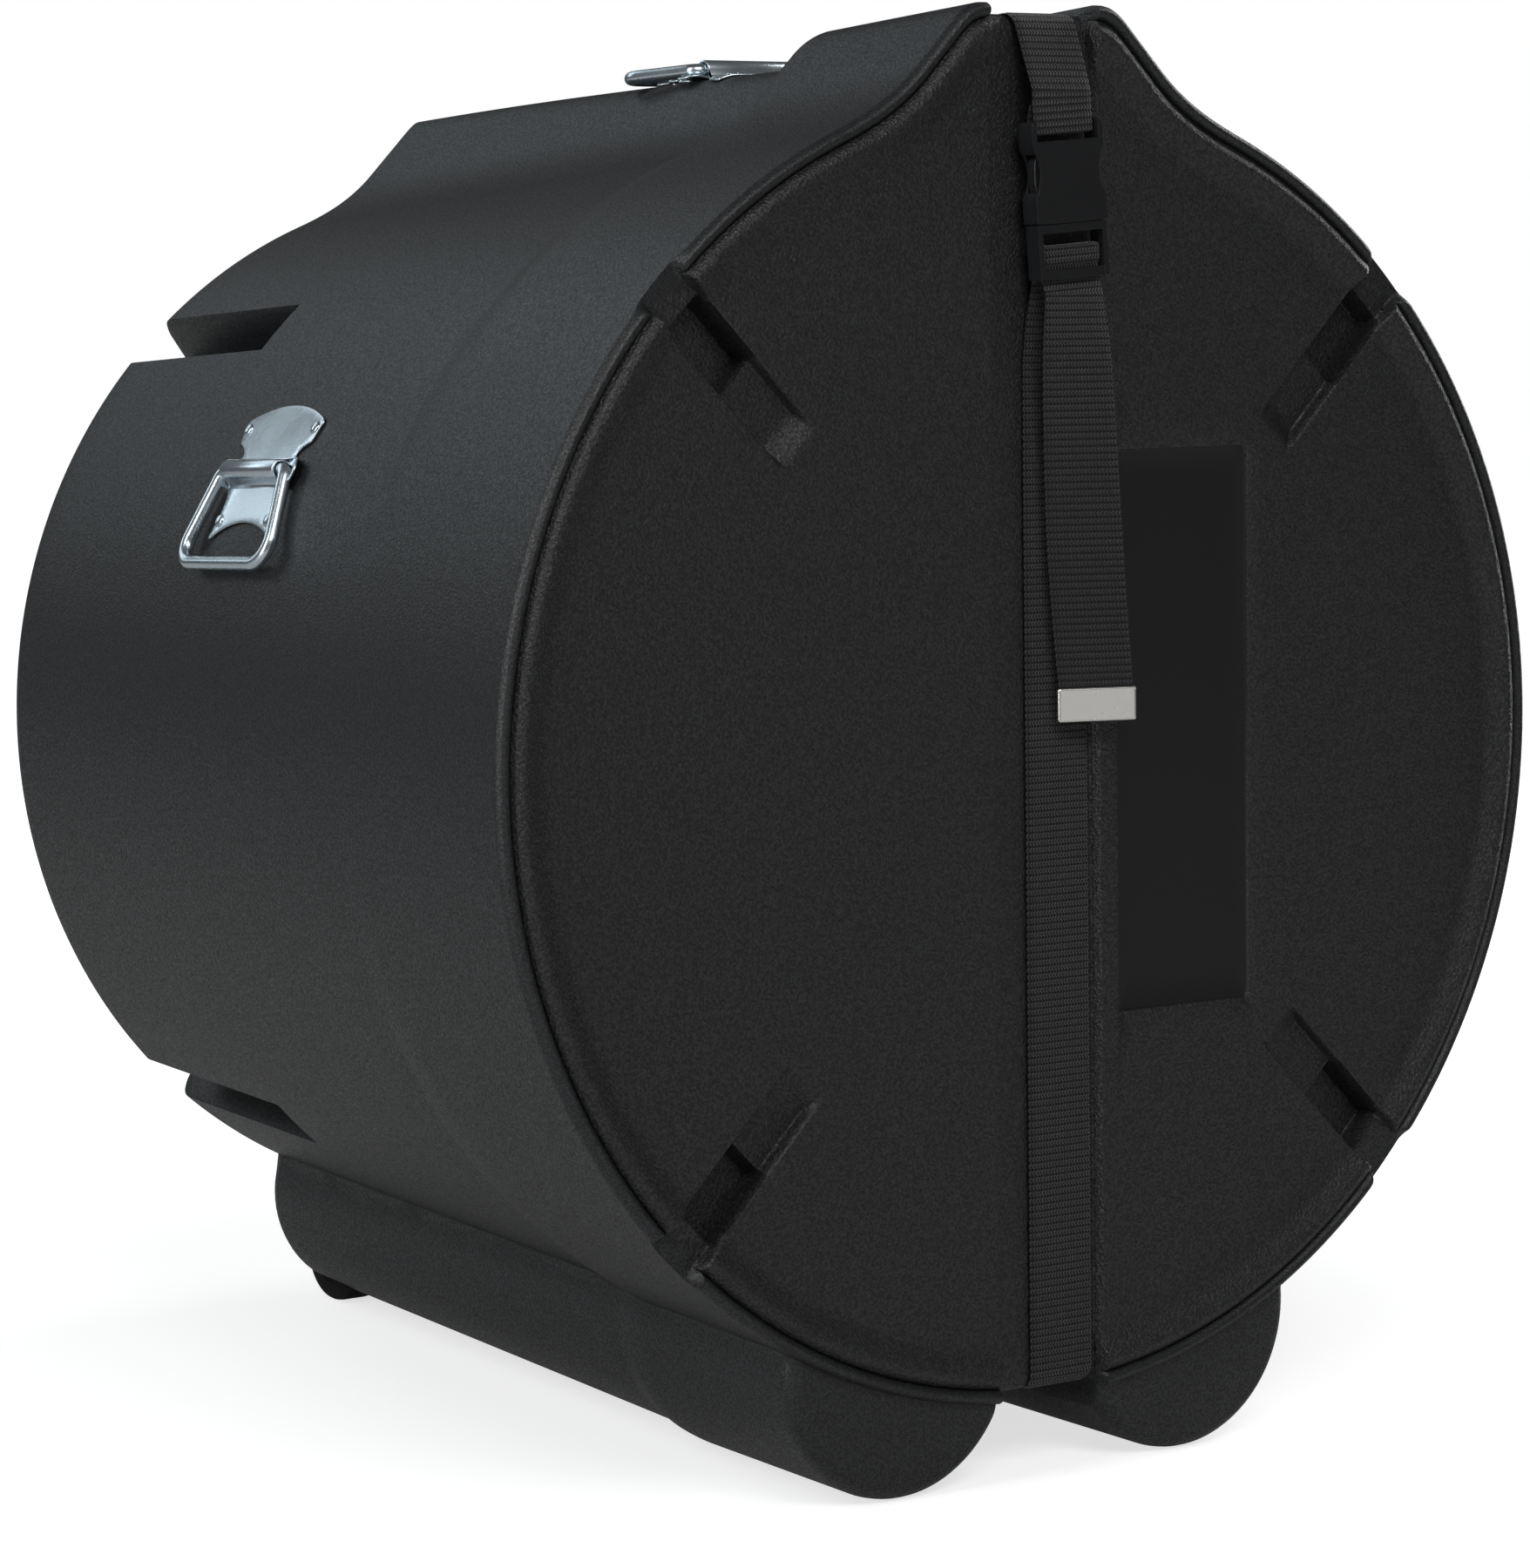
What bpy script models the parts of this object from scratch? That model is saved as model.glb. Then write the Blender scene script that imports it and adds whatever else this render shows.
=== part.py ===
"""Moulded bass drum case: a deep base, a lid nested in its mouth, a webbing strap, handles and wheels.

Case frame: X across, Y from the face to the rear, Z up, origin at the centre of the face circle.
The whole case then leans back on its front feet and its rear wheels.
"""
import math

import bmesh
import bpy
from mathutils import Matrix, Vector

# Outline of the case, seen along its axis
FACE_RADIUS = 0.345
REAR_RADIUS = 0.306
DEPTH = 0.566
BELLY_STEP = 0.006
RAMP_START = 0.150
RAMP_END = 0.168
CROWN_RAMP_START = 0.135
CROWN_TOP = (0.384, 0.374, 0.3565, 0.3445)
CROWN_FLANK = (0.432, 0.425, 0.401, 0.371)
CROWN_CORNER = 0.005
CROWN_BLEND = 0.012
FOOT_X = (0.096, 0.0935, 0.093, 0.081)
FOOT_Z = (-0.312, -0.3065, -0.3035, -0.291)
FOOT_RADIUS = (0.074, 0.0735, 0.0715, 0.061)
FOOT_BLEND = 0.003
OUTLINE_POINTS = 84

# Walls and edges
WALL = 0.007
RIM_INSET = 0.003
RIM_EDGE_INSET = 0.0008
RIM_CREST_Y = 0.001
RIM_BACK_Y = 0.0075
FOOT_FRONT_Y = 0.008
FOOT_EDGE = 0.006
REAR_CORNER = 0.015
MOUTH_INSET = 0.0081
MOUTH_DEPTH = 0.050
LEDGE_INSET = 0.0135
FLOOR_ANCHOR_Y = 0.020
FOOT_FLAT = 0.0008

# Lid
LID_GAP = 0.0004
LID_WALL = 0.0045
LID_CREST_INSET = 0.015
LID_SLOPE_INSET = 0.024
FACE_INSET = 0.031
FACE_Y = 0.005
SEAM_Y = 0.0035
FACE_THICKNESS = 0.005
SKIRT_END = 0.047
LABEL_X = (0.048, 0.139)
LABEL_Z = (-0.143, 0.153)
LABEL_DEPTH = 0.0015

# Pockets, rim notches and rear channels on the diagonals
DIAGONALS = (45, 135, 225, 315)
POCKET_HALF = 0.0134
POCKET_IN = 0.2255
POCKET_STEP = 0.2763
POCKET_OUT = 0.320
POCKET_SHALLOW = 0.007
POCKET_DEEP = 0.0175
POCKET_SLOPE = 0.0135
POCKET_WALL = 0.0045
NOTCH_BACK = 0.009
NOTCH_FLARE = 0.024
CHANNEL_HALF = 0.016
CHANNEL_FLOOR = 0.273
CHANNEL_START = 0.397

# Strap groove and webbing
GROOVE_HALF = 0.034
GROOVE_HALF_REAR = 0.0265
GROOVE_STEP = 0.0008
GROOVE_FACE = 0.006
GROOVE_RIM = 0.0055
GROOVE_BACK = 0.008
GROOVE_FILLET = 0.008
GROOVE_SPLIT = 0.160
GROOVE_LAP = 0.0007
STRAP_WIDTH = 0.042
STRAP_THICK = 0.0016
STRAP_GAP = 0.0004
STRAP_X_TOP = 0.004
STRAP_X_BACK = 0.0045
STRAP_X_LOW = 0.0098
BRIDGE_START = 0.020
BRIDGE_END = 0.135
BRIDGE_GAP = 0.0004

# Side-release buckle, in its own frame: x across, y into the case, z up, origin in the female's lower edge
BUCKLE_PLACE = (0.0100, -0.00125, 0.2712)
BUCKLE_LEAN = 4.0
BUCKLE_HALF = 0.0235
BUCKLE_THICK = 0.0115
FEMALE_LENGTH = 0.053
FEMALE_WALL = 0.0019
CAVITY_END = 0.0395
SCALLOP_DEPTH = 0.0042
SCALLOP_RADIUS = 0.021
SCALLOP_Z = 0.0265
SLOT_LOW = 0.0425
SLOT_HIGH = 0.0475
SLOT_HALF = 0.0205
FEMALE_BAR = (-0.0012, 0.0016)
MALE_LENGTH = 0.028
MALE_HALF = 0.0228
MALE_RAIL = 0.0028
MALE_THICK = 0.0102
MALE_SHOULDER = 0.0045
MALE_PLUG = 0.0065
LADDER_BAR_Y = (-0.0012, 0.0026)
LADDER_BAR_Z = (-0.0185, -0.0125)
END_BAR_BACK = -0.0015
END_BAR_Z = -0.0232
PRONG_ROOT_X = 0.0175
PRONG_HALF = 0.0021
PRONG_LENGTH = 0.0300
PRONG_THICK = 0.0060
SLIP = 0.0003
PINCH_WIDTH = 0.0388
TAIL_TWIST = 20.0
TAIL_X = (0.0125, 0.0145, 0.0175, 0.0210, 0.0250)
TAIL_Z = (0.2330, 0.1900, 0.1170, 0.0700, 0.0300)
TAIL_Y = -0.0038
TIP_LENGTH = 0.018
TIP_SLOT = 0.013
TIP_WALL = 0.0008

# Handles
HANDLE_ZONE = (0.200, 0.376)
PLATE_GAP = 0.0003
PLATE_THICK = 0.0015
ROD_RADIUS = 0.0037
ROD_CLEARANCE = 0.0005
TUNNEL_WALL = 0.0015
TUNNEL_HALF = 0.0305
LOOP_TOP_HALF = 0.0355
LOOP_BAR_HALF = 0.0513
LOOP_REACH = 0.0533
LOOP_CORNER = 0.012
SIDE_ANGLE = 153.4
SIDE_Y = 0.307
SIDE_HANG = 2.0
TOP_Y = 0.260
TOP_HANG = 1.6
UPPER_RIVET = (0.038, 0.027)
LOWER_RIVET = (0.0275, -0.027)
TOP_RIVET_HALF = 0.0300
RIVET_HEAD = 0.0038
RIVET_SHANK = 0.0020
RIVET_CAP = 0.0013
RIVET_CLEARANCE = 0.0003

# Wheels
WHEEL_X = 0.097
WHEEL_SETBACK = 0.018
WHEEL_Y = DEPTH - WHEEL_SETBACK
WHEEL_Z = -0.331
WHEEL_RADIUS = 0.028
WHEEL_HALF = 0.012
HUB_RADIUS = 0.017
HUB_HALF = 0.0128
AXLE_RADIUS = 0.004
AXLE_HEAD = 0.0065
AXLE_CLEARANCE = 0.0004
CHEEK_THICK = 0.002
CHEEK_GAP = 0.0007
WELL_HALF = 0.0205
WELL_FRONT = 0.034
WELL_TOP = 0.0365

# Linings
LINING_THICK = 0.006
LINING_GAP = 0.0010
LINING_FRONT = 0.180
LINING_SETBACK = 0.026
LINING_BACK = DEPTH - LINING_SETBACK
LINING_SPAN = (118, 234)
LINING_STEPS = 20
PAD_GAP = 0.0004
REAR_PAD_RADIUS = 0.246
REAR_PAD_SETBACK = 0.025
REAR_PAD_FRONT = DEPTH - REAR_PAD_SETBACK
LID_PAD_RADIUS = 0.212
LID_PAD_THICK = 0.014

FAR = 0.5
IN_FRONT = -0.06


def clear_scene():
    """Starts from an empty scene."""
    for obj in list(bpy.data.objects):
        bpy.data.objects.remove(obj, do_unlink=True)


def new_collection(name):
    """Makes a collection in the scene."""
    group = bpy.data.collections.new(name)
    bpy.context.scene.collection.children.link(group)
    return group


def make_material(name, colour, rough, metal=0.0):
    """A plain Principled material with one colour."""
    finish = bpy.data.materials.new(name)
    finish.use_nodes = True
    shader = finish.node_tree.nodes["Principled BSDF"]
    shader.inputs["Base Color"].default_value = (*colour, 1.0)
    shader.inputs["Roughness"].default_value = rough
    shader.inputs["Metallic"].default_value = metal
    finish.diffuse_color = (*colour, 1.0)
    return finish


class Kit:
    """Holds the rig, the collections and the materials that every piece shares."""

    def __init__(self):
        """Makes the rig, the collections and the finishes."""
        self.parts = new_collection("bass_drum_case")
        self.cutters = new_collection("cutters")
        self.rig = bpy.data.objects.new("case_rig", None)
        self.parts.objects.link(self.rig)
        self.finish = {
            "shell": make_material("shell_plastic", (0.018, 0.020, 0.023), 0.45),
            "face": make_material("face_plastic", (0.016, 0.017, 0.019), 0.55),
            "zinc": make_material("zinc_plate", (0.62, 0.70, 0.76), 0.22, 1.0),
            "steel": make_material("bright_steel", (0.55, 0.56, 0.58), 0.3, 1.0),
            "nickel": make_material("nickel_tip", (0.75, 0.74, 0.72), 0.3, 1.0),
            "web": make_material("black_webbing", (0.020, 0.020, 0.021), 0.85),
            "buckle": make_material("buckle_plastic", (0.012, 0.012, 0.014), 0.30),
            "rubber": make_material("wheel_rubber", (0.015, 0.015, 0.016), 0.7),
            "hub": make_material("wheel_hub", (0.03, 0.03, 0.032), 0.5),
            "foam": make_material("grey_foam", (0.09, 0.09, 0.10), 0.95),
        }

    def add(self, name, mesh, finish, matrix=None, smooth=35):
        """Places a mesh as one named piece of the case."""
        obj = bpy.data.objects.new(name, mesh)
        obj.parent = self.rig
        obj.matrix_local = matrix or Matrix()
        mesh.materials.clear()
        mesh.materials.append(self.finish[finish])
        if smooth:
            mesh.shade_smooth()
            mesh.set_sharp_from_angle(angle=math.radians(smooth))
        self.parts.objects.link(obj)
        return obj

    def cutter(self, name, mesh, matrix=None):
        """Places a mesh as a helper that only cuts."""
        obj = bpy.data.objects.new(name, mesh)
        obj.parent = self.rig
        obj.matrix_local = matrix or Matrix()
        obj.hide_render = True
        obj.display_type = "WIRE"
        self.cutters.objects.link(obj)
        return obj


def boolean(obj, other, operation="DIFFERENCE"):
    """Adds one exact Boolean to a piece."""
    step = obj.modifiers.new(f"{operation.lower()}_{other.name}"[:60], "BOOLEAN")
    step.operation = operation
    step.solver = "EXACT"
    step.object = other


def finish_mesh(name, work):
    """Turns a bmesh into a mesh whose faces point out."""
    bmesh.ops.recalc_face_normals(work, faces=work.faces)
    mesh = bpy.data.meshes.new(name)
    work.to_mesh(mesh)
    work.free()
    return mesh


def box_mesh(name, low, high, bevel=0.0):
    """A box between two corners, with optional rounded edges."""
    work = bmesh.new()
    bmesh.ops.create_cube(work, size=1.0)
    for vert in work.verts:
        for axis in range(3):
            middle = (low[axis] + high[axis]) / 2
            vert.co[axis] = middle + vert.co[axis] * (high[axis] - low[axis])
    if bevel:
        bmesh.ops.bevel(work, geom=work.edges[:], offset=bevel, segments=2, affect="EDGES", profile=0.5)
    return finish_mesh(name, work)


def prism_mesh(name, outline, low, high, matrix=None):
    """A flat outline in x and y, drawn out along z."""
    work = bmesh.new()
    ring = [work.verts.new((x, y, low)) for x, y in outline]
    face = work.faces.new(ring)
    grown = bmesh.ops.extrude_face_region(work, geom=[face])
    for item in grown["geom"]:
        if isinstance(item, bmesh.types.BMVert):
            item.co.z = high
    if matrix:
        bmesh.ops.transform(work, matrix=matrix, verts=work.verts)
    return finish_mesh(name, work)


def rod_mesh(name, rods, segments=10):
    """Cylinders, each given by its start, its end and its radius, in one mesh."""
    work = bmesh.new()
    for start, end, radius in rods:
        start, end = Vector(start), Vector(end)
        turn = Vector((0, 0, 1)).rotation_difference(end - start).to_matrix().to_4x4()
        place = Matrix.Translation((start + end) / 2) @ turn
        bmesh.ops.create_cone(
            work, cap_ends=True, segments=segments, radius1=radius, radius2=radius,
            depth=(end - start).length, matrix=place,
        )
    return finish_mesh(name, work)


def turned_piece(kit, name, profile, finish, matrix, steps):
    """A profile of (radius, height) points, top to bottom, turned about its z axis."""
    mesh = bpy.data.meshes.new(name)
    points = [(radius, 0.0, height) for radius, height in profile]
    edges = [(i, i + 1) for i in range(len(points) - 1)]
    closed = profile[0][0] > 0
    if closed:
        edges.append((len(points) - 1, 0))
    mesh.from_pydata(points, edges, [])
    obj = kit.add(name, mesh, finish, matrix, smooth=0)
    screw = obj.modifiers.new("turn", "SCREW")
    screw.steps = steps
    screw.render_steps = steps
    screw.use_merge_vertices = True
    screw.merge_threshold = 0.00001
    screw.use_smooth_shade = True
    return obj


def fillet(points, radii, steps=4, closed=False):
    """Rounds the corners of a polyline in the plane. Each corner has its own radius."""
    result = []
    count = len(points)
    for i, (point, radius) in enumerate(zip(points, radii)):
        here = Vector(point)
        if radius == 0 or (not closed and i in (0, count - 1)):
            result.append(here)
            continue
        back = (Vector(points[i - 1]) - here).normalized()
        ahead = (Vector(points[(i + 1) % count]) - here).normalized()
        half = back.angle(ahead) / 2
        reach = radius / math.tan(half)
        start, end = here + back * reach, here + ahead * reach
        centre = here + (back + ahead).normalized() * (radius / math.sin(half))
        first, last = start - centre, end - centre
        for k in range(steps + 1):
            spoke = first.lerp(last, k / steps).normalized() * radius
            result.append(centre + spoke)
    return result


def offset_line(points, distance):
    """Moves a polyline in the plane sideways, to the right of its direction, keeping its corners."""
    result = []
    for i, point in enumerate(points):
        here = Vector(point)
        sides = []
        if i > 0:
            sides.append((here - Vector(points[i - 1])).normalized())
        if i < len(points) - 1:
            sides.append((Vector(points[i + 1]) - here).normalized())
        normals = [Vector((side.y, -side.x)) for side in sides]
        middle = sum(normals, Vector((0, 0))).normalized()
        stretch = 1 / max(0.3, middle.dot(normals[0]))
        result.append(here + middle * distance * stretch)
    return result


def between(y, stations, values):
    """Linear interpolation along the case."""
    if y <= stations[0]:
        return values[0]
    for y0, y1, v0, v1 in zip(stations, stations[1:], values, values[1:]):
        if y <= y1:
            return v0 + (v1 - v0) * (y - y0) / (y1 - y0)
    return values[-1]


def smooth_max(a, b, width):
    """The larger of two radii, with a soft fillet where they meet."""
    near = max(width - abs(a - b), 0.0) / width
    return max(a, b) + near * near * width / 4


def smooth_min(a, b, width):
    """The smaller of two values, with a soft change between them."""
    near = max(width - abs(a - b), 0.0) / width
    return min(a, b) - near * near * width / 4


def outline_radius(angle, y, inset=0.0, foot_inset=None):
    """Distance from the case's axis to its skin at one angle and depth. Feet need a foot inset."""
    sine, cosine = math.sin(angle), math.cos(angle)
    ramp = between(y, (RAMP_START, RAMP_END), (0.0, 1.0))
    crown_stations = (0.0, CROWN_RAMP_START, RAMP_END, DEPTH)
    foot_stations = (0.0, RAMP_START, RAMP_END, DEPTH)
    barrel = between(y, (0.0, DEPTH), (FACE_RADIUS, REAR_RADIUS))
    radius = barrel - ramp * BELLY_STEP * sine * sine - inset
    if sine > 0.5:
        top = (between(y, crown_stations, CROWN_TOP) - inset) / sine
        flank = (between(y, crown_stations, CROWN_FLANK) - inset * math.sqrt(2)) / (abs(cosine) + sine)
        radius = smooth_max(radius, smooth_min(top, flank, CROWN_CORNER), CROWN_BLEND)
    if foot_inset is not None and sine < 0:
        x = between(y, foot_stations, FOOT_X)
        z = between(y, foot_stations, FOOT_Z)
        size = between(y, foot_stations, FOOT_RADIUS) - foot_inset
        turn = math.atan2(sine, abs(cosine)) - math.atan2(z, x)
        across = math.hypot(x, z) * math.sin(turn)
        if abs(across) < size:
            reach = math.hypot(x, z) * math.cos(turn) + math.sqrt(size * size - across * across)
            radius = smooth_max(radius, reach, FOOT_BLEND)
    return radius


def skin_point(angle, y, inset=0.0, foot_inset=None):
    """A point on the skin of the base."""
    radius = outline_radius(angle, y, inset, foot_inset)
    return Vector((radius * math.cos(angle), y, radius * math.sin(angle)))


def outline_angles(count):
    """Angles from straight down to straight up, closer together where the outline turns, and mirrored."""
    steps = 1440
    fine = [math.radians(-90 + 180 * i / steps) for i in range(steps + 1)]
    weights = [0.0] * steps
    for y, share in ((BRIDGE_START, 1.0), (RAMP_END + 0.03, 0.6), (DEPTH - REAR_CORNER, 0.6)):
        points = [skin_point(a, y, 0.0, 0.0) for a in fine]
        edges = [points[i + 1] - points[i] for i in range(steps)]
        length = sum(edge.length for edge in edges)
        turns = [0.0] + [edges[i].angle(edges[i - 1]) for i in range(1, steps)]
        for i in range(steps):
            weights[i] += share * (edges[i].length / length + 1.3 * turns[i] / sum(turns))
    total, running, half = sum(weights), 0.0, count // 2
    angles, target = [fine[0]], 1
    for i, weight in enumerate(weights):
        running += weight
        while target < half and running >= total * target / half:
            angles.append(fine[i + 1])
            target += 1
    angles.append(fine[-1])
    mirrored = [math.pi - a for a in reversed(angles[1:-1])]
    return angles + mirrored


ANGLES = outline_angles(OUTLINE_POINTS)


def ring(y, inset, foot_inset=None, at=None):
    """One closed section of the case. The outline can be read at another depth than where it lies."""
    level = y if at is None else at
    points = [skin_point(angle, level, inset, foot_inset) for angle in ANGLES]
    return [Vector((p.x, y, p.z)) for p in points]


def loft_mesh(name, rings):
    """A closed solid through sections that have the same number of points, capped at both ends."""
    count = len(rings[0])
    work = bmesh.new()
    rows = [[work.verts.new(p) for p in line] for line in rings]
    for near, far in zip(rows, rows[1:]):
        for i in range(count):
            j = (i + 1) % count
            work.faces.new((near[i], far[i], far[j]))
            work.faces.new((near[i], far[j], near[j]))
    for row, line in ((rows[0], rings[0]), (rows[-1], rings[-1])):
        hub = work.verts.new((0.0, line[0].y, 0.0))
        for i in range(count):
            work.faces.new((row[i], row[(i + 1) % count], hub))
    return finish_mesh(name, work)


def sheet_mesh(name, y0, y1, angles, inner, outer):
    """A curved sheet that follows the skin through the given angles, from one inset to another.
    Its triangles run the same way as the skin's."""
    work = bmesh.new()
    rows = []
    for y, inset in ((y0, inner), (y1, inner), (y1, outer), (y0, outer)):
        rows.append([work.verts.new(skin_point(a, y, inset)) for a in angles])
    for k in range(4):
        near, far = rows[k], rows[(k + 1) % 4]
        for i in range(len(angles) - 1):
            a, b, c, d = near[i], near[i + 1], far[i + 1], far[i]
            split = ((a, b, c), (a, c, d)) if k < 2 else ((a, b, d), (b, c, d))
            for corners in split:
                work.faces.new(corners)
    for i in (0, -1):
        work.faces.new([row[i] for row in rows])
    return finish_mesh(name, work)


def radial_frames(degrees):
    """Two frames on a diagonal: one for profiles in radius and depth, one for radius and width."""
    a = math.radians(degrees)
    out = Vector((math.cos(a), 0.0, math.sin(a)))
    wide = Vector((-math.sin(a), 0.0, math.cos(a)))
    deep = Vector((0.0, 1.0, 0.0))
    section = Matrix((out, deep, wide)).transposed().to_4x4()
    plan = Matrix((out, wide, -deep)).transposed().to_4x4()
    return section, plan


def pocket_outline(grow):
    """Section of a face pocket in radius and depth: sloped end, shallow floor, step and deep hole."""
    front = FACE_Y - 0.02 if grow == 0 else FACE_Y + FACE_THICKNESS - 0.002
    floor = FACE_Y + POCKET_SHALLOW + grow
    deep = FACE_Y + POCKET_DEEP + grow
    slope = POCKET_SLOPE * (floor - front) / POCKET_SHALLOW
    lead = POCKET_SLOPE * (front - FACE_Y) / POCKET_SHALLOW if grow == 0 else 0.0
    inner = POCKET_IN - grow * 0.5
    outer = POCKET_OUT + grow * (FAR if grow else 0.0)
    return (
        (inner + lead, front), (inner + slope + lead, floor), (POCKET_STEP - grow, floor),
        (POCKET_STEP - grow, deep), (outer, deep), (outer, front),
    )


def lid_pockets(kit, grow):
    """Cutters of the four pockets, or their outside when the wall is added."""
    result = []
    for degrees in DIAGONALS:
        section, plan = radial_frames(degrees)
        half = POCKET_HALF + grow
        outline = pocket_outline(grow)
        mesh = prism_mesh(f"pocket_{degrees}", outline, -half, half, section)
        result.append(kit.cutter(f"pocket_{degrees}_{'wall' if grow else 'cut'}", mesh))
    return result


def rim_notches(kit):
    """Cutters that set the rim back at the pockets, flared where they meet the side."""
    result = []
    seam = FACE_RADIUS - MOUTH_INSET
    outline = [
        (POCKET_OUT - 0.0006, POCKET_HALF - 0.0002), (seam, POCKET_HALF),
        (FACE_RADIUS - 0.002, POCKET_HALF + 0.003),
        (FACE_RADIUS + 0.012, NOTCH_FLARE),
    ]
    outline += [(r, -t) for r, t in reversed(outline)]
    for degrees in DIAGONALS:
        section, plan = radial_frames(degrees)
        mesh = prism_mesh(f"notch_{degrees}", outline, -NOTCH_BACK, -IN_FRONT, plan)
        result.append(kit.cutter(f"notch_{degrees}", mesh))
    return result


def rear_channels(kit, grow):
    """Cutters of the sunk channels between the raised rear corners, or their outside."""
    result = []
    for degrees in DIAGONALS:
        section, plan = radial_frames(degrees)
        half = CHANNEL_HALF + grow
        outline = [(CHANNEL_FLOOR - grow, half), (FAR, half), (FAR, -half), (CHANNEL_FLOOR - grow, -half)]
        mesh = prism_mesh(f"channel_{degrees}", outline, -DEPTH - 0.05, -(CHANNEL_START - grow), plan)
        result.append(kit.cutter(f"channel_{degrees}_{'wall' if grow else 'cut'}", mesh))
    return result


def groove_height(y, side, extra=0.0):
    """Height of the groove's floor at the top (side 1) or underneath (side -1)."""
    depth = between(y, (CROWN_RAMP_START, RAMP_END), (GROOVE_RIM, GROOVE_BACK))
    return side * (outline_radius(math.radians(90 * side), y) - depth - extra)


def groove_floor():
    """The floor line in (y, z), from under the ramp up the face, over the top and down the rear."""
    face, back = FACE_Y + GROOVE_FACE, DEPTH - GROOVE_BACK
    low = [(y, groove_height(y, -1)) for y in (GROOVE_SPLIT + GROOVE_LAP, RAMP_START, BRIDGE_END, face)]
    high = [(y, groove_height(y, 1)) for y in (face, CROWN_RAMP_START, GROOVE_SPLIT + GROOVE_LAP)]
    front = fillet(low + high, (0, 0, 0, GROOVE_FILLET, GROOVE_FILLET, 0, 0))
    top = [(y, groove_height(y, 1, GROOVE_STEP)) for y in (GROOVE_SPLIT, RAMP_END, back)]
    under = [(y, groove_height(y, -1, GROOVE_STEP)) for y in (back, RAMP_END, GROOVE_SPLIT)]
    rear = fillet(top + under, (0, 0, GROOVE_FILLET, GROOVE_FILLET, 0, 0))
    return front, rear


def groove_cutters(kit, grow):
    """The two C-shaped solids outside the groove's floor, or outside its inner wall when grown."""
    front, rear = groove_floor()
    swing = Matrix(((0, 0, 1, 0), (1, 0, 0, 0), (0, 1, 0, 0), (0, 0, 0, 1)))
    half, half_rear = GROOVE_HALF + grow, GROOVE_HALF_REAR + grow
    line = offset_line(front, grow)
    end = GROOVE_SPLIT + GROOVE_LAP
    outline = [(end, line[0].y)] + [tuple(p) for p in line[1:-1]]
    outline += [(end, line[-1].y), (end, FAR), (IN_FRONT, FAR), (IN_FRONT, -FAR), (end, -FAR)]
    kind = "wall" if grow else "cut"
    ahead = prism_mesh("groove_front", outline, -half, half, swing)
    line = offset_line(rear, grow)
    outline = [(GROOVE_SPLIT, line[0].y)] + [tuple(p) for p in line[1:-1]] + [(GROOVE_SPLIT, line[-1].y)]
    outline += [(GROOVE_SPLIT, -FAR), (DEPTH + 0.06, -FAR), (DEPTH + 0.06, FAR), (GROOVE_SPLIT, FAR)]
    behind = prism_mesh("groove_rear", outline, -half_rear, half_rear, swing)
    return [kit.cutter(f"groove_front_{kind}_{int(grow * 1e4)}", ahead),
            kit.cutter(f"groove_rear_{kind}_{int(grow * 1e4)}", behind)]


def lean_angle():
    """Angle at which the ground touches both the front feet and the wheels."""
    foot_z = FOOT_Z[0] - FOOT_RADIUS[0] + FOOT_FLAT
    run, rise = WHEEL_Y - FLOOR_ANCHOR_Y, WHEEL_Z - foot_z
    return math.atan2(rise, run) - math.asin(WHEEL_RADIUS / math.hypot(run, rise)), foot_z


def ground_cutter(kit):
    """Everything under the ground plane, in the case's frame."""
    lean, foot_z = lean_angle()
    mesh = box_mesh("ground", (-FAR, -FAR, -FAR), (FAR, 2 * FAR, 0.0))
    place = Matrix.Translation((0.0, FLOOR_ANCHOR_Y, foot_z)) @ Matrix.Rotation(lean, 4, "X")
    return kit.cutter("ground_flat", mesh, place)


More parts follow.
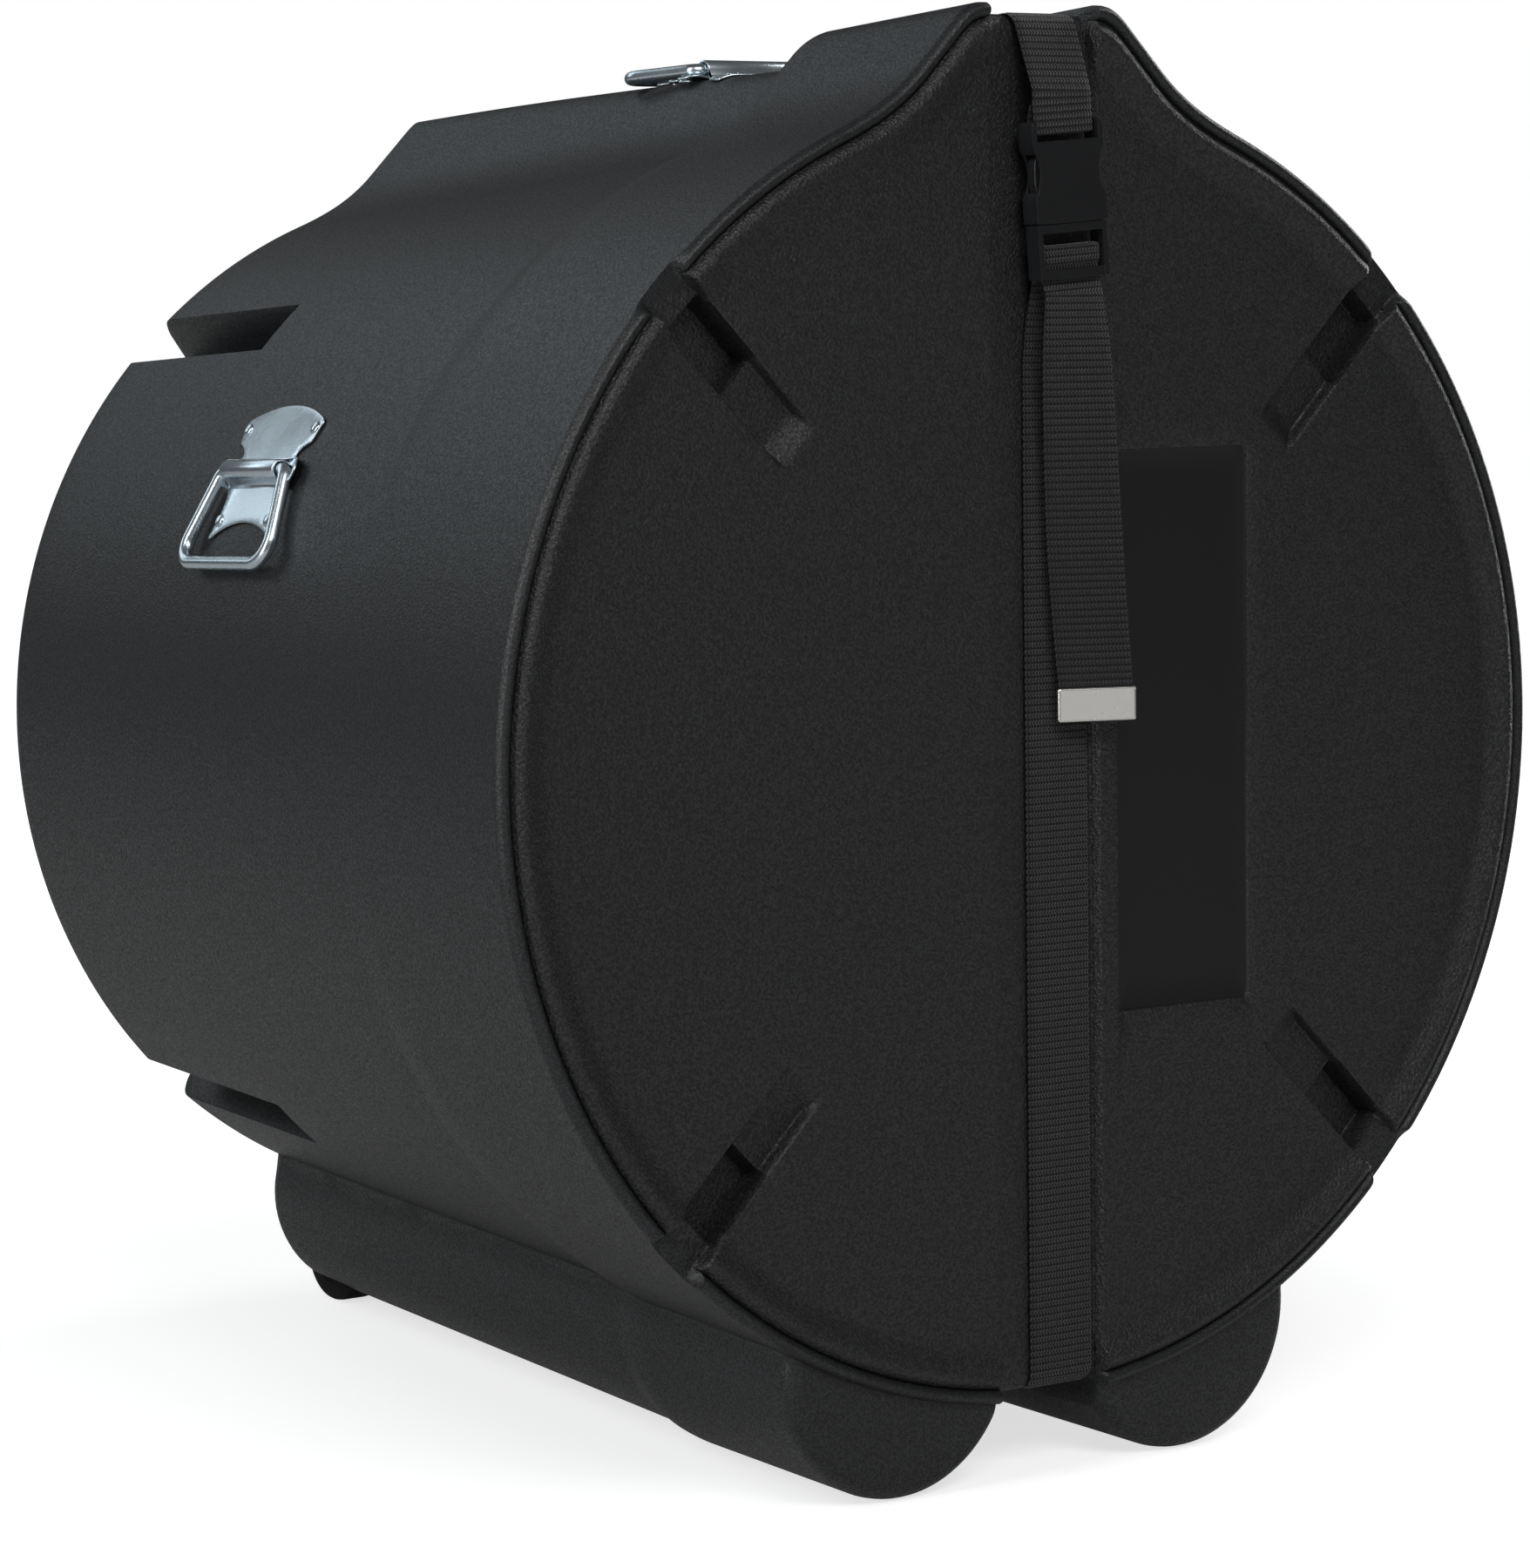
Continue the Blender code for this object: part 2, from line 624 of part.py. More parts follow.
def build_base(kit, rivets):
    """The deep base: skin, inner space, groove, notches, channels, wheel wells and rivet holes."""
    rings = [
        ring(0.004, 0.012), ring(RIM_CREST_Y, RIM_INSET), ring(0.0032, RIM_EDGE_INSET), ring(RIM_BACK_Y, 0.0),
        ring(FOOT_FRONT_Y, 0.0, FOOT_EDGE), ring(0.0105, 0.0, FOOT_EDGE * 0.3), ring(0.018, 0.0, 0.0),
        ring(CROWN_RAMP_START, 0.0, 0.0), ring(RAMP_START, 0.0, 0.0), ring(RAMP_END, 0.0, 0.0),
        ring(HANDLE_ZONE[0], 0.0, 0.0), ring(HANDLE_ZONE[1], 0.0, 0.0),
        ring(DEPTH - REAR_CORNER, 0.0, 0.0),
        ring(DEPTH - REAR_CORNER * 0.3, REAR_CORNER * 0.3, REAR_CORNER * 0.3),
        ring(DEPTH, REAR_CORNER, REAR_CORNER),
    ]
    base = kit.add("base_shell", loft_mesh("base_shell", rings), "shell")
    inside = [
        ring(IN_FRONT, MOUTH_INSET, at=0.0), ring(0.0, MOUTH_INSET), ring(MOUTH_DEPTH, MOUTH_INSET),
        ring(MOUTH_DEPTH + 0.0002, LEDGE_INSET), ring(CROWN_RAMP_START, LEDGE_INSET, LEDGE_INSET),
        ring(RAMP_END, WALL, WALL), ring(DEPTH - REAR_CORNER - WALL, WALL, WALL),
        ring(DEPTH - WALL, REAR_CORNER + WALL, REAR_CORNER + WALL),
    ]
    space = kit.cutter("inner_space", loft_mesh("inner_space", inside))
    for helper in groove_cutters(kit, WALL) + rear_channels(kit, WALL) + wheel_wells(kit, WALL):
        if helper.name.startswith("groove_front"):
            continue
        boolean(space, helper)
    boolean(base, ground_cutter(kit))
    helpers = groove_cutters(kit, 0.0) + rim_notches(kit) + rear_channels(kit, 0.0) + wheel_wells(kit, 0.0)
    for helper in helpers:
        boolean(base, helper)
    holes = [(spot @ Vector((0, 0, -0.02)), spot @ Vector((0, 0, 0.012))) for spot in rivets]
    holes = [(start, end, RIVET_SHANK + RIVET_CLEARANCE) for start, end in holes]
    boolean(base, kit.cutter("rivet_holes", rod_mesh("rivet_holes", holes, 8)))
    rooms = [(start, start.lerp(end, 0.55), RIVET_HEAD + LINING_GAP) for start, end, radius in holes]
    kit.cutter("rivet_room", rod_mesh("rivet_room", rooms, 8))
    boolean(base, space)
    return base


def build_lid(kit):
    """The face panel with its ridge, pockets and label recess, and the skirt that enters the mouth."""
    skirt = MOUTH_INSET + LID_GAP
    rings = [
        ring(FACE_Y, FACE_INSET), ring(0.0028, LID_SLOPE_INSET), ring(0.0, LID_CREST_INSET),
        ring(0.0008, LID_CREST_INSET - 0.0035), ring(SEAM_Y, skirt + 0.0002), ring(0.006, skirt),
        ring(SKIRT_END, skirt),
    ]
    lid = kit.add("lid_shell", loft_mesh("lid_shell", rings), "face")
    inner = skirt + LID_WALL
    back = FACE_Y + FACE_THICKNESS
    inside = [ring(back, inner + 0.004), ring(back + 0.004, inner)]
    inside.append(ring(SKIRT_END + 0.02, inner, at=SKIRT_END))
    space = kit.cutter("lid_space", loft_mesh("lid_space", inside))
    for helper in groove_cutters(kit, POCKET_WALL) + lid_pockets(kit, POCKET_WALL):
        if helper.name.startswith("groove_rear"):
            continue
        boolean(space, helper)
    for helper in lid_pockets(kit, 0.0):
        boolean(lid, helper)
    for name in ("notch_45", "notch_135", "notch_225", "notch_315", "groove_front_cut_0"):
        boolean(lid, bpy.data.objects[name])
    low = (LABEL_X[0], -0.02, LABEL_Z[0])
    high = (LABEL_X[1], FACE_Y + LABEL_DEPTH, LABEL_Z[1])
    label = box_mesh("label_recess", low, high)
    boolean(lid, kit.cutter("label_recess", label))
    boolean(lid, space)
    return lid


def build_linings(kit):
    """Foam on the inside: a sheet on each side wall, a pad on the rear wall and one on the lid."""
    for side, name in ((1, "side_lining_left"), (-1, "side_lining_right")):
        start, end = (math.radians(a) for a in LINING_SPAN)
        if side < 0:
            start, end = math.pi - end, math.pi - start
        inner = WALL + LINING_GAP
        angles = [start + (end - start) * i / LINING_STEPS for i in range(LINING_STEPS + 1)]
        mesh = sheet_mesh(name, LINING_FRONT, LINING_BACK, angles, inner + LINING_THICK, inner)
        lining = kit.add(name, mesh, "foam")
        for helper in rear_channels_near(kit, side):
            boolean(lining, helper)
        boolean(lining, bpy.data.objects["rivet_room"])
    rear_back = DEPTH - WALL - PAD_GAP
    pad = rod_mesh("rear_pad", [((0, REAR_PAD_FRONT, 0), (0, rear_back, 0), REAR_PAD_RADIUS)], 40)
    rear_pad = kit.add("rear_pad", pad, "foam")
    boolean(rear_pad, groove_cutters(kit, WALL + PAD_GAP)[1])
    front = FACE_Y + FACE_THICKNESS + PAD_GAP
    pad = rod_mesh("lid_pad", [((0, front, 0), (0, front + LID_PAD_THICK, 0), LID_PAD_RADIUS)], 40)
    lid_pad = kit.add("lid_pad", pad, "foam")
    boolean(lid_pad, groove_cutters(kit, POCKET_WALL + PAD_GAP)[0])


def rear_channels_near(kit, side):
    """Slots in a side lining where the channels come through the wall."""
    result = []
    for degrees in DIAGONALS:
        if (math.cos(math.radians(degrees)) < 0) != (side > 0):
            continue
        section, plan = radial_frames(degrees)
        half = CHANNEL_HALF + WALL + LINING_GAP
        outline = [(0.2, half), (FAR, half), (FAR, -half), (0.2, -half)]
        front = CHANNEL_START - WALL - LINING_GAP
        mesh = prism_mesh(f"lining_slot_{degrees}", outline, -DEPTH, -front, plan)
        result.append(kit.cutter(f"lining_slot_{degrees}", mesh))
    return result


def wheel_wells(kit, grow):
    """Room for the wheels in the rear corners of the feet."""
    result = []
    for side in (-1, 1):
        low = (side * WHEEL_X - WELL_HALF - grow, WHEEL_Y - WELL_FRONT - grow, -FAR)
        high = (side * WHEEL_X + WELL_HALF + grow, DEPTH + 0.05, WHEEL_Z + WELL_TOP + grow)
        name = f"well_{'left' if side < 0 else 'right'}_{'wall' if grow else 'cut'}"
        result.append(kit.cutter(name, box_mesh(name, low, high)))
    return result


def build_wheels(kit):
    """Tyre, hub, axle, bracket and its two rivets at each rear corner."""
    for side, word in ((-1, "left"), (1, "right")):
        centre = Matrix.Translation((side * WHEEL_X, WHEEL_Y, WHEEL_Z))
        along = centre @ Matrix.Rotation(math.radians(90), 4, "Y")
        edge = WHEEL_HALF * 0.62
        tyre = [
            (HUB_RADIUS, WHEEL_HALF), (WHEEL_RADIUS - 0.004, WHEEL_HALF),
            (WHEEL_RADIUS - 0.001, WHEEL_HALF * 0.85),
            (WHEEL_RADIUS, edge), (WHEEL_RADIUS, -edge), (WHEEL_RADIUS - 0.001, -WHEEL_HALF * 0.85),
            (WHEEL_RADIUS - 0.004, -WHEEL_HALF), (HUB_RADIUS, -WHEEL_HALF),
        ]
        turned_piece(kit, f"tyre_{word}", tyre, "rubber", along, 22)
        bore = AXLE_RADIUS + AXLE_CLEARANCE
        rim = HUB_RADIUS - SLIP
        hub = [
            (bore, HUB_HALF), (0.0075, HUB_HALF), (0.0085, WHEEL_HALF * 0.6), (0.0135, WHEEL_HALF * 0.6),
            (rim, WHEEL_HALF), (rim, -WHEEL_HALF), (0.0135, -WHEEL_HALF * 0.6),
            (0.0085, -WHEEL_HALF * 0.6), (0.0075, -HUB_HALF), (bore, -HUB_HALF),
        ]
        turned_piece(kit, f"hub_{word}", hub, "hub", along, 14)
        cheek = HUB_HALF + CHEEK_GAP
        outside = cheek + CHEEK_THICK
        head_face = outside + SLIP
        axle = [
            (0.0, head_face + 0.002), (AXLE_HEAD, head_face + 0.002), (AXLE_HEAD, head_face),
            (AXLE_RADIUS, head_face), (AXLE_RADIUS, -head_face), (AXLE_HEAD, -head_face),
            (AXLE_HEAD, -head_face - 0.002), (0.0, -head_face - 0.002),
        ]
        turned_piece(kit, f"axle_{word}", axle, "steel", along, 12)
        build_bracket(kit, word, centre, cheek, outside)
        profile = rivet_profile(CHEEK_THICK + SLIP, CHEEK_THICK + SLIP + WALL)
        for place, spot in zip("ab", bracket_rivets(side)):
            turned_piece(kit, f"bracket_rivet_{word}_{place}", profile, "steel", spot, 7)


def build_bracket(kit, word, centre, cheek, outside):
    """A bent sheet bracket: a web against the roof of the well and two cheeks that carry the axle."""
    top = WELL_TOP - SLIP
    web = box_mesh("web", (-outside, -0.024, top - CHEEK_THICK), (outside, 0.018, top))
    bracket = kit.add(f"wheel_bracket_{word}", web, "steel", centre)
    swing = Matrix(((0, 0, 1, 0), (1, 0, 0, 0), (0, 1, 0, 0), (0, 0, 0, 1)))
    drop = 0.010
    sheet = [
        (-0.024, top - CHEEK_THICK / 2), (-0.024, 0.018), (-drop, -0.004), (-0.006, -0.0085),
        (0.006, -0.0085), (drop, -0.004), (0.018, 0.018), (0.018, top - CHEEK_THICK / 2),
    ]
    for sign, low, high in ((-1, -outside, -cheek), (1, cheek, outside)):
        mesh = prism_mesh("cheek", sheet, low, high, swing)
        boolean(bracket, kit.cutter(f"cheek_{word}_{sign}", mesh, centre), "UNION")
    bore = AXLE_RADIUS + AXLE_CLEARANCE
    rods = [((-0.05, 0, 0), (0.05, 0, 0), bore)]
    boolean(bracket, kit.cutter(f"axle_hole_{word}", rod_mesh("axle_hole", rods, 14), centre))
    boolean(bracket, bpy.data.objects["rivet_holes"])


def bracket_rivets(side):
    """Frames of the two rivets that hold a bracket, pointing down out of the well's roof."""
    roof = Vector((side * WHEEL_X, WHEEL_Y - 0.012, WHEEL_Z + WELL_TOP))
    down = Matrix.Rotation(math.pi, 4, "X")
    return [Matrix.Translation(roof + Vector((x, 0.0, 0.0))) @ down for x in (-0.007, 0.007)]


def rivet_profile(seat, reach):
    """Domed head above its seat, shank through the sheet and the wall, closed head inside."""
    low = seat - reach - 2 * RIVET_CLEARANCE
    top = seat + RIVET_CLEARANCE
    return [
        (0.0, top + RIVET_CAP), (RIVET_HEAD * 0.6, top + RIVET_CAP * 0.8), (RIVET_HEAD, top),
        (RIVET_SHANK, top), (RIVET_SHANK, low), (RIVET_HEAD * 0.8, low),
        (RIVET_HEAD * 0.8, low - RIVET_CAP), (0.0, low - RIVET_CAP),
    ]


def plate_outline():
    """Handle plate seen from outside: a fan above, two ears beside the tunnel and a fan below."""
    half = []
    for i in range(6):
        u = 0.041 * i / 5
        half.append((u, -0.030 + math.sqrt(0.072 ** 2 - u * u)))
    half += [
        (0.0445, 0.0265), (0.0445, 0.0235), (0.0420, 0.0165), (0.0380, 0.0160), (0.0335, 0.0145),
        (0.0300, 0.0115),
        (0.0290, 0.0085), (0.0330, 0.0068), (0.0390, 0.0060), (0.0430, 0.0030), (0.0440, -0.0005),
        (0.0425, -0.0045), (0.0380, -0.0075), (0.0320, -0.0095), (0.0290, -0.0135), (0.0295, -0.0210),
        (0.0325, -0.0300), (0.0362, -0.0370),
    ]
    arc = 0.0656
    for i in range(5, -1, -1):
        u = 0.0345 * i / 5
        half.append((u, -0.028 - arc + math.sqrt(arc ** 2 - u * u)))
    left = [(-u, v) for u, v in reversed(half[1:-1])]
    return half + left


def tunnel_outline():
    """Section of the tunnel across its length: an arch with legs down into the plate."""
    axis = PLATE_GAP + PLATE_THICK + ROD_CLEARANCE + ROD_RADIUS
    bore, outer = ROD_RADIUS + ROD_CLEARANCE, ROD_RADIUS + ROD_CLEARANCE + TUNNEL_WALL
    foot = PLATE_GAP + PLATE_THICK * 0.5
    steps = 8
    turns = [math.pi * i / steps for i in range(steps + 1)]
    over = [(outer * math.cos(a), axis + outer * math.sin(a)) for a in turns]
    under = [(bore * math.cos(a), axis + bore * math.sin(a)) for a in reversed(turns)]
    return [(outer, foot)] + over + [(-outer, foot), (-bore, foot)] + under + [(bore, foot)], axis


def handle_frames():
    """Frames of the three handles: x along the tunnel, y towards the upper fan, z out of the skin."""
    frames = {}
    for word, side in (("left", 1), ("right", -1)):
        angle = math.radians(SIDE_ANGLE)
        near, far = skin_point(angle, SIDE_Y - 0.03), skin_point(angle, SIDE_Y + 0.03)
        place = (near + far) / 2
        along = (far - near).normalized()
        place.x *= side
        along.x *= side
        out = Vector((math.cos(angle) * side, 0.0, math.sin(angle)))
        out = (out - along * out.dot(along)).normalized()
        u = along * -side
        v = out.cross(u)
        frames[word] = frame_matrix(u, v, out, place)
    near, far = skin_point(math.pi / 2, TOP_Y - 0.04), skin_point(math.pi / 2, TOP_Y + 0.04)
    along = (far - near).normalized()
    u = Vector((-1.0, 0.0, 0.0))
    v = -along
    frames["top"] = frame_matrix(u, v, u.cross(v), (near + far) / 2)
    return frames


def frame_matrix(u, v, w, place):
    """A frame from its three axes and its place."""
    matrix = Matrix((u, v, w)).transposed().to_4x4()
    matrix.translation = place
    return matrix


def handle_rivets(word, frame):
    """Frames of a handle's four rivets, on the skin and square to it."""
    pairs = (UPPER_RIVET, LOWER_RIVET)
    if word == "top":
        pairs = ((TOP_RIVET_HALF, UPPER_RIVET[1]), (TOP_RIVET_HALF, LOWER_RIVET[1]))
    result = []
    for u, v in pairs:
        for sign in (-1, 1):
            spot = frame @ Vector((sign * u, v, 0.0))
            angle = math.atan2(spot.z, spot.x)
            here = skin_point(angle, spot.y)
            wide = skin_point(angle + 0.005, spot.y) - skin_point(angle - 0.005, spot.y)
            deep = skin_point(angle, spot.y + 0.005) - skin_point(angle, spot.y - 0.005)
            out = deep.cross(wide).normalized()
            across = deep.normalized()
            result.append(frame_matrix(across, out.cross(across), out, here))
    return result


def build_handle(kit, word, frame):
    """Plate, four rivets and the drop loop of one handle."""
    if word == "top":
        start, end = math.radians(62), math.radians(118)
    else:
        middle = math.radians(SIDE_ANGLE if word == "left" else 180 - SIDE_ANGLE)
        start, end = middle - 0.26, middle + 0.26
    angles = [a for a in ANGLES if start < a < end]
    sheet = sheet_mesh(f"handle_plate_{word}", *HANDLE_ZONE, angles, -PLATE_GAP, -PLATE_GAP - PLATE_THICK)
    plate = kit.add(f"handle_plate_{word}", sheet, "zinc", smooth=25)
    outline = prism_mesh("plate_outline", plate_outline(), -0.03, 0.03)
    boolean(plate, kit.cutter(f"plate_outline_{word}", outline, frame), "INTERSECT")
    arch, axis = tunnel_outline()
    swing = Matrix(((0, 0, 1, 0), (1, 0, 0, 0), (0, 1, 0, 0), (0, 0, 0, 1)))
    tunnel = prism_mesh("tunnel", arch, -TUNNEL_HALF, TUNNEL_HALF, swing)
    boolean(plate, kit.cutter(f"tunnel_{word}", tunnel, frame), "UNION")
    reach = PLATE_THICK + PLATE_GAP + WALL
    if word == "top":
        reach += GROOVE_BACK + GROOVE_STEP
    profile = rivet_profile(PLATE_GAP + PLATE_THICK, reach)
    for number, spot in enumerate(handle_rivets(word, frame), 1):
        turned_piece(kit, f"handle_rivet_{word}_{number}", profile, "zinc", spot, 7)
    boolean(plate, bpy.data.objects["rivet_holes"])
    hang = TOP_HANG if word == "top" else SIDE_HANG
    pivot = frame @ Matrix.Translation((0, 0, axis)) @ Matrix.Rotation(math.radians(hang), 4, "X")
    build_loop(kit, f"handle_loop_{word}", pivot)


def build_loop(kit, name, pivot):
    """A closed round rod, bent to a trapezoid, with its top side through the tunnel."""
    corners = [
        (-LOOP_TOP_HALF, 0), (LOOP_TOP_HALF, 0), (LOOP_BAR_HALF, -LOOP_REACH), (-LOOP_BAR_HALF, -LOOP_REACH),
    ]
    radii = (0.006, 0.006, LOOP_CORNER, LOOP_CORNER)
    points = fillet(corners, radii, steps=4, closed=True)
    curve = bpy.data.curves.new(name, "CURVE")
    curve.dimensions = "3D"
    curve.bevel_depth = ROD_RADIUS
    curve.bevel_resolution = 2
    line = curve.splines.new("POLY")
    line.points.add(len(points) - 1)
    for target, point in zip(line.points, points):
        target.co = (point.x, point.y, 0.0, 1.0)
    line.use_cyclic_u = True
    obj = bpy.data.objects.new(name, curve)
    obj.parent = kit.rig
    obj.matrix_local = pivot
    curve.materials.append(kit.finish["zinc"])
    kit.parts.objects.link(obj)
    return obj


def band_mesh(name, samples, thick):
    """A flat strap through samples of (place, sideways direction, width). It lies on the outer side."""
    work = bmesh.new()
    rows = []
    for i, (place, wide, width) in enumerate(samples):
        sides = []
        if i > 0:
            sides.append((place - samples[i - 1][0]).normalized())
        if i < len(samples) - 1:
            sides.append((samples[i + 1][0] - place).normalized())
        ahead = sum(sides, Vector()).normalized()
        out = wide.cross(ahead).normalized() / max(0.5, ahead.dot(sides[0]))
        left, right = place - wide * width / 2, place + wide * width / 2
        rows.append([work.verts.new(p) for p in (left, right, right + out * thick, left + out * thick)])
    for near, far in zip(rows, rows[1:]):
        for i in range(4):
            j = (i + 1) % 4
            work.faces.new((near[i], near[j], far[j], far[i]))
    work.faces.new(rows[0])
    work.faces.new(rows[-1])
    return finish_mesh(name, work)


def lay(line, x_start, x_end, width_start=STRAP_WIDTH, width_end=STRAP_WIDTH, frame=None):
    """Strap samples along a line in (y, z). Its middle and its width run evenly between two values."""
    lengths = [0.0]
    for a, b in zip(line, line[1:]):
        lengths.append(lengths[-1] + (b - a).length)
    frame = frame or Matrix()
    samples = []
    for point, length in zip(line, lengths):
        share = length / lengths[-1]
        place = Vector((x_start + (x_end - x_start) * share, point.x, point.y))
        width = width_start + (width_end - width_start) * share
        samples.append((frame @ place, frame.to_3x3() @ Vector((1, 0, 0)), width))
    return samples


def strap_height(y, side):
    """Height of the webbing over the floor of the strap channel."""
    return groove_height(y, side) + side * STRAP_GAP


def buckle_frame():
    """Frame of the buckle: x across, y into the case, z up the strap."""
    return Matrix.Translation(BUCKLE_PLACE) @ Matrix.Rotation(math.radians(-BUCKLE_LEAN), 4, "Y")


def build_straps(kit):
    """Webbing over the base, on the lid and through the buckle, and the two stretches that pay out."""
    face = FACE_Y + GROOVE_FACE - STRAP_GAP
    back = DEPTH - GROOVE_BACK + STRAP_GAP
    corner = GROOVE_FILLET + STRAP_GAP
    over = [(y, strap_height(y, 1)) for y in (BRIDGE_END, RAMP_END, back)]
    over += [(y, strap_height(y, -1)) for y in (back, RAMP_END, RAMP_START, BRIDGE_END)]
    line = fillet(over, (0, 0, corner, corner, 0, 0, 0))
    band = band_mesh("strap_over_base", lay(line, STRAP_X_TOP, STRAP_X_BACK), STRAP_THICK)
    kit.add("strap_over_base", band, "web")
    ends = (BRIDGE_START + BRIDGE_GAP, BRIDGE_END - BRIDGE_GAP)
    line = [Vector((y, strap_height(y, 1))) for y in ends]
    band = band_mesh("strap_top_bridge", lay(line, STRAP_X_TOP, STRAP_X_TOP), STRAP_THICK)
    kit.add("strap_top_bridge", band, "web")
    line = [Vector((y, strap_height(y, -1))) for y in reversed(ends)]
    band = band_mesh("strap_bottom_bridge", lay(line, STRAP_X_BACK, STRAP_X_LOW), STRAP_THICK)
    kit.add("strap_bottom_bridge", band, "web")
    build_upper_strap(kit, face, corner)
    build_lower_strap(kit, face, corner)


def build_upper_strap(kit, face, corner):
    """From the crown down the face, round the female half's bar and back up behind itself."""
    frame = buckle_frame()
    reach = STRAP_THICK + SLIP
    back, front = FEMALE_BAR[1] + reach, FEMALE_BAR[0] - reach
    low, high = SLOT_HIGH - reach, FEMALE_LENGTH + 0.009
    behind = front + 2 * STRAP_THICK + SLIP + 0.0004
    loop = [(behind, high), (back, FEMALE_LENGTH + 0.0012), (back, low), (front, low), (front, high)]
    inner = 0.0016
    line = fillet(loop, (0, inner, inner, inner, 0), steps=3)
    samples = lay(line, 0.0, 0.0, PINCH_WIDTH, PINCH_WIDTH, frame)
    top = frame @ Vector((0.0, front, high))
    turn = [(top.y - 0.0004, top.z + 0.006), (face - STRAP_THICK, strap_height(face, 1) + STRAP_THICK),
            (BRIDGE_START, strap_height(BRIDGE_START, 1) + STRAP_THICK)]
    line = fillet(turn, (0, corner + STRAP_THICK, 0))
    samples += lay(line, top.x - 0.0003, STRAP_X_TOP, PINCH_WIDTH, STRAP_WIDTH)
    flipped = [(place, -wide, width) for place, wide, width in samples]
    kit.add("strap_upper", band_mesh("strap_upper", flipped, STRAP_THICK), "web")


def build_lower_strap(kit, face, corner):
    """From under the case up the face, over the ladder bar of the male half, and down as the free tail."""
    frame = buckle_frame()
    reach = STRAP_THICK + SLIP
    start = [(BRIDGE_START, strap_height(BRIDGE_START, -1)), (face, strap_height(face, -1)), (face, 0.150)]
    samples = lay(fillet(start, (0, corner, 0)), STRAP_X_LOW, STRAP_X_LOW)
    rise = [Vector((face, 0.200)), Vector((face - 0.0004, 0.222)), Vector((face - 0.0023, 0.2313))]
    samples += lay(rise, STRAP_X_LOW, STRAP_X_LOW + 0.0017, STRAP_WIDTH - 0.001, PINCH_WIDTH)
    back, front = LADDER_BAR_Y[1] + reach, LADDER_BAR_Y[0] - reach
    top = LADDER_BAR_Z[1] + reach
    under = END_BAR_BACK + SLIP + 0.0002
    wrap = [
        (back + 0.0012, LADDER_BAR_Z[0] - 0.003), (back, LADDER_BAR_Z[0]), (back, top), (front, top),
        (front, LADDER_BAR_Z[0] - SLIP), (under, END_BAR_Z + 0.0002), (under, -MALE_LENGTH - 0.0008),
        (TAIL_Y - BUCKLE_PLACE[1] - STRAP_THICK, -MALE_LENGTH - 0.0075),
    ]
    radii = (0, 0, 0.0018, 0.0018, 0, 0, 0, 0)
    samples += lay(fillet(wrap, radii, steps=3), 0.0, 0.0, PINCH_WIDTH, PINCH_WIDTH, frame)
    for i, (x, z) in enumerate(zip(TAIL_X[1:], TAIL_Z[1:])):
        turn = math.radians(TAIL_TWIST * (0.5, 1.0, 1.0, 0.9)[i])
        wide = Vector((math.cos(turn), -math.sin(turn), 0.0))
        samples.append((Vector((x, TAIL_Y - STRAP_THICK, z)), wide, STRAP_WIDTH))
    place, wide, width = samples[-1]
    end = place + Vector((0.0, 0.0, -TIP_SLOT + 0.0006))
    samples.append((end, wide, width))
    kit.add("strap_lower", band_mesh("strap_lower", samples, STRAP_THICK), "web")
    build_tip(kit, place, end, wide)


def build_tip(kit, start, end, wide):
    """A folded metal tip on the strap's end."""
    up = (start - end).normalized()
    out = up.cross(wide).normalized()
    side = out.cross(up).normalized()
    middle = out * STRAP_THICK / 2
    frame = frame_matrix(side, out, side.cross(out), end + middle)
    half, thick = STRAP_WIDTH / 2 + SLIP, STRAP_THICK / 2 + SLIP
    sign = 1.0 if frame.col[2].xyz.dot(up) > 0 else -1.0
    low, high = sorted((-sign * (TIP_LENGTH - TIP_SLOT), sign * TIP_SLOT))
    wide, deep = half + TIP_WALL, thick + TIP_WALL
    block = box_mesh("strap_tip", (-wide, -deep, low), (wide, deep, high))
    tip = kit.add("strap_tip", block, "nickel", frame)
    low, high = sorted((-sign * SLIP, sign * 0.04))
    slot = box_mesh("tip_slot", (-half, -thick, low), (half, thick, high))
    boolean(tip, kit.cutter("tip_slot", slot, frame))


def build_buckle(kit):
    """Female half on the lid's webbing, male half with its ladder bar, and the two release prongs."""
    frame = buckle_frame()
    half, thick = BUCKLE_HALF, BUCKLE_THICK / 2
    block = box_mesh("buckle_female", (-half, -thick, SLIP), (half, thick, FEMALE_LENGTH), 0.0018)
    female = kit.add("buckle_female", block, "buckle", frame)
    wall = FEMALE_WALL
    cuts = {
        "cavity": ((-half + wall, -thick + wall, -0.02), (half - wall, thick - wall, CAVITY_END)),
        "slot": ((-SLOT_HALF, -0.02, SLOT_LOW), (SLOT_HALF, 0.02, SLOT_HIGH)),
        "bar_front": ((-SLOT_HALF, -0.02, SLOT_HIGH - 0.0002), (SLOT_HALF, FEMALE_BAR[0], 0.08)),
        "bar_back": ((-SLOT_HALF, FEMALE_BAR[1], SLOT_HIGH - 0.0002), (SLOT_HALF, 0.02, 0.08)),
    }
    for name, (low, high) in cuts.items():
        boolean(female, kit.cutter(f"female_{name}", box_mesh(name, low, high), frame))
    for sign in (-1, 1):
        x = sign * (half + SCALLOP_RADIUS - SCALLOP_DEPTH)
        rods = [((x, -0.02, SCALLOP_Z), (x, 0.02, SCALLOP_Z), SCALLOP_RADIUS)]
        word = "left" if sign < 0 else "right"
        scallop = kit.cutter(f"scallop_{word}", rod_mesh("scallop", rods, 40), frame)
        boolean(female, scallop)
    build_male(kit, frame)


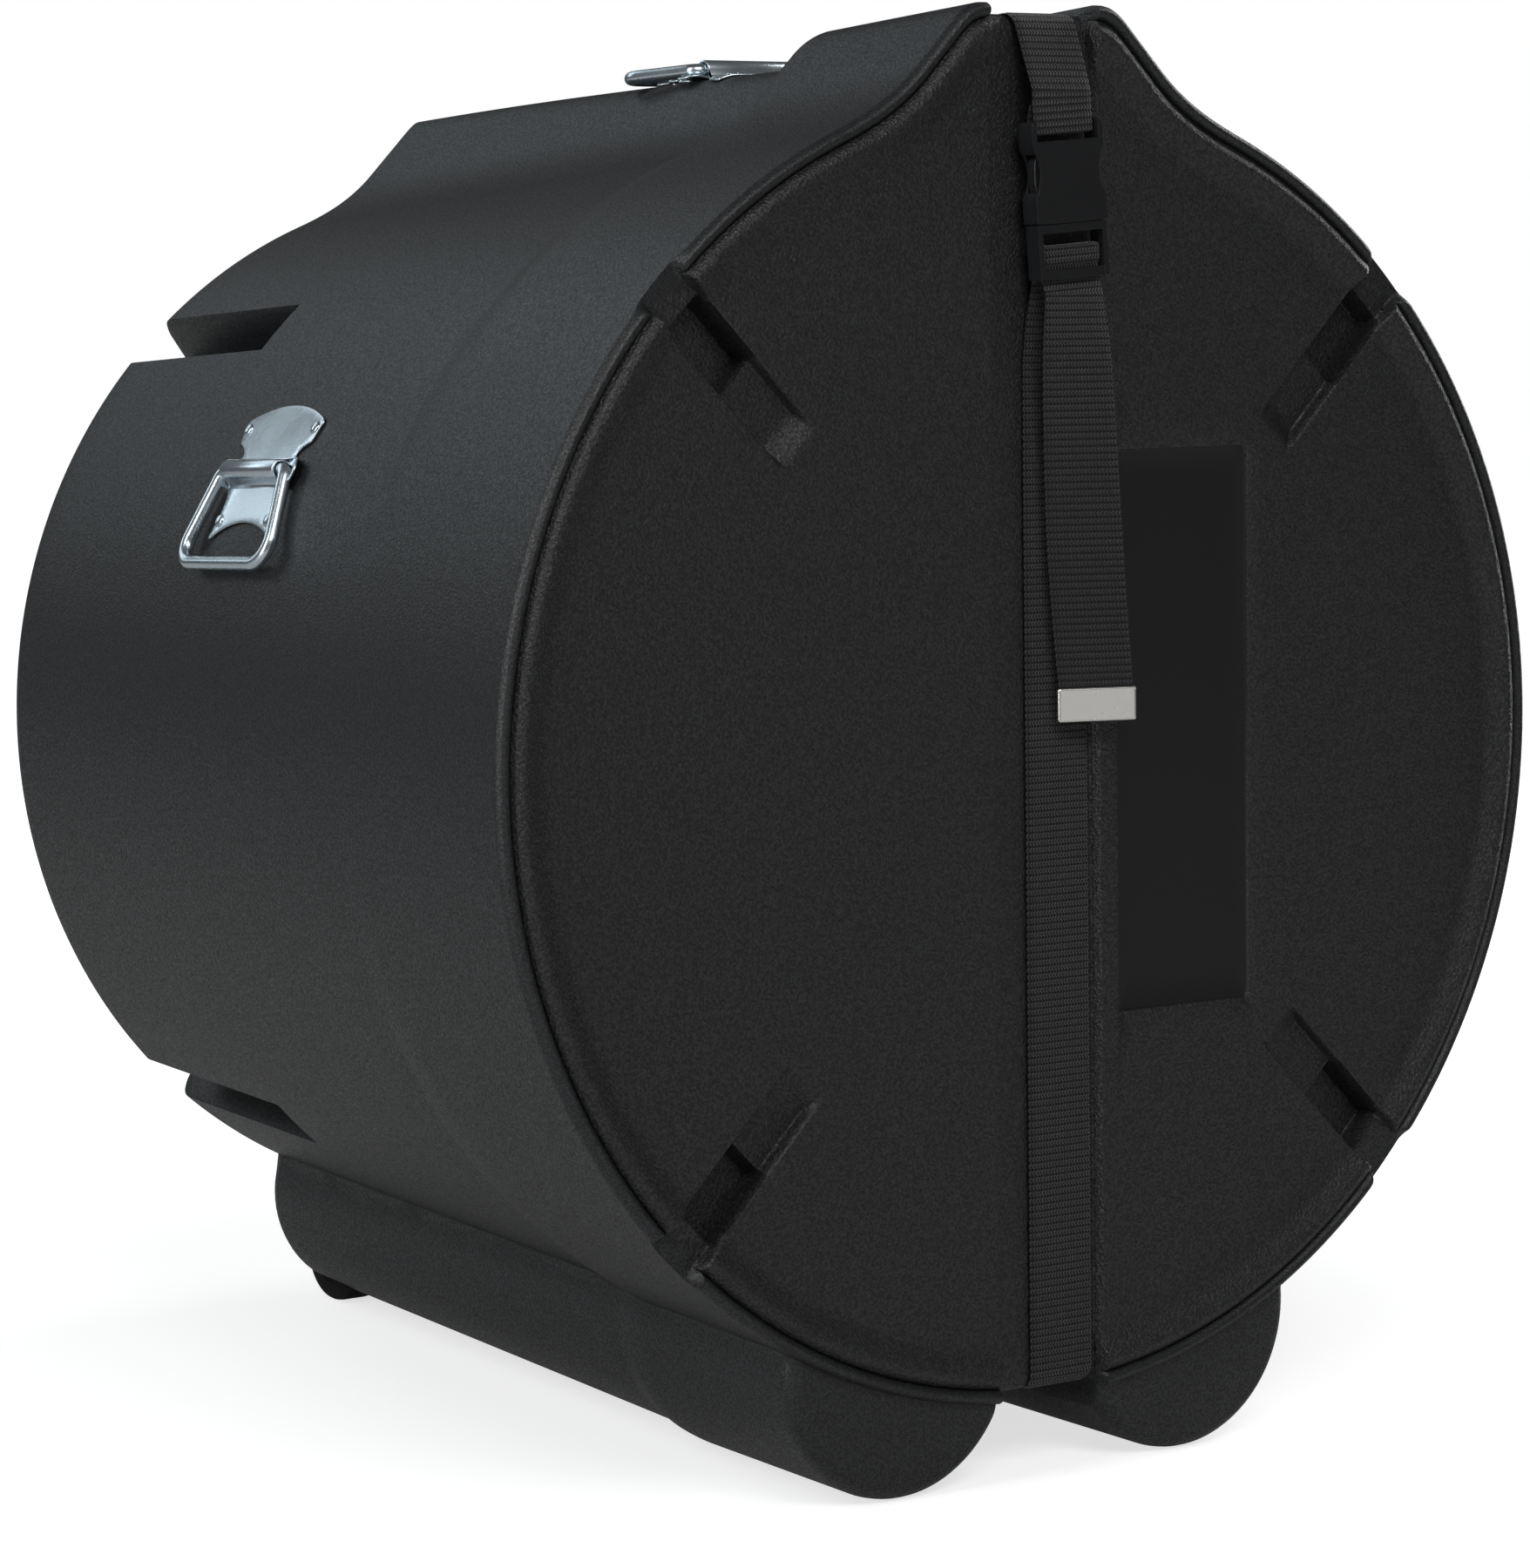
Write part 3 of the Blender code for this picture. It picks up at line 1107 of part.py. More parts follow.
def build_male(kit, frame):
    """The male half: rails, ladder bar, end bar, plug, guide and the two prongs."""
    thick = MALE_THICK / 2
    block = box_mesh("buckle_male", (-MALE_HALF, -thick, -MALE_LENGTH), (MALE_HALF, thick, 0.0), 0.0015)
    male = kit.add("buckle_male", block, "buckle", frame)
    window = MALE_HALF - MALE_RAIL
    cavity_half = BUCKLE_HALF - FEMALE_WALL - SLIP
    cavity_thick = BUCKLE_THICK / 2 - FEMALE_WALL - SLIP
    opening = (-window, -0.02, -MALE_LENGTH - 0.01), (window, 0.02, -MALE_SHOULDER)
    boolean(male, kit.cutter("male_window", box_mesh("male_window", *opening), frame))
    span = window + 0.001
    joins = {
        "ladder": ((-span, LADDER_BAR_Y[0], LADDER_BAR_Z[0]), (span, LADDER_BAR_Y[1], LADDER_BAR_Z[1])),
        "end": ((-span, -thick + 0.0002, -MALE_LENGTH + 0.0002), (span, END_BAR_BACK, END_BAR_Z)),
        "plug": ((-cavity_half, -cavity_thick, -0.002), (cavity_half, cavity_thick, MALE_PLUG)),
        "guide": ((-0.003, -0.0025, MALE_PLUG - 0.001), (0.003, 0.0025, PRONG_LENGTH)),
    }
    for name, (low, high) in joins.items():
        boolean(male, kit.cutter(f"male_{name}", box_mesh(name, low, high), frame), "UNION")
    swell, root = cavity_half - PRONG_ROOT_X - PRONG_HALF, PRONG_HALF
    outline = [
        (-root, SLIP), (root, SLIP), (root, 0.006), (root + swell, 0.014), (root + swell, 0.021),
        (root + swell * 0.4, 0.027), (-root * 0.6, PRONG_LENGTH), (-root, PRONG_LENGTH - 0.003),
    ]
    lay_flat = Matrix(((1, 0, 0, 0), (0, 0, -1, 0), (0, 1, 0, 0), (0, 0, 0, 1)))
    for sign, word in ((-1, "left"), (1, "right")):
        shape = [(sign * x, z) for x, z in outline]
        mesh = prism_mesh("prong", shape, -PRONG_THICK / 2, PRONG_THICK / 2, lay_flat)
        place = frame @ Matrix.Translation((sign * PRONG_ROOT_X, 0, MALE_PLUG))
        kit.add(f"buckle_prong_{word}", mesh, "buckle", place)


def stand(kit):
    """Leans the case onto its feet and wheels and centres it over the origin."""
    lean, foot_z = lean_angle()
    kit.rig.rotation_euler.x = -lean
    bpy.context.view_layer.update()
    graph = bpy.context.evaluated_depsgraph_get()
    turn = Matrix.Rotation(-lean, 4, "X")
    low, high = 1e9, -1e9
    for obj in kit.parts.objects:
        if obj.type == "EMPTY":
            continue
        solid = obj.evaluated_get(graph).to_mesh()
        reach = [(obj.matrix_world @ vert.co).y for vert in solid.vertices]
        low, high = min(low, *reach), max(high, *reach)
        obj.evaluated_get(graph).to_mesh_clear()
    anchor = turn @ Vector((0.0, FLOOR_ANCHOR_Y, foot_z))
    kit.rig.location = (0.0, -(low + high) / 2, -anchor.z)


def main():
    """Builds the pieces and stands the case up."""
    clear_scene()
    kit = Kit()
    frames = handle_frames()
    rivets = [spot for word, frame in frames.items() for spot in handle_rivets(word, frame)]
    rivets += bracket_rivets(-1) + bracket_rivets(1)
    build_base(kit, rivets)
    build_lid(kit)
    build_linings(kit)
    for word, frame in frames.items():
        build_handle(kit, word, frame)
    build_wheels(kit)
    build_straps(kit)
    build_buckle(kit)
    stand(kit)


main()
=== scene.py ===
"""Dresses the bass drum case: moulded shells, webbing, buckle, handles, wheels, foam and a plain studio.

Case frame: X across, Y from the face to the rear, Z up, origin at the centre of the face circle.
CASE turns that frame into the standing case's own.
"""
import math

import bmesh
import bpy
from bpy.props import FloatProperty, FloatVectorProperty, PointerProperty
from mathutils import Matrix, Vector
from mathutils.geometry import delaunay_2d_cdt


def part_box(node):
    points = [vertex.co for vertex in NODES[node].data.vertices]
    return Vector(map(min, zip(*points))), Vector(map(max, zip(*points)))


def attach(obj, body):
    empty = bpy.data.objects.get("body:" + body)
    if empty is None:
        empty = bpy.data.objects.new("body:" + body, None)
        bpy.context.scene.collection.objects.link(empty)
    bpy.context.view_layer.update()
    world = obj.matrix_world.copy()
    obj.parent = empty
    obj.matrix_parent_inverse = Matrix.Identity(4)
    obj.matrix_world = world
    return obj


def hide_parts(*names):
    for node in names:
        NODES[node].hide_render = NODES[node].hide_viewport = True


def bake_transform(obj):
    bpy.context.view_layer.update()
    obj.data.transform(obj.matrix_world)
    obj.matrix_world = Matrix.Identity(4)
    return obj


bl_info = {
    "name": "Bass Drum Case Dressing",
    "version": (1, 0, 0),
    "blender": (4, 5, 0),
    "location": "View3D > Sidebar > Drum Case",
    "description": "Builds the finished surfaces of a moulded bass drum case and its studio",
    "category": "Object",
}

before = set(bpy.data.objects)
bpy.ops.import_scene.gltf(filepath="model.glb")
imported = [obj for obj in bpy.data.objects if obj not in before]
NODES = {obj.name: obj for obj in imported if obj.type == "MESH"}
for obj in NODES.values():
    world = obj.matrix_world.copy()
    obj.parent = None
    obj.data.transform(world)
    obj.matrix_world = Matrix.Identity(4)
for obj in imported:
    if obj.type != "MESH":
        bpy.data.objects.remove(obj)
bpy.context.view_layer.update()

# Outline of the case
FACE_RADIUS = 0.345
REAR_RADIUS = 0.306
DEPTH = 0.566
BELLY_STEP = 0.006
RAMP_START = 0.150
RAMP_END = 0.168
CROWN_RAMP_START = 0.135
CROWN_TOP = (0.384, 0.374, 0.3565, 0.3445)
CROWN_FLANK = (0.432, 0.425, 0.401, 0.371)
CROWN_CORNER = 0.008
CROWN_BLEND = 0.016
FOOT_X = (0.096, 0.0935, 0.093, 0.081)
FOOT_Z = (-0.312, -0.3065, -0.3035, -0.291)
FOOT_RADIUS = (0.074, 0.0735, 0.0715, 0.061)
FOOT_BLEND = 0.003
WALL = 0.007
MOUTH_INSET = 0.0081
MOUTH_DEPTH = 0.050
LEDGE_INSET = 0.0135
REAR_CORNER = 0.015
FOOT_FLAT = 0.0008
FLOOR_ANCHOR_Y = 0.020
LID_GAP = 0.0004
LID_WALL = 0.0045
FACE_Y = 0.005
SKIRT_END = 0.047
LABEL_X = (0.048, 0.139)
LABEL_Z = (-0.143, 0.153)
LABEL_DEPTH = 0.0015
LABEL_BAND = 0.006

# Pockets, notches and channels on the diagonals
POCKET_HALF = 0.0134
POCKET_IN = 0.2255
POCKET_STEP = 0.2763
POCKET_OUT = 0.320
POCKET_SHALLOW = 0.007
POCKET_DEEP = 0.0175
POCKET_SLOPE = 0.0135
NOTCH_BACK = 0.009
CHANNEL_HALF = 0.016
CHANNEL_FLOOR = 0.273
CHANNEL_START = 0.397

# Strap groove
GROOVE_HALF = 0.034
GROOVE_HALF_REAR = 0.0265
GROOVE_STEP = 0.0008
GROOVE_FACE = 0.006
GROOVE_RIM = 0.0055
GROOVE_BACK = 0.008
GROOVE_FILLET = 0.008
GROOVE_SPLIT = 0.160

# Wheels
WHEEL_X = 0.097
WHEEL_Y = 0.548
WHEEL_Z = -0.331
WHEEL_RADIUS = 0.028
WELL_HALF = 0.0205
WELL_FRONT = 0.034
WELL_TOP = 0.0365

# Moulded plastic
PLAIN_HEIGHT = 0.42
PEAK_HEIGHT = 0.62
# Factors of the base colour that paint shade into the grain's pits and glints onto its peaks
PAINTED_PIT_SHADE = 0.8
PAINTED_PEAK_GLINT = 1.8
GLOSS_SPREAD = 0.12

# Webbing
STRAP_WIDTH = 0.042
STRAP_THICK = 0.0016
STRAP_GAP = 0.0004
STRAP_X_TOP = 0.004
STRAP_X_BACK = 0.0045
STRAP_X_LOW = 0.0098
BRIDGE_START = 0.020
BRIDGE_END = 0.135
RIB_PITCH = 0.0037
RIB_DEPTH = 0.00022
YARN_PITCH = 0.0020
SLIP = 0.0003
PINCH_WIDTH = 0.0388
TAIL_TWIST = 20
TAIL_X = (0.0125, 0.0145, 0.0175, 0.0210, 0.0250)
TAIL_Z = (0.2330, 0.1900, 0.1170, 0.0700, 0.0300)
TAIL_Y = -0.0038
TIP_LENGTH = 0.018
TIP_SLOT = 0.013
TIP_WALL = 0.0008

# Buckle
BUCKLE_PLACE = (0.0100, -0.00125, 0.2712)
BUCKLE_LEAN = 4
BUCKLE_HALF = 0.0235
BUCKLE_THICK = 0.0115
FEMALE_LENGTH = 0.053
FEMALE_WALL = 0.0019
CAVITY_END = 0.0395
SCALLOP_DEPTH = 0.0042
SCALLOP_RADIUS = 0.021
SCALLOP_Z = 0.0265
SLOT_LOW = 0.0425
SLOT_HIGH = 0.0475
SLOT_HALF = 0.0205
FEMALE_BAR = (-0.0012, 0.0016)
MALE_LENGTH = 0.028
MALE_HALF = 0.0228
MALE_RAIL = 0.0028
MALE_THICK = 0.0102
MALE_SHOULDER = 0.0045
MALE_PLUG = 0.0065
LADDER_BAR_Y = (-0.0012, 0.0026)
LADDER_BAR_Z = (-0.0185, -0.0125)
END_BAR_BACK = -0.0015
END_BAR_Z = -0.0232
PRONG_ROOT_X = 0.0175
PRONG_HALF = 0.0021
PRONG_LENGTH = 0.0300
PRONG_THICK = 0.0060

# Handles
PLATE_GAP = 0.0003
PLATE_THICK = 0.0015
ROD_RADIUS = 0.0037
ROD_CLEARANCE = 0.0005
TUNNEL_WALL = 0.0015
TUNNEL_HALF = 0.0305
LOOP_TOP_HALF = 0.0355
LOOP_BAR_HALF = 0.0513
LOOP_REACH = 0.0533
LOOP_CORNER = 0.012
SIDE_ANGLE = 153.4
SIDE_Y = 0.307
SIDE_HANG = 2.0
TOP_Y = 0.260
TOP_HANG = 1.6
UPPER_RIVET = (0.038, 0.027)
LOWER_RIVET = (0.0275, -0.027)
TOP_RIVET_HALF = 0.0300
RIVET_HEAD = 0.0038
RIVET_SHANK = 0.0020
RIVET_CAP = 0.0013
HUB_RADIUS = 0.017
HUB_HALF = 0.0128
WHEEL_HALF = 0.012
AXLE_RADIUS = 0.004
AXLE_HEAD = 0.0065
AXLE_CLEARANCE = 0.0004
CHEEK_THICK = 0.002
CHEEK_GAP = 0.0007

# Foam
LINING_THICK = 0.006
LINING_GAP = 0.0010
LINING_FRONT = 0.180
LINING_BACK = 0.540
LINING_SPAN = (118, 234)
PAD_GAP = 0.0004
POCKET_WALL = 0.0045
LID_WALL_FACE = 0.005
REAR_PAD_RADIUS = 0.246
REAR_PAD_FRONT = 0.541
LID_PAD_RADIUS = 0.212
LID_PAD_THICK = 0.014

# Columns of the shell meshes: distances from the groove's middle and from a pocket's middle
GROOVE_COLUMNS = (
    0.0, 0.010, 0.019, 0.0235, 0.0252, 0.0260, 0.0266, 0.0272, 0.0280, 0.0295, 0.0310, 0.0322, 0.0330, 0.0337,
    0.0343, 0.0350, 0.0360, 0.0380, 0.0410, 0.0450,
)
POCKET_COLUMNS = (
    0.0, 0.005, 0.009, 0.0110, 0.0120, 0.0127, 0.0133, 0.0139, 0.0146, 0.0154, 0.0161, 0.0168, 0.0177, 0.0195,
    0.0222, 0.0260,
)
SECTOR_COLUMNS = (64, 64, 60)


def lean_angle():
    """Angle at which the ground touches the front feet and the wheels."""
    foot_z = FOOT_Z[0] - FOOT_RADIUS[0] + FOOT_FLAT
    run, rise = WHEEL_Y - FLOOR_ANCHOR_Y, WHEEL_Z - foot_z
    return math.atan2(rise, run) - math.asin(WHEEL_RADIUS / math.hypot(run, rise)), foot_z


def case_matrix():
    """The case frame's place, read from the left axle's middle."""
    turn = Matrix.Rotation(-lean_angle()[0], 4, "X")
    low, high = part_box("axle_left")
    place = (low + high) / 2 - turn @ Vector((-WHEEL_X, WHEEL_Y, WHEEL_Z))
    return Matrix.Translation(place) @ turn


CASE = case_matrix()


def between(y, stations, values):
    """Linear interpolation along the case."""
    if y <= stations[0]:
        return values[0]
    for y0, y1, v0, v1 in zip(stations, stations[1:], values, values[1:]):
        if y <= y1:
            return v0 + (v1 - v0) * (y - y0) / (y1 - y0)
    return values[-1]


def smooth_max(a, b, width):
    near = max(width - abs(a - b), 0.0) / width
    return max(a, b) + near * near * width / 4


def smooth_min(a, b, width):
    near = max(width - abs(a - b), 0.0) / width
    return min(a, b) - near * near * width / 4


def ease(value, low, high):
    """Smooth step from 0 at low to 1 at high."""
    t = min(max((value - low) / (high - low), 0.0), 1.0)
    return t * t * (3 - 2 * t)


def mix(a, b, share):
    return a + (b - a) * share


def outline_radius(angle, y, inset=0.0, foot_inset=None):
    """Distance from the case's axis to its skin at one angle and depth."""
    sine, cosine = math.sin(angle), math.cos(angle)
    ramp = between(y, (RAMP_START, RAMP_END), (0.0, 1.0))
    crown_stations = (0.0, CROWN_RAMP_START, RAMP_END, DEPTH)
    foot_stations = (0.0, RAMP_START, RAMP_END, DEPTH)
    barrel = between(y, (0.0, DEPTH), (FACE_RADIUS, REAR_RADIUS))
    radius = barrel - ramp * BELLY_STEP * sine * sine - inset
    if sine > 0.5:
        top = (between(y, crown_stations, CROWN_TOP) - inset) / sine
        flank = (between(y, crown_stations, CROWN_FLANK) - inset * math.sqrt(2)) / (abs(cosine) + sine)
        radius = smooth_max(radius, smooth_min(top, flank, CROWN_CORNER), CROWN_BLEND)
    if foot_inset is not None and sine < 0:
        x = between(y, foot_stations, FOOT_X)
        z = between(y, foot_stations, FOOT_Z)
        size = between(y, foot_stations, FOOT_RADIUS) - foot_inset
        turn = math.atan2(sine, abs(cosine)) - math.atan2(z, x)
        across = math.hypot(x, z) * math.sin(turn)
        if abs(across) < size:
            reach = math.hypot(x, z) * math.cos(turn) + math.sqrt(size * size - across * across)
            radius = smooth_max(radius, reach, FOOT_BLEND)
    return radius


def soft_radius(angle, y, inset=0.0, foot_inset=None):
    """The skin with its creases along the case rounded: softly in front, crisply at the ramp's rear."""
    if 0.120 < y < 0.180:
        reach = 0.009 if y < 0.146 else mix(0.009, 0.0022, ease(y, 0.146, 0.164))
        offsets = (-1.0, -0.6, -0.2, 0.2, 0.6, 1.0)
        return sum(outline_radius(angle, y + reach * t, inset, foot_inset) for t in offsets) / len(offsets)
    return outline_radius(angle, y, inset, foot_inset)


def sector_shares(start, end, count):
    """Where the free columns between two features lie: evenly along the outline, closer at its turns."""
    steps = 360
    fine = [start + (end - start) * i / steps for i in range(steps + 1)]
    weights = [0.0] * steps
    for y in (0.03, 0.30):
        points = []
        for angle in fine:
            radius = outline_radius(angle, y, 0.0, 0.0)
            points.append(Vector((radius * math.cos(angle), radius * math.sin(angle))))
        edges = [points[i + 1] - points[i] for i in range(steps)]
        length = sum(edge.length for edge in edges)
        turns = [0.0] + [edges[i].angle(edges[i - 1]) for i in range(1, steps)]
        for i in range(steps):
            weights[i] += edges[i].length / length + 1.1 * turns[i] / sum(turns)
    total, running, shares = sum(weights), 0.0, []
    for i, weight in enumerate(weights):
        running += weight
        while len(shares) < count and running >= total * (len(shares) + 1) / (count + 1):
            shares.append((fine[i + 1] - start) / (end - start))
    return shares


def feature_angle(centre, offset, radius_at):
    """Angle on a section whose distance from a feature's middle line is the offset."""
    angle = centre
    for _ in range(3):
        angle = centre + math.asin(max(-0.99, min(0.99, offset / radius_at(angle))))
    return angle


def zone_angles(centre, offsets, radius_at):
    return [feature_angle(centre, offset, radius_at) for offset in offsets]


def mirrored(offsets):
    return [-o for o in reversed(offsets[1:])] + list(offsets)


DOWN, RIGHT_LOW, RIGHT_HIGH, UP = (math.radians(a) for a in (-90, -45, 45, 90))


def plan_sectors():
    """Shares of the free columns in the three sectors of the right half."""
    def skin(angle):
        return outline_radius(angle, 0.03, 0.0, 0.0)
    edge, side = GROOVE_COLUMNS[-1], POCKET_COLUMNS[-1]
    limits = (
        (feature_angle(DOWN, edge, skin), feature_angle(RIGHT_LOW, -side, skin)),
        (feature_angle(RIGHT_LOW, side, skin), feature_angle(RIGHT_HIGH, -side, skin)),
        (feature_angle(RIGHT_HIGH, side, skin), feature_angle(UP, -edge, skin)),
    )
    return [sector_shares(a, b, n) for (a, b), n in zip(limits, SECTOR_COLUMNS)]


SECTORS = plan_sectors()


def column_angles(radius_at):
    """Angles of all columns on one section, from straight down round the right, over the top and back."""
    pocket = mirrored(POCKET_COLUMNS)
    zones = (
        zone_angles(DOWN, GROOVE_COLUMNS, radius_at),
        zone_angles(RIGHT_LOW, pocket, radius_at),
        zone_angles(RIGHT_HIGH, pocket, radius_at),
        zone_angles(UP, [-o for o in reversed(GROOVE_COLUMNS)], radius_at),
    )
    angles = list(zones[0])
    for shares, before, after in zip(SECTORS, zones, zones[1:]):
        angles += [mix(before[-1], after[0], share) for share in shares]
        angles += after
    return angles + [math.pi - a for a in reversed(angles[1:-1])]


def section(y, inset, foot_inset=None, at=None):
    """One closed section of the undented case: (angle, radius, y) for every column."""
    level = y if at is None else at
    angles = column_angles(lambda angle: soft_radius(angle, level, inset, foot_inset))
    return [(a, soft_radius(a, level, inset, foot_inset), y) for a in angles]


def diagonal_offset(angle, radius):
    """Distance of a point from the nearest diagonal, across it."""
    turned = (angle - math.radians(45)) % math.radians(90)
    turned = min(turned, math.radians(90) - turned)
    return radius * math.sin(turned)


def groove_half(y):
    return mix(GROOVE_HALF, GROOVE_HALF_REAR, ease(y, GROOVE_SPLIT - 0.003, GROOVE_SPLIT + 0.003))


def groove_height(y, side):
    """Height of the groove's floor on top (side 1) or underneath (side -1)."""
    depth = between(y, (CROWN_RAMP_START, RAMP_END), (GROOVE_RIM, GROOVE_BACK))
    depth += GROOVE_STEP * ease(y, GROOVE_SPLIT - 0.002, GROOVE_SPLIT + 0.002)
    return outline_radius(math.radians(90 * side), y) - depth


def dent_skin(x, y, z, grow=0.0):
    """Presses the groove, the rim notches and the rear channels into a point of the base."""
    angle, radius = math.atan2(z, x), math.hypot(x, z)
    off = diagonal_offset(angle, radius)
    if y > CHANNEL_START - grow - 0.004 and radius > 0.2:
        share = 1 - ease(off, CHANNEL_HALF + grow - 0.0013, CHANNEL_HALF + grow + 0.0013)
        share *= ease(y, CHANNEL_START - grow - 0.0016, CHANNEL_START - grow + 0.0016)
        limit = min(radius, CHANNEL_FLOOR - grow)
        if share > 0:
            lowered = mix(radius, limit, share)
            x, z = x * lowered / radius, z * lowered / radius
    half = groove_half(y) + grow
    share = 1 - ease(abs(x), half - 0.0004, half + 0.0020)
    if share > 0:
        side = 1 if z > 0 else -1
        floor = groove_height(min(y, DEPTH - 0.02), side) - grow
        if abs(z) > 0.2:
            z = side * mix(abs(z), min(abs(z), floor), share)
        front, back = FACE_Y + GROOVE_FACE + grow, DEPTH - GROOVE_BACK - grow
        bend = GROOVE_FILLET
        if y < 0.03 and not grow:
            into = abs(z) - (floor - bend)
            stop = front + (bend - math.sqrt(max(bend * bend - into * into, 0.0)) if into > 0 else 0.0)
            y = mix(y, max(y, stop), share)
        if y > DEPTH - 0.03:
            into = abs(z) - (floor - bend)
            stop = back - (bend - math.sqrt(max(bend * bend - into * into, 0.0)) if into > 0 else 0.0)
            y = mix(y, min(y, stop), share)
    if y < 0.03 and radius > 0.3 and not grow:
        flare = max(0.0, radius - (FACE_RADIUS - MOUTH_INSET))
        half = POCKET_HALF + flare * 0.55
        soft = 0.0014 + flare * 0.55
        share = 1 - ease(off, half - soft, half + soft)
        y = mix(y, max(y, NOTCH_BACK), share)
    return x, y, z


def lid_level(x, z, radius, inset, grow=0.0):
    """Depth of the lid's front at a point: ridge, slope, face, pockets, label recess and groove."""
    ridge = (
        (0.0085, 0.0046), (0.0095, 0.0032), (0.0105, 0.0020), (0.0120, 0.0009), (0.0135, 0.0002),
        (0.0150, 0.0), (0.0168, 0.0003), (0.0190, 0.0011), (0.0215, 0.0021), (0.0240, 0.0031),
        (0.0270, 0.0042), (0.0295, 0.0048), (0.0320, 0.0050),
    )
    stations = [station for station, level in ridge]
    y = between(inset, stations, [level for station, level in ridge])
    mark = 1.0
    if 0.035 < x < 0.15 and abs(z) < 0.17:
        inside = min(x - LABEL_X[0], LABEL_X[1] - x, z - LABEL_Z[0], LABEL_Z[1] - z)
        share = ease(inside, -0.0007, 0.0007)
        y += LABEL_DEPTH * share
        mark = 1 - share
    if radius > 0.2:
        angle = math.atan2(z, x)
        off = diagonal_offset(angle, radius)
        half = POCKET_HALF + grow
        flare = max(0.0, radius - (FACE_RADIUS - MOUTH_INSET))
        share = 1 - ease(off, half - 0.0014, half + 0.0014 + flare)
        reach = grow * 0.5
        slope = ease(radius, POCKET_IN - reach - 0.002, POCKET_IN + POCKET_SLOPE - reach + 0.001)
        floor = FACE_Y + POCKET_SHALLOW * slope
        step = ease(radius, POCKET_STEP - grow - 0.0011, POCKET_STEP - grow + 0.0011)
        floor = mix(floor, FACE_Y + POCKET_DEEP, step)
        if not grow:
            over = ease(radius, POCKET_OUT - 0.0004, POCKET_OUT + 0.0026)
            floor = mix(floor, NOTCH_BACK, over)
        if share > 0 and slope > 0:
            y = mix(y, max(y, floor), share)
    half = GROOVE_HALF + grow
    share = 1 - ease(abs(x), half - 0.0004, half + 0.0020)
    if share > 0:
        side = 1 if z > 0 else -1
        floor = groove_height(0.01, side)
        into = abs(z) - (floor - GROOVE_FILLET)
        bend = GROOVE_FILLET
        stop = FACE_Y + GROOVE_FACE
        stop += bend - math.sqrt(max(bend * bend - into * into, 0.0)) if into > 0 else 0.0
        y = mix(y, max(y, stop), share)
    return y, mark


def near_label(x, z, margin):
    """Whether a point lies in the label's box, grown on all sides by the margin."""
    across = LABEL_X[0] - margin < x < LABEL_X[1] + margin
    return across and LABEL_Z[0] - margin < z < LABEL_Z[1] + margin


def cap_plan(outline, extra_lines, spacing):
    """Flat triangles inside a closed outline, with lines along the groove and other given lines."""
    points = [Vector(p) for p in outline]
    count = len(points)
    edges = [(i, (i + 1) % count) for i in range(count)]
    wide = len(GROOVE_COLUMNS)
    half = count // 2
    for i in range(1, wide):
        edges.append((i, half - i))
        edges.append(((-i) % count, half + i))
    edges.append((0, half))
    for line in extra_lines:
        first = len(points)
        points += [Vector(p) for p in line]
        edges += [(first + i, first + (i + 1) % len(line)) for i in range(len(line))]
    limit = min(math.hypot(*p) for p in outline) - spacing * 0.8
    steps = int(limit / spacing)
    for i in range(-steps, steps + 1):
        for j in range(-steps, steps + 1):
            x, z = i * spacing, j * spacing
            if math.hypot(x, z) < limit and abs(x) > GROOVE_COLUMNS[-1] + spacing * 0.5:
                if near_label(x, z, LABEL_BAND) and not near_label(x, z, -LABEL_BAND):
                    continue
                points.append(Vector((x, z)))
    verts, _, faces, origin, _, _ = delaunay_2d_cdt(points, edges, [], 1, 1e-7)
    where = {}
    for new, old in enumerate(origin):
        for index in old:
            where[index] = new
    return verts, faces, [where[i] for i in range(count)]


def shell_mesh(name, rings, caps, marks=None):
    """A closed skin through rings of points, with a triangulated cap at its first and last ring."""
    work = bmesh.new()
    layer = work.verts.layers.float.new("pebble")
    rows = []
    for k, line in enumerate(rings):
        row = [work.verts.new(p) for p in line]
        if marks:
            for vert, mark in zip(row, marks[k]):
                vert[layer] = mark
        rows.append(row)
    count = len(rings[0])
    for near, far in zip(rows, rows[1:]):
        for i in range(count):
            j = (i + 1) % count
            work.faces.new((near[i], far[i], far[j], near[j]))
    for row, (verts, faces, border, level) in zip((rows[0], rows[-1]), caps):
        owner = {index: vert for index, vert in zip(border, row)}
        for index, point in enumerate(verts):
            if index not in owner:
                place, mark = level(point[0], point[1])
                owner[index] = work.verts.new(place)
                owner[index][layer] = mark
        for corners in faces:
            if len(set(corners)) == 3:
                work.faces.new([owner[i] for i in corners])
    bmesh.ops.recalc_face_normals(work, faces=work.faces)
    mesh = bpy.data.meshes.new(name)
    work.to_mesh(mesh)
    work.free()
    return mesh


def place_piece(name, mesh, body, nodes, material, smooth=40, matrix=None):
    """Puts a mesh of the case frame in the standing case's frame and gives it to a body."""
    mesh.transform(CASE @ (matrix or Matrix()))
    obj = bpy.data.objects.new(name, mesh)
    bpy.context.scene.collection.objects.link(obj)
    mesh.materials.clear()
    mesh.materials.append(material)
    if smooth is not None:
        mesh.shade_smooth()
    if smooth:
        mesh.set_sharp_from_angle(angle=math.radians(smooth))
    if body:
        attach(obj, body)
    if nodes:
        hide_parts(*nodes)
    return obj


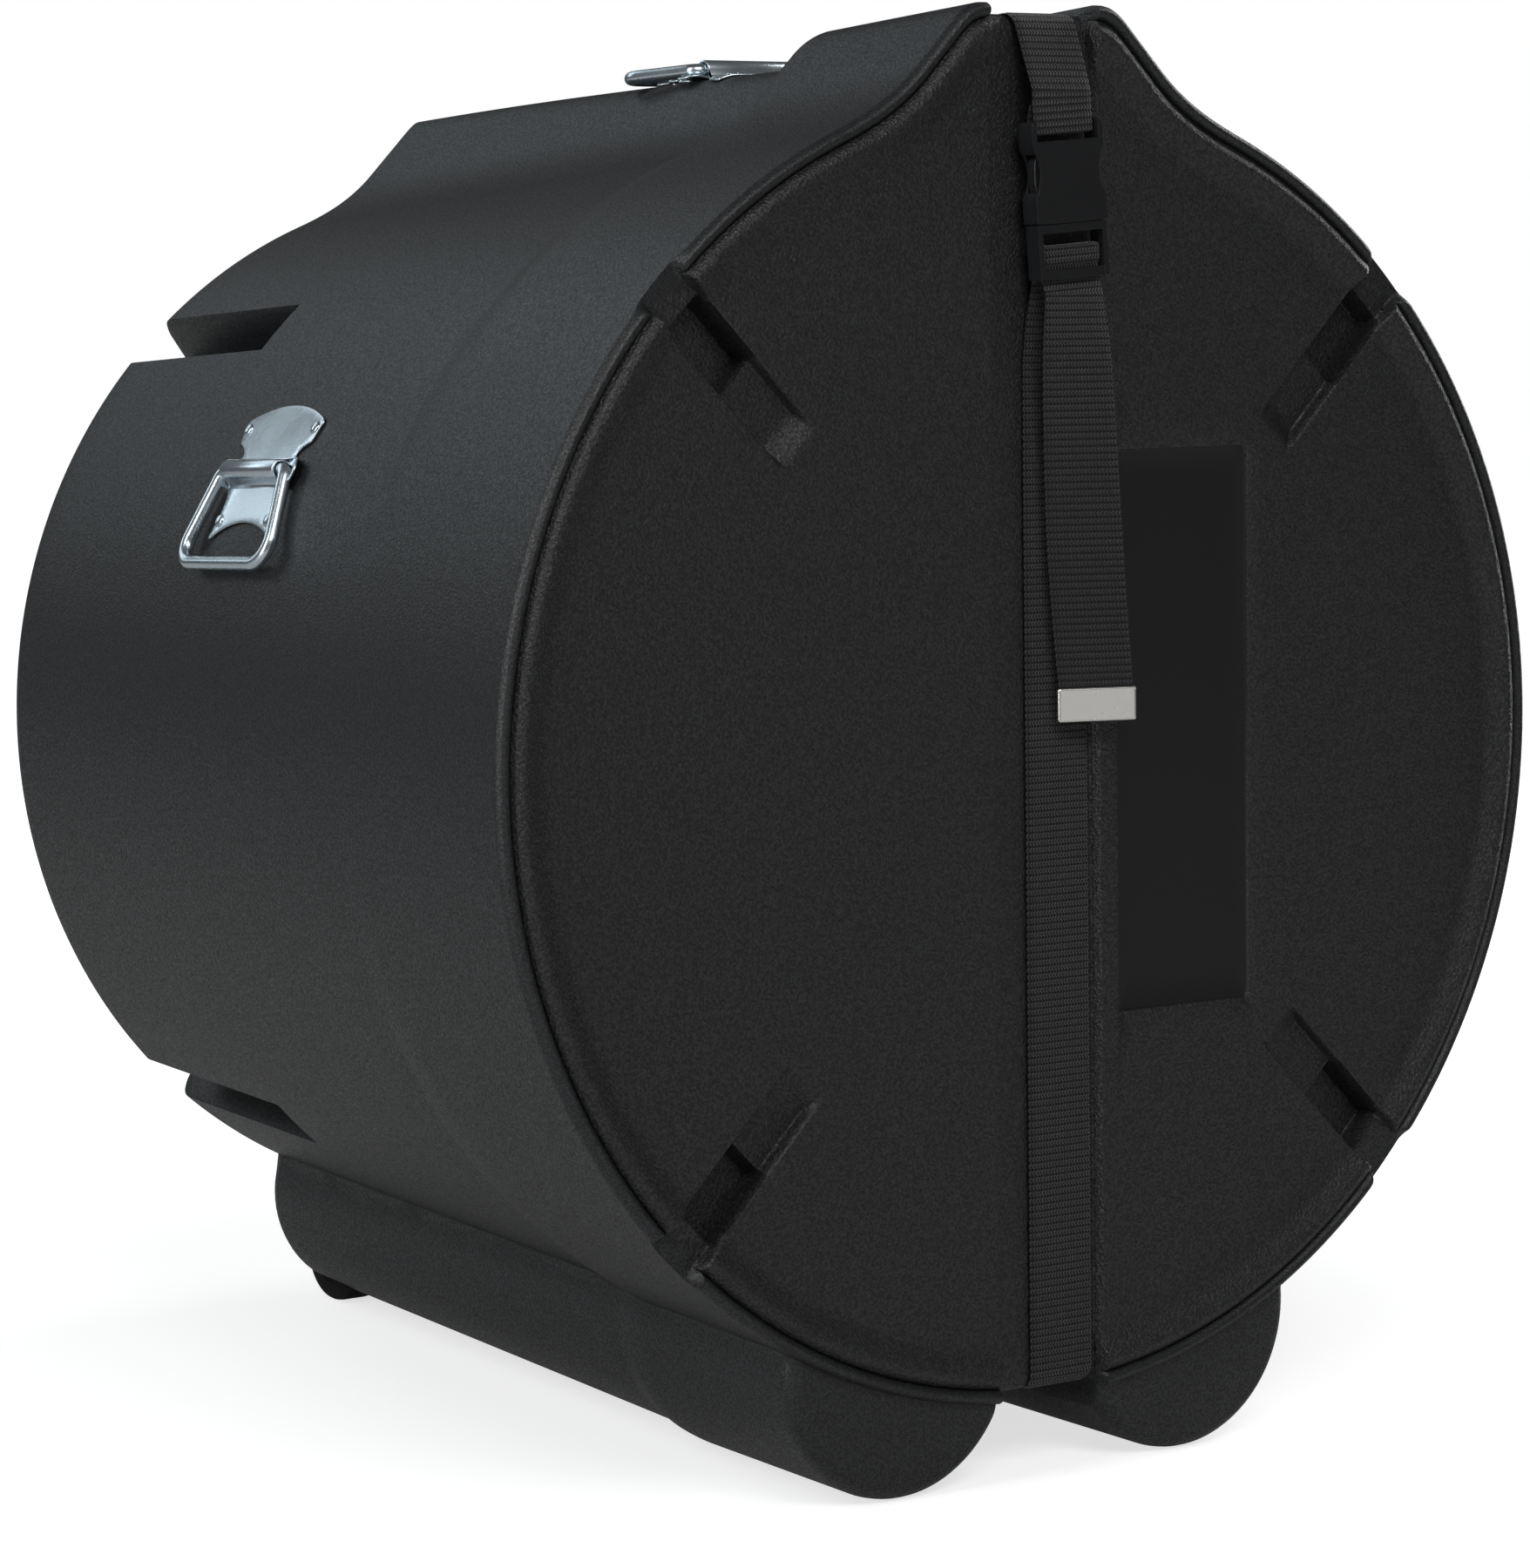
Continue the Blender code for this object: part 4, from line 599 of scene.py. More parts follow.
def base_rings():
    """Sections of the base from its rear, over the skin to the front of the feet."""
    plan = []
    corner = REAR_CORNER
    for turn in (0, 12, 25, 38, 51, 64, 77):
        a = math.radians(turn)
        drop = corner * (1 - math.sin(a))
        plan.append((DEPTH - corner * (1 - math.cos(a)), drop, drop, 0.0))
    skin = [
        DEPTH - corner, 0.535, 0.515, 0.495, 0.470, 0.445, 0.425, 0.408, 0.4022, 0.4000, 0.3986,
        0.3978, 0.3970, 0.3962, 0.3954, 0.3940, 0.3915, 0.380, 0.355, 0.325, 0.290, 0.255, 0.225,
        0.200, 0.185, 0.177, 0.1725, 0.1705, 0.1695, 0.1687, 0.1680, 0.1672, 0.1662, 0.1648, 0.1632,
        0.1616, 0.1600, 0.1584, 0.1566, 0.1545, 0.152, 0.149, 0.146, 0.143, 0.140, 0.137, 0.134,
        0.130, 0.126, 0.120, 0.110, 0.095, 0.078, 0.060, 0.044, 0.032, 0.025, 0.021, 0.018,
    ]
    for y in skin:
        plan.append((y, 0.0, 0.0, 0.0))
    feet = (
        (0.0155, 0.0004), (0.0130, 0.0013), (0.0110, 0.0027), (0.0095, 0.0042), (0.0085, 0.0056),
        (0.0080, 0.0072),
    )
    for y, foot in feet:
        plan.append((y, 0.0, foot, 0.0))
    return plan


def build_base_mesh():
    """The base in rings from its rear, over the skin and the rim, into the mouth and back inside."""
    rings = []
    for y, inset, foot, grow in base_rings():
        line = []
        for angle, radius, level in section(y, inset, foot):
            line.append(dent_skin(radius * math.cos(angle), level, radius * math.sin(angle)))
        rings.append(line)
    rim = [
        (0.0080, 0.0), (0.0066, 0.00005), (0.0054, 0.0003), (0.0044, 0.0008), (0.0033, 0.0015),
        (0.0024, 0.0023), (0.0018, 0.0032), (0.0016, 0.0041), (0.0017, 0.0050), (0.0021, 0.0060),
        (0.0029, 0.0069), (0.0042, 0.0077), (0.0058, MOUTH_INSET), (0.012, MOUTH_INSET),
        (0.022, MOUTH_INSET), (0.036, MOUTH_INSET), (MOUTH_DEPTH, MOUTH_INSET),
        (MOUTH_DEPTH + 0.0006, MOUTH_INSET + 0.0008), (MOUTH_DEPTH + 0.0010, LEDGE_INSET),
    ]
    for y, inset in rim:
        line = []
        for angle, radius, level in section(y, inset, None):
            line.append(dent_skin(radius * math.cos(angle), level, radius * math.sin(angle)))
        rings.append(line)
    inside = [
        (0.058, LEDGE_INSET), (0.09, LEDGE_INSET), (0.125, LEDGE_INSET), (0.140, LEDGE_INSET),
        (0.150, 0.0118), (0.158, 0.0092), (0.168, WALL), (0.200, WALL), (0.260, WALL),
        (0.320, WALL), (0.372, WALL), (0.3870, WALL), (0.3885, WALL), (0.3895, WALL),
        (0.3905, WALL), (0.3920, WALL), (0.410, WALL), (0.450, WALL), (0.500, WALL),
        (DEPTH - corner_inside(), WALL),
    ]
    for y, inset in inside:
        foot = inset if inset > WALL + 0.001 else WALL
        line = []
        for angle, radius, level in section(y, inset, foot):
            line.append(press_inside(radius * math.cos(angle), level, radius * math.sin(angle)))
        rings.append(line)
    for turn in (20, 45, 70, 90):
        a = math.radians(turn)
        y = DEPTH - WALL - REAR_CORNER * (1 - math.sin(a)) * 0.9
        inset = WALL + REAR_CORNER * (1 - math.cos(a))
        line = []
        for angle, radius, level in section(y, inset, inset):
            line.append(press_inside(radius * math.cos(angle), level, radius * math.sin(angle)))
        rings.append(line)
    rear_plan = cap_plan([(p[0], p[2]) for p in rings[0]], [], 0.02)
    inner_plan = cap_plan([(p[0], p[2]) for p in rings[-1]], [], 0.03)

    def rear_level(x, z):
        return dent_skin(x, DEPTH, z), 0.0

    def inner_level(x, z):
        return press_inside(x, DEPTH - WALL, z), 0.0
    caps = (rear_plan + (rear_level,), inner_plan + (inner_level,))
    return shell_mesh("base_moulding", rings, caps)


def corner_inside():
    return REAR_CORNER + WALL


def press_inside(x, y, z):
    """A point of the inner skin, kept clear of the groove, the channels and the wheel wells."""
    x, y, z = dent_skin(x, y, z, WALL)
    for side in (-1, 1):
        if abs(x - side * WHEEL_X) < WELL_HALF + WALL and y > WHEEL_Y - WELL_FRONT - WALL:
            z = max(z, WHEEL_Z + WELL_TOP + WALL)
    return x, y, z


def build_lid_mesh():
    """The lid's front in rings from the middle outwards, its skirt, and the same surface inside."""
    insets = [
        0.135, 0.1225, 0.1205, 0.1195, 0.1180, 0.1150, 0.1110, 0.1070, 0.1050, 0.1030, 0.095, 0.083,
        0.0735, 0.0710, 0.0700, 0.0692, 0.0687, 0.0682, 0.0674, 0.0660, 0.0620, 0.054, 0.045, 0.039,
        0.035, 0.0325, 0.031, 0.0295, 0.0280, 0.0268, 0.0260, 0.0255, 0.0251, 0.0246, 0.0240,
        0.0233, 0.0225, 0.0213, 0.0200, 0.0186, 0.0172, 0.0160, 0.0150, 0.0140, 0.0130, 0.0120,
        0.0111, 0.0103, 0.0096, 0.0090, 0.0086,
    ]
    skirt = MOUTH_INSET + LID_GAP
    rings, marks = [], []
    for inset in insets:
        line, mark = [], []
        for angle, radius, _ in section(0.0, inset):
            x, z = radius * math.cos(angle), radius * math.sin(angle)
            y, share = lid_level(x, z, radius, inset)
            line.append((x, y, z))
            mark.append(share)
        rings.append(line)
        marks.append(mark)
    for y in (0.0062, 0.012, 0.022, 0.034, SKIRT_END - 0.0008, SKIRT_END):
        inset = skirt if y < SKIRT_END else skirt + 0.0008
        line = []
        for angle, radius, _ in section(0.0, inset):
            x, z = radius * math.cos(angle), radius * math.sin(angle)
            line.append((x, max(y, rings[len(insets) - 1][len(line)][1] + 0.0004 * (y > 0.006)), z))
        rings.append(line)
        marks.append([1.0] * len(line))
    inner = skirt + LID_WALL
    for y in (SKIRT_END, 0.034, 0.026, 0.018):
        line = []
        for index, (angle, radius, _) in enumerate(section(0.0, inner)):
            x, z = radius * math.cos(angle), radius * math.sin(angle)
            least = rings[len(insets) - 1][index][1] + 0.0045
            line.append((x, max(y, least), z))
        rings.append(line)
        marks.append([1.0] * len(line))
    for inset in [i for i in reversed(insets) if i > inner + 0.0012]:
        line = []
        for angle, radius, _ in section(0.0, inset):
            x, z = radius * math.cos(angle), radius * math.sin(angle)
            line.append((x, inner_depth(x, z, radius, inset), z))
        rings.append(line)
        marks.append([1.0] * len(line))
    label = []
    for grow in (-0.0009, -0.0004, 0.0, 0.0004, 0.0009):
        label.append(rounded_box(LABEL_X[0] - grow, LABEL_X[1] + grow, LABEL_Z[0] - grow, LABEL_Z[1] + grow))
    plan = cap_plan([(p[0], p[2]) for p in rings[0]], label, 0.014)
    back_plan = cap_plan([(p[0], p[2]) for p in rings[-1]], [], 0.03)

    def front_level(x, z):
        y, share = lid_level(x, z, math.hypot(x, z), 0.2)
        return (x, y, z), share

    def back_level(x, z):
        return (x, inner_depth(x, z, math.hypot(x, z), 0.2), z), 1.0
    return shell_mesh("lid_moulding", rings, (plan + (front_level,), back_plan + (back_level,)), marks)


def inner_depth(x, z, radius, inset):
    y, _ = lid_level(x, z, radius, max(inset, 0.032), LID_WALL)
    return max(FACE_Y + 0.005, y + 0.0045)


def rounded_box(x0, x1, z0, z1):
    """Corners of a box with a little rounding, as one closed line."""
    r = 0.004
    line = []
    centres = ((x1 - r, z1 - r, 0), (x0 + r, z1 - r, 90), (x0 + r, z0 + r, 180), (x1 - r, z0 + r, 270))
    for cx, cz, start in centres:
        for step in range(4):
            a = math.radians(start + 30 * step)
            line.append((cx + r * math.cos(a), cz + r * math.sin(a)))
    return line


def new_material(name):
    material = bpy.data.materials.new(name)
    material.use_nodes = True
    return material, material.node_tree, material.node_tree.nodes["Principled BSDF"]


def add_node(tree, kind, values=None, **settings):
    """Adds a shader node with its settings and the values of its inputs."""
    made = tree.nodes.new(kind)
    for key, value in settings.items():
        setattr(made, key, value)
    for key, value in (values or {}).items():
        made.inputs[key].default_value = value
    return made


def moulded_plastic(name, colour, rough, speckle, depth, share, marked=False):
    """Moulded plastic: a speckled grain whose peaks carry painted glints and are glossier, and whose pits carry
    painted shade; unmarked spots stay plain, at the pits' painted shade.
    """
    material, tree, shader = new_material(name)
    link = tree.links.new
    place = add_node(tree, "ShaderNodeTexCoord")
    wear = add_node(tree, "ShaderNodeTexNoise", {"Scale": 7.0, "Detail": 4.0, "Roughness": 0.6})
    link(place.outputs["Object"], wear.inputs["Vector"])
    turned = add_node(tree, "ShaderNodeMapping", {"Rotation": (0.5, 0.8, 0.3)})
    link(place.outputs["Object"], turned.inputs["Vector"])
    pebble = add_node(tree, "ShaderNodeTexNoise", {"Scale": speckle, "Detail": 2.5, "Roughness": 0.62})
    link(turned.outputs["Vector"], pebble.inputs["Vector"])
    height = pebble.outputs["Fac"]
    if marked:
        mark = add_node(tree, "ShaderNodeAttribute", attribute_name="pebble")
        faded = add_node(tree, "ShaderNodeMix", data_type="FLOAT")
        faded.inputs[2].default_value = PLAIN_HEIGHT
        link(mark.outputs["Fac"], faded.inputs["Factor"])
        link(height, faded.inputs[3])
        height = faded.outputs[0]
    bump = add_node(tree, "ShaderNodeBump", {"Strength": 1.0, "Distance": depth})
    link(height, bump.inputs["Height"])
    link(bump.outputs["Normal"], shader.inputs["Normal"])
    shades = add_node(tree, "ShaderNodeMapRange", {"To Min": 0.88, "To Max": 1.12})
    link(wear.outputs["Fac"], shades.inputs["Value"])
    # Painted light: the base colour is lit up on the grain's peaks as painted glints and darkened in its pits as
    # painted shade; the wear noise only varies the tone at random
    points = add_node(tree, "ShaderNodeMapRange", {
        "From Min": PLAIN_HEIGHT, "From Max": PEAK_HEIGHT,
        "To Min": 1.0 - PAINTED_PIT_SHADE * share, "To Max": 1.0 + PAINTED_PEAK_GLINT * share})
    link(height, points.inputs["Value"])
    painted_glint_and_tone = add_node(tree, "ShaderNodeMath", operation="MULTIPLY")
    link(points.outputs["Result"], painted_glint_and_tone.inputs[0])
    link(shades.outputs["Result"], painted_glint_and_tone.inputs[1])
    tint = add_node(tree, "ShaderNodeMix", data_type="RGBA", blend_type="MULTIPLY")
    tint.inputs["Factor"].default_value = 1.0
    tint.inputs[6].default_value = (*colour, 1.0)
    link(painted_glint_and_tone.outputs[0], tint.inputs[7])
    link(tint.outputs[2], shader.inputs["Base Color"])
    gloss = add_node(tree, "ShaderNodeMapRange", {
        "From Min": PLAIN_HEIGHT, "From Max": PEAK_HEIGHT,
        "To Min": rough + GLOSS_SPREAD * share, "To Max": rough - GLOSS_SPREAD * share})
    link(height, gloss.inputs["Value"])
    link(gloss.outputs["Result"], shader.inputs["Roughness"])
    return material


def plated_metal(name, colour, rough):
    """Plated metal with a faint unevenness in its polish."""
    material, tree, shader = new_material(name)
    link = tree.links.new
    shader.inputs["Metallic"].default_value = 1.0
    place = add_node(tree, "ShaderNodeTexCoord")
    cloud = add_node(tree, "ShaderNodeTexNoise", {"Scale": 60.0, "Detail": 5.0, "Roughness": 0.65})
    link(place.outputs["Object"], cloud.inputs["Vector"])
    tone = add_node(tree, "ShaderNodeMix", data_type="RGBA")
    tone.inputs[6].default_value = (*colour, 1.0)
    tone.inputs[7].default_value = (*[min(1.0, c * 1.12) for c in colour], 1.0)
    link(cloud.outputs["Fac"], tone.inputs["Factor"])
    link(tone.outputs[2], shader.inputs["Base Color"])
    gloss = add_node(tree, "ShaderNodeMapRange", {"To Min": rough * 0.75, "To Max": rough * 1.25})
    link(cloud.outputs["Fac"], gloss.inputs["Value"])
    link(gloss.outputs["Result"], shader.inputs["Roughness"])
    ripple = add_node(tree, "ShaderNodeTexNoise", {"Scale": 240.0, "Detail": 2.0})
    link(place.outputs["Object"], ripple.inputs["Vector"])
    bump = add_node(tree, "ShaderNodeBump", {"Strength": 1.0, "Distance": 0.000006})
    link(ripple.outputs["Fac"], bump.inputs["Height"])
    link(bump.outputs["Normal"], shader.inputs["Normal"])
    return material


def soft_foam(name, colour):
    """Open foam: matte, with small cells whose hollows are painted darker as shade."""
    material, tree, shader = new_material(name)
    link = tree.links.new
    shader.inputs["Roughness"].default_value = 0.95
    shader.inputs["Sheen Weight"].default_value = 0.15
    place = add_node(tree, "ShaderNodeTexCoord")
    cells = add_node(tree, "ShaderNodeTexVoronoi", {"Scale": 420.0})
    link(place.outputs["Object"], cells.inputs["Vector"])
    bump = add_node(tree, "ShaderNodeBump", {"Strength": 0.7, "Distance": 0.0008})
    link(cells.outputs["Distance"], bump.inputs["Height"])
    link(bump.outputs["Normal"], shader.inputs["Normal"])
    # Painted shade: the base colour is darker towards each cell's middle, where the bump sinks
    painted_shading = add_node(tree, "ShaderNodeMix", data_type="RGBA")
    painted_shading.inputs[6].default_value = (*[c * 0.5 for c in colour], 1.0)
    painted_shading.inputs[7].default_value = (*colour, 1.0)
    link(cells.outputs["Distance"], painted_shading.inputs["Factor"])
    link(painted_shading.outputs[2], shader.inputs["Base Color"])
    return material


def fillet(points, radii, steps=8, closed=False):
    """Rounds the corners of a flat polyline. Each corner has its own radius."""
    result = []
    count = len(points)
    for i, (point, radius) in enumerate(zip(points, radii)):
        here = Vector(point)
        if radius == 0 or (not closed and i in (0, count - 1)):
            result.append(here)
            continue
        back = (Vector(points[i - 1]) - here).normalized()
        ahead = (Vector(points[(i + 1) % count]) - here).normalized()
        half = back.angle(ahead) / 2
        reach = radius / math.tan(half)
        centre = here + (back + ahead).normalized() * (radius / math.sin(half))
        first, last = here + back * reach - centre, here + ahead * reach - centre
        sweep = first.angle(last)
        for k in range(steps + 1):
            share = k / steps
            spoke = (first * math.sin((1 - share) * sweep) + last * math.sin(share * sweep)) / math.sin(sweep)
            result.append(centre + spoke)
    return result


def strap_depth(y):
    """Depth of the webbing's bed under the outline."""
    return between(y, (CROWN_RAMP_START, RAMP_END), (GROOVE_RIM, GROOVE_BACK))


def strap_height(y, side):
    """Height of the webbing over the floor of the strap channel."""
    return side * (outline_radius(math.radians(90 * side), y) - strap_depth(y) + STRAP_GAP)


def buckle_frame():
    """Frame of the buckle: x across, y into the case, z up the strap."""
    return Matrix.Translation(BUCKLE_PLACE) @ Matrix.Rotation(math.radians(-BUCKLE_LEAN), 4, "Y")


def frame_matrix(u, v, w, place):
    """A frame from its three axes and its place."""
    matrix = Matrix((u, v, w)).transposed().to_4x4()
    matrix.translation = place
    return matrix


def lay(line, x_start, x_end, width_start=STRAP_WIDTH, width_end=STRAP_WIDTH, turn=None):
    """Webbing samples of (place, sideways direction, width) along a line in y and z."""
    lengths = [0.0]
    for a, b in zip(line, line[1:]):
        lengths.append(lengths[-1] + (b - a).length)
    turn = turn or Matrix()
    samples = []
    for point, length in zip(line, lengths):
        share = length / lengths[-1]
        place = Vector((mix(x_start, x_end, share), point.x, point.y))
        samples.append((turn @ place, turn.to_3x3() @ Vector((1, 0, 0)), mix(width_start, width_end, share)))
    return samples


def even_samples(samples, step):
    """Webbing samples at an even spacing, with the distance from the start."""
    lengths = [0.0]
    for a, b in zip(samples, samples[1:]):
        lengths.append(lengths[-1] + (b[0] - a[0]).length)
    count = max(2, round(lengths[-1] / step))
    result = []
    i = 0
    for k in range(count + 1):
        at = lengths[-1] * k / count
        while i < len(lengths) - 2 and lengths[i + 1] < at:
            i += 1
        share = (at - lengths[i]) / max(1e-9, lengths[i + 1] - lengths[i])
        a, b = samples[i], samples[i + 1]
        wide = a[1].lerp(b[1], share).normalized()
        result.append((a[0].lerp(b[0], share), wide, mix(a[2], b[2], share), at))
    return result


def webbing_mesh(name, samples, thick=STRAP_THICK, columns=14):
    """Woven webbing: ribs across it, rounded edges and a UV map in metres across and along."""
    rows = even_samples(samples, RIB_PITCH / 5)
    work = bmesh.new()
    sheet = work.loops.layers.uv.new("weave")
    rings, marks = [], []
    for i, (place, wide, width, at) in enumerate(rows):
        before, after = rows[max(0, i - 1)][0], rows[min(len(rows) - 1, i + 1)][0]
        ahead = (after - before).normalized()
        out = wide.cross(ahead).normalized()
        rib = RIB_DEPTH * (0.5 - 0.5 * math.cos(2 * math.pi * at / RIB_PITCH))
        ring, mark = [], []
        for face in (0, 1):
            for k in range(columns + 1):
                share = k / columns if face == 0 else 1 - k / columns
                across = (share - 0.5) * width
                rim = min(1.0, (width / 2 - abs(across)) / (thick * 0.8))
                round_off = (1 - math.sqrt(max(0.0, 1 - (1 - rim) ** 2))) * thick * 0.42
                sink = rib * rim + round_off
                level = sink if face == 0 else thick - sink
                ring.append(work.verts.new(place + wide * across + out * level))
                mark.append((across, at))
        rings.append(ring)
        marks.append(mark)
    count = len(rings[0])
    for i in range(len(rings) - 1):
        for k in range(count):
            j = (k + 1) % count
            face = work.faces.new((rings[i][k], rings[i][j], rings[i + 1][j], rings[i + 1][k]))
            for loop, (r, c) in zip(face.loops, ((i, k), (i, j), (i + 1, j), (i + 1, k))):
                loop[sheet].uv = marks[r][c]
    for ring, mark in ((rings[0], marks[0]), (rings[-1], marks[-1])):
        face = work.faces.new(ring)
        for loop, point in zip(face.loops, mark):
            loop[sheet].uv = point
    bmesh.ops.recalc_face_normals(work, faces=work.faces)
    mesh = bpy.data.meshes.new(name)
    work.to_mesh(mesh)
    work.free()
    return mesh


def holder(mesh):
    """Puts a mesh in the scene for as long as modifiers need it."""
    obj = bpy.data.objects.new(mesh.name, mesh)
    bpy.context.scene.collection.objects.link(obj)
    return obj


def settled(obj):
    """The evaluated mesh of an object, which is then removed."""
    bpy.context.view_layer.update()
    graph = bpy.context.evaluated_depsgraph_get()
    mesh = bpy.data.meshes.new_from_object(obj.evaluated_get(graph))
    bpy.data.objects.remove(obj, do_unlink=True)
    return mesh


def carved(mesh, steps, rounding=0.0, segments=2, limit=35):
    """Cuts and joins other meshes with a mesh, then rounds the sharp edges."""
    obj = holder(mesh)
    helpers = []
    for number, (operation, other) in enumerate(steps):
        helper = holder(other)
        helpers.append(helper)
        step = obj.modifiers.new(f"step_{number}", "BOOLEAN")
        step.operation = operation
        step.solver = "EXACT"
        step.object = helper
    if rounding:
        step = obj.modifiers.new("rounding", "BEVEL")
        step.width = rounding
        step.segments = segments
        step.limit_method = "ANGLE"
        step.angle_limit = math.radians(limit)
        step.miter_outer = "MITER_ARC"
        step = obj.modifiers.new("shading", "WEIGHTED_NORMAL")
        step.weight = 100
        obj.data.shade_smooth()
    result = settled(obj)
    for helper in helpers:
        bpy.data.objects.remove(helper, do_unlink=True)
    return result


def mesh_from(name, work):
    """Turns a bmesh into a mesh whose faces point out."""
    bmesh.ops.recalc_face_normals(work, faces=work.faces)
    mesh = bpy.data.meshes.new(name)
    work.to_mesh(mesh)
    work.free()
    return mesh


def box_mesh(name, low, high, bevel=0.0, segments=4):
    """A box between two corners, with optional rounded edges."""
    work = bmesh.new()
    bmesh.ops.create_cube(work, size=1.0)
    for vert in work.verts:
        vert.co = Vector([(low[k] + high[k]) / 2 + vert.co[k] * (high[k] - low[k]) for k in range(3)])
    if bevel:
        bmesh.ops.bevel(work, geom=work.edges[:], offset=bevel, segments=segments, affect="EDGES", profile=0.5)
    return mesh_from(name, work)


def prism_mesh(name, outline, low, high, matrix=None):
    """A flat outline in x and y, drawn out along z."""
    work = bmesh.new()
    ring = [work.verts.new((x, y, low)) for x, y in outline]
    grown = bmesh.ops.extrude_face_region(work, geom=[work.faces.new(ring)])
    for item in grown["geom"]:
        if isinstance(item, bmesh.types.BMVert):
            item.co.z = high
    if matrix:
        bmesh.ops.transform(work, matrix=matrix, verts=work.verts)
    return mesh_from(name, work)


def rod_mesh(name, start, end, radius, segments=48):
    """A round rod between two points."""
    work = bmesh.new()
    start, end = Vector(start), Vector(end)
    turn = Vector((0, 0, 1)).rotation_difference(end - start).to_matrix().to_4x4()
    bmesh.ops.create_cone(
        work, cap_ends=True, segments=segments, radius1=radius, radius2=radius, depth=(end - start).length,
        matrix=Matrix.Translation((start + end) / 2) @ turn)
    return mesh_from(name, work)


def turned_mesh(name, profile, steps):
    """A profile of (radius, height) points turned about z. It closes on the axis or on itself."""
    work = bmesh.new()
    rings = []
    for radius, height in profile:
        if radius == 0:
            rings.append([work.verts.new((0, 0, height))] * steps)
            continue
        turns = [2 * math.pi * k / steps for k in range(steps)]
        rings.append([work.verts.new((radius * math.cos(a), radius * math.sin(a), height)) for a in turns])
    pairs = list(zip(rings, rings[1:]))
    if profile[0][0] > 0:
        pairs.append((rings[-1], rings[0]))
    for near, far in pairs:
        for k in range(steps):
            j = (k + 1) % steps
            corners = list(dict.fromkeys((near[k], near[j], far[j], far[k])))
            if len(corners) > 2:
                work.faces.new(corners)
    return mesh_from(name, work)


def tube_mesh(name, points, radius, sides=16, closed=False):
    """A round tube along points, with flat caps where it is open."""
    work = bmesh.new()
    count = len(points)
    rings = []
    up = None
    for i, point in enumerate(points):
        before = points[i - 1] if (closed or i) else point
        after = points[(i + 1) % count] if (closed or i < count - 1) else point
        ahead = (after - before).normalized()
        if up is None:
            up = ahead.orthogonal().normalized()
        up = (up - ahead * up.dot(ahead)).normalized()
        side = ahead.cross(up)
        turns = [2 * math.pi * k / sides for k in range(sides)]
        rings.append([work.verts.new(point + (up * math.cos(a) + side * math.sin(a)) * radius) for a in turns])
    pairs = list(zip(rings, rings[1:]))
    if closed:
        shift = min(range(sides), key=lambda s: (rings[-1][s].co - rings[0][0].co).length)
        last = rings[-1][shift:] + rings[-1][:shift]
        pairs.append((last, rings[0]))
    else:
        work.faces.new(rings[0])
        work.faces.new(rings[-1])
    for near, far in pairs:
        for k in range(sides):
            j = (k + 1) % sides
            work.faces.new((near[k], near[j], far[j], far[k]))
    return mesh_from(name, work)


def webbing_material(name, colour):
    """Herringbone webbing on the weave map: rows of slanted yarns with painted highlights on their crests and
    painted shade in the furrows between them.
    """
    material, tree, shader = new_material(name)
    link = tree.links.new
    shader.inputs["Roughness"].default_value = 0.72
    shader.inputs["Sheen Weight"].default_value = 0.25
    shader.inputs["Sheen Roughness"].default_value = 0.4
    shader.inputs["Specular IOR Level"].default_value = 0.25
    place = add_node(tree, "ShaderNodeUVMap", uv_map="weave")
    split = add_node(tree, "ShaderNodeSeparateXYZ")
    link(place.outputs["UV"], split.inputs["Vector"])

    def maths(operation, a, b=0.0):
        made = add_node(tree, "ShaderNodeMath", operation=operation)
        for socket, value in zip(made.inputs, (a, b)):
            if isinstance(value, (int, float)):
                socket.default_value = value
            else:
                link(value, socket)
        return made.outputs[0]

    rows = maths("MULTIPLY", split.outputs["Y"], 1.0 / RIB_PITCH)
    slant = maths("MULTIPLY", maths("PINGPONG", rows, 0.5), 1.5)
    yarns = maths("ADD", maths("MULTIPLY", split.outputs["X"], 1.0 / YARN_PITCH), slant)
    wave = maths("MULTIPLY_ADD", maths("SINE", maths("MULTIPLY", yarns, 2 * math.pi)), 0.5)
    wave.node.inputs[2].default_value = 0.5
    ridge = maths("SINE", maths("MULTIPLY", maths("FRACT", rows), math.pi))
    middle = maths("ABSOLUTE", maths("SINE", maths("MULTIPLY", rows, math.pi * 2)))
    crest = maths("MULTIPLY", wave, maths("MULTIPLY", ridge, maths("MULTIPLY_ADD", middle, 0.5)))
    crest.node.inputs[1].links[0].from_node.inputs[1].links[0].from_node.inputs[2].default_value = 0.5
    fuzz = add_node(tree, "ShaderNodeTexNoise", {"Scale": 2600.0, "Detail": 2.0})
    link(place.outputs["UV"], fuzz.inputs["Vector"])
    wear = add_node(tree, "ShaderNodeTexNoise", {"Scale": 45.0, "Detail": 3.0})
    link(place.outputs["UV"], wear.inputs["Vector"])
    # Painted light: the furrows are painted dark as shade and the yarns' crests painted light as highlights; the
    # wear noise varies this at random
    painted_shading = add_node(tree, "ShaderNodeMix", data_type="RGBA")
    painted_shading.inputs[6].default_value = (*[c * 0.05 for c in colour], 1.0)
    painted_shading.inputs[7].default_value = (*[c * 2.0 for c in colour], 1.0)
    painted_crest_highlight = maths("POWER", crest, 0.7)
    worn = maths("ADD", maths("MULTIPLY", wear.outputs["Fac"], 0.5), 0.75)
    painted_light_amount = maths("MULTIPLY", painted_crest_highlight, worn)
    link(painted_light_amount, painted_shading.inputs["Factor"])
    link(painted_shading.outputs[2], shader.inputs["Base Color"])
    height = maths("ADD", crest, maths("MULTIPLY", fuzz.outputs["Fac"], 0.25))
    bump = add_node(tree, "ShaderNodeBump", {"Strength": 1.0, "Distance": 0.0011})
    link(height, bump.inputs["Height"])
    link(bump.outputs["Normal"], shader.inputs["Normal"])
    return material


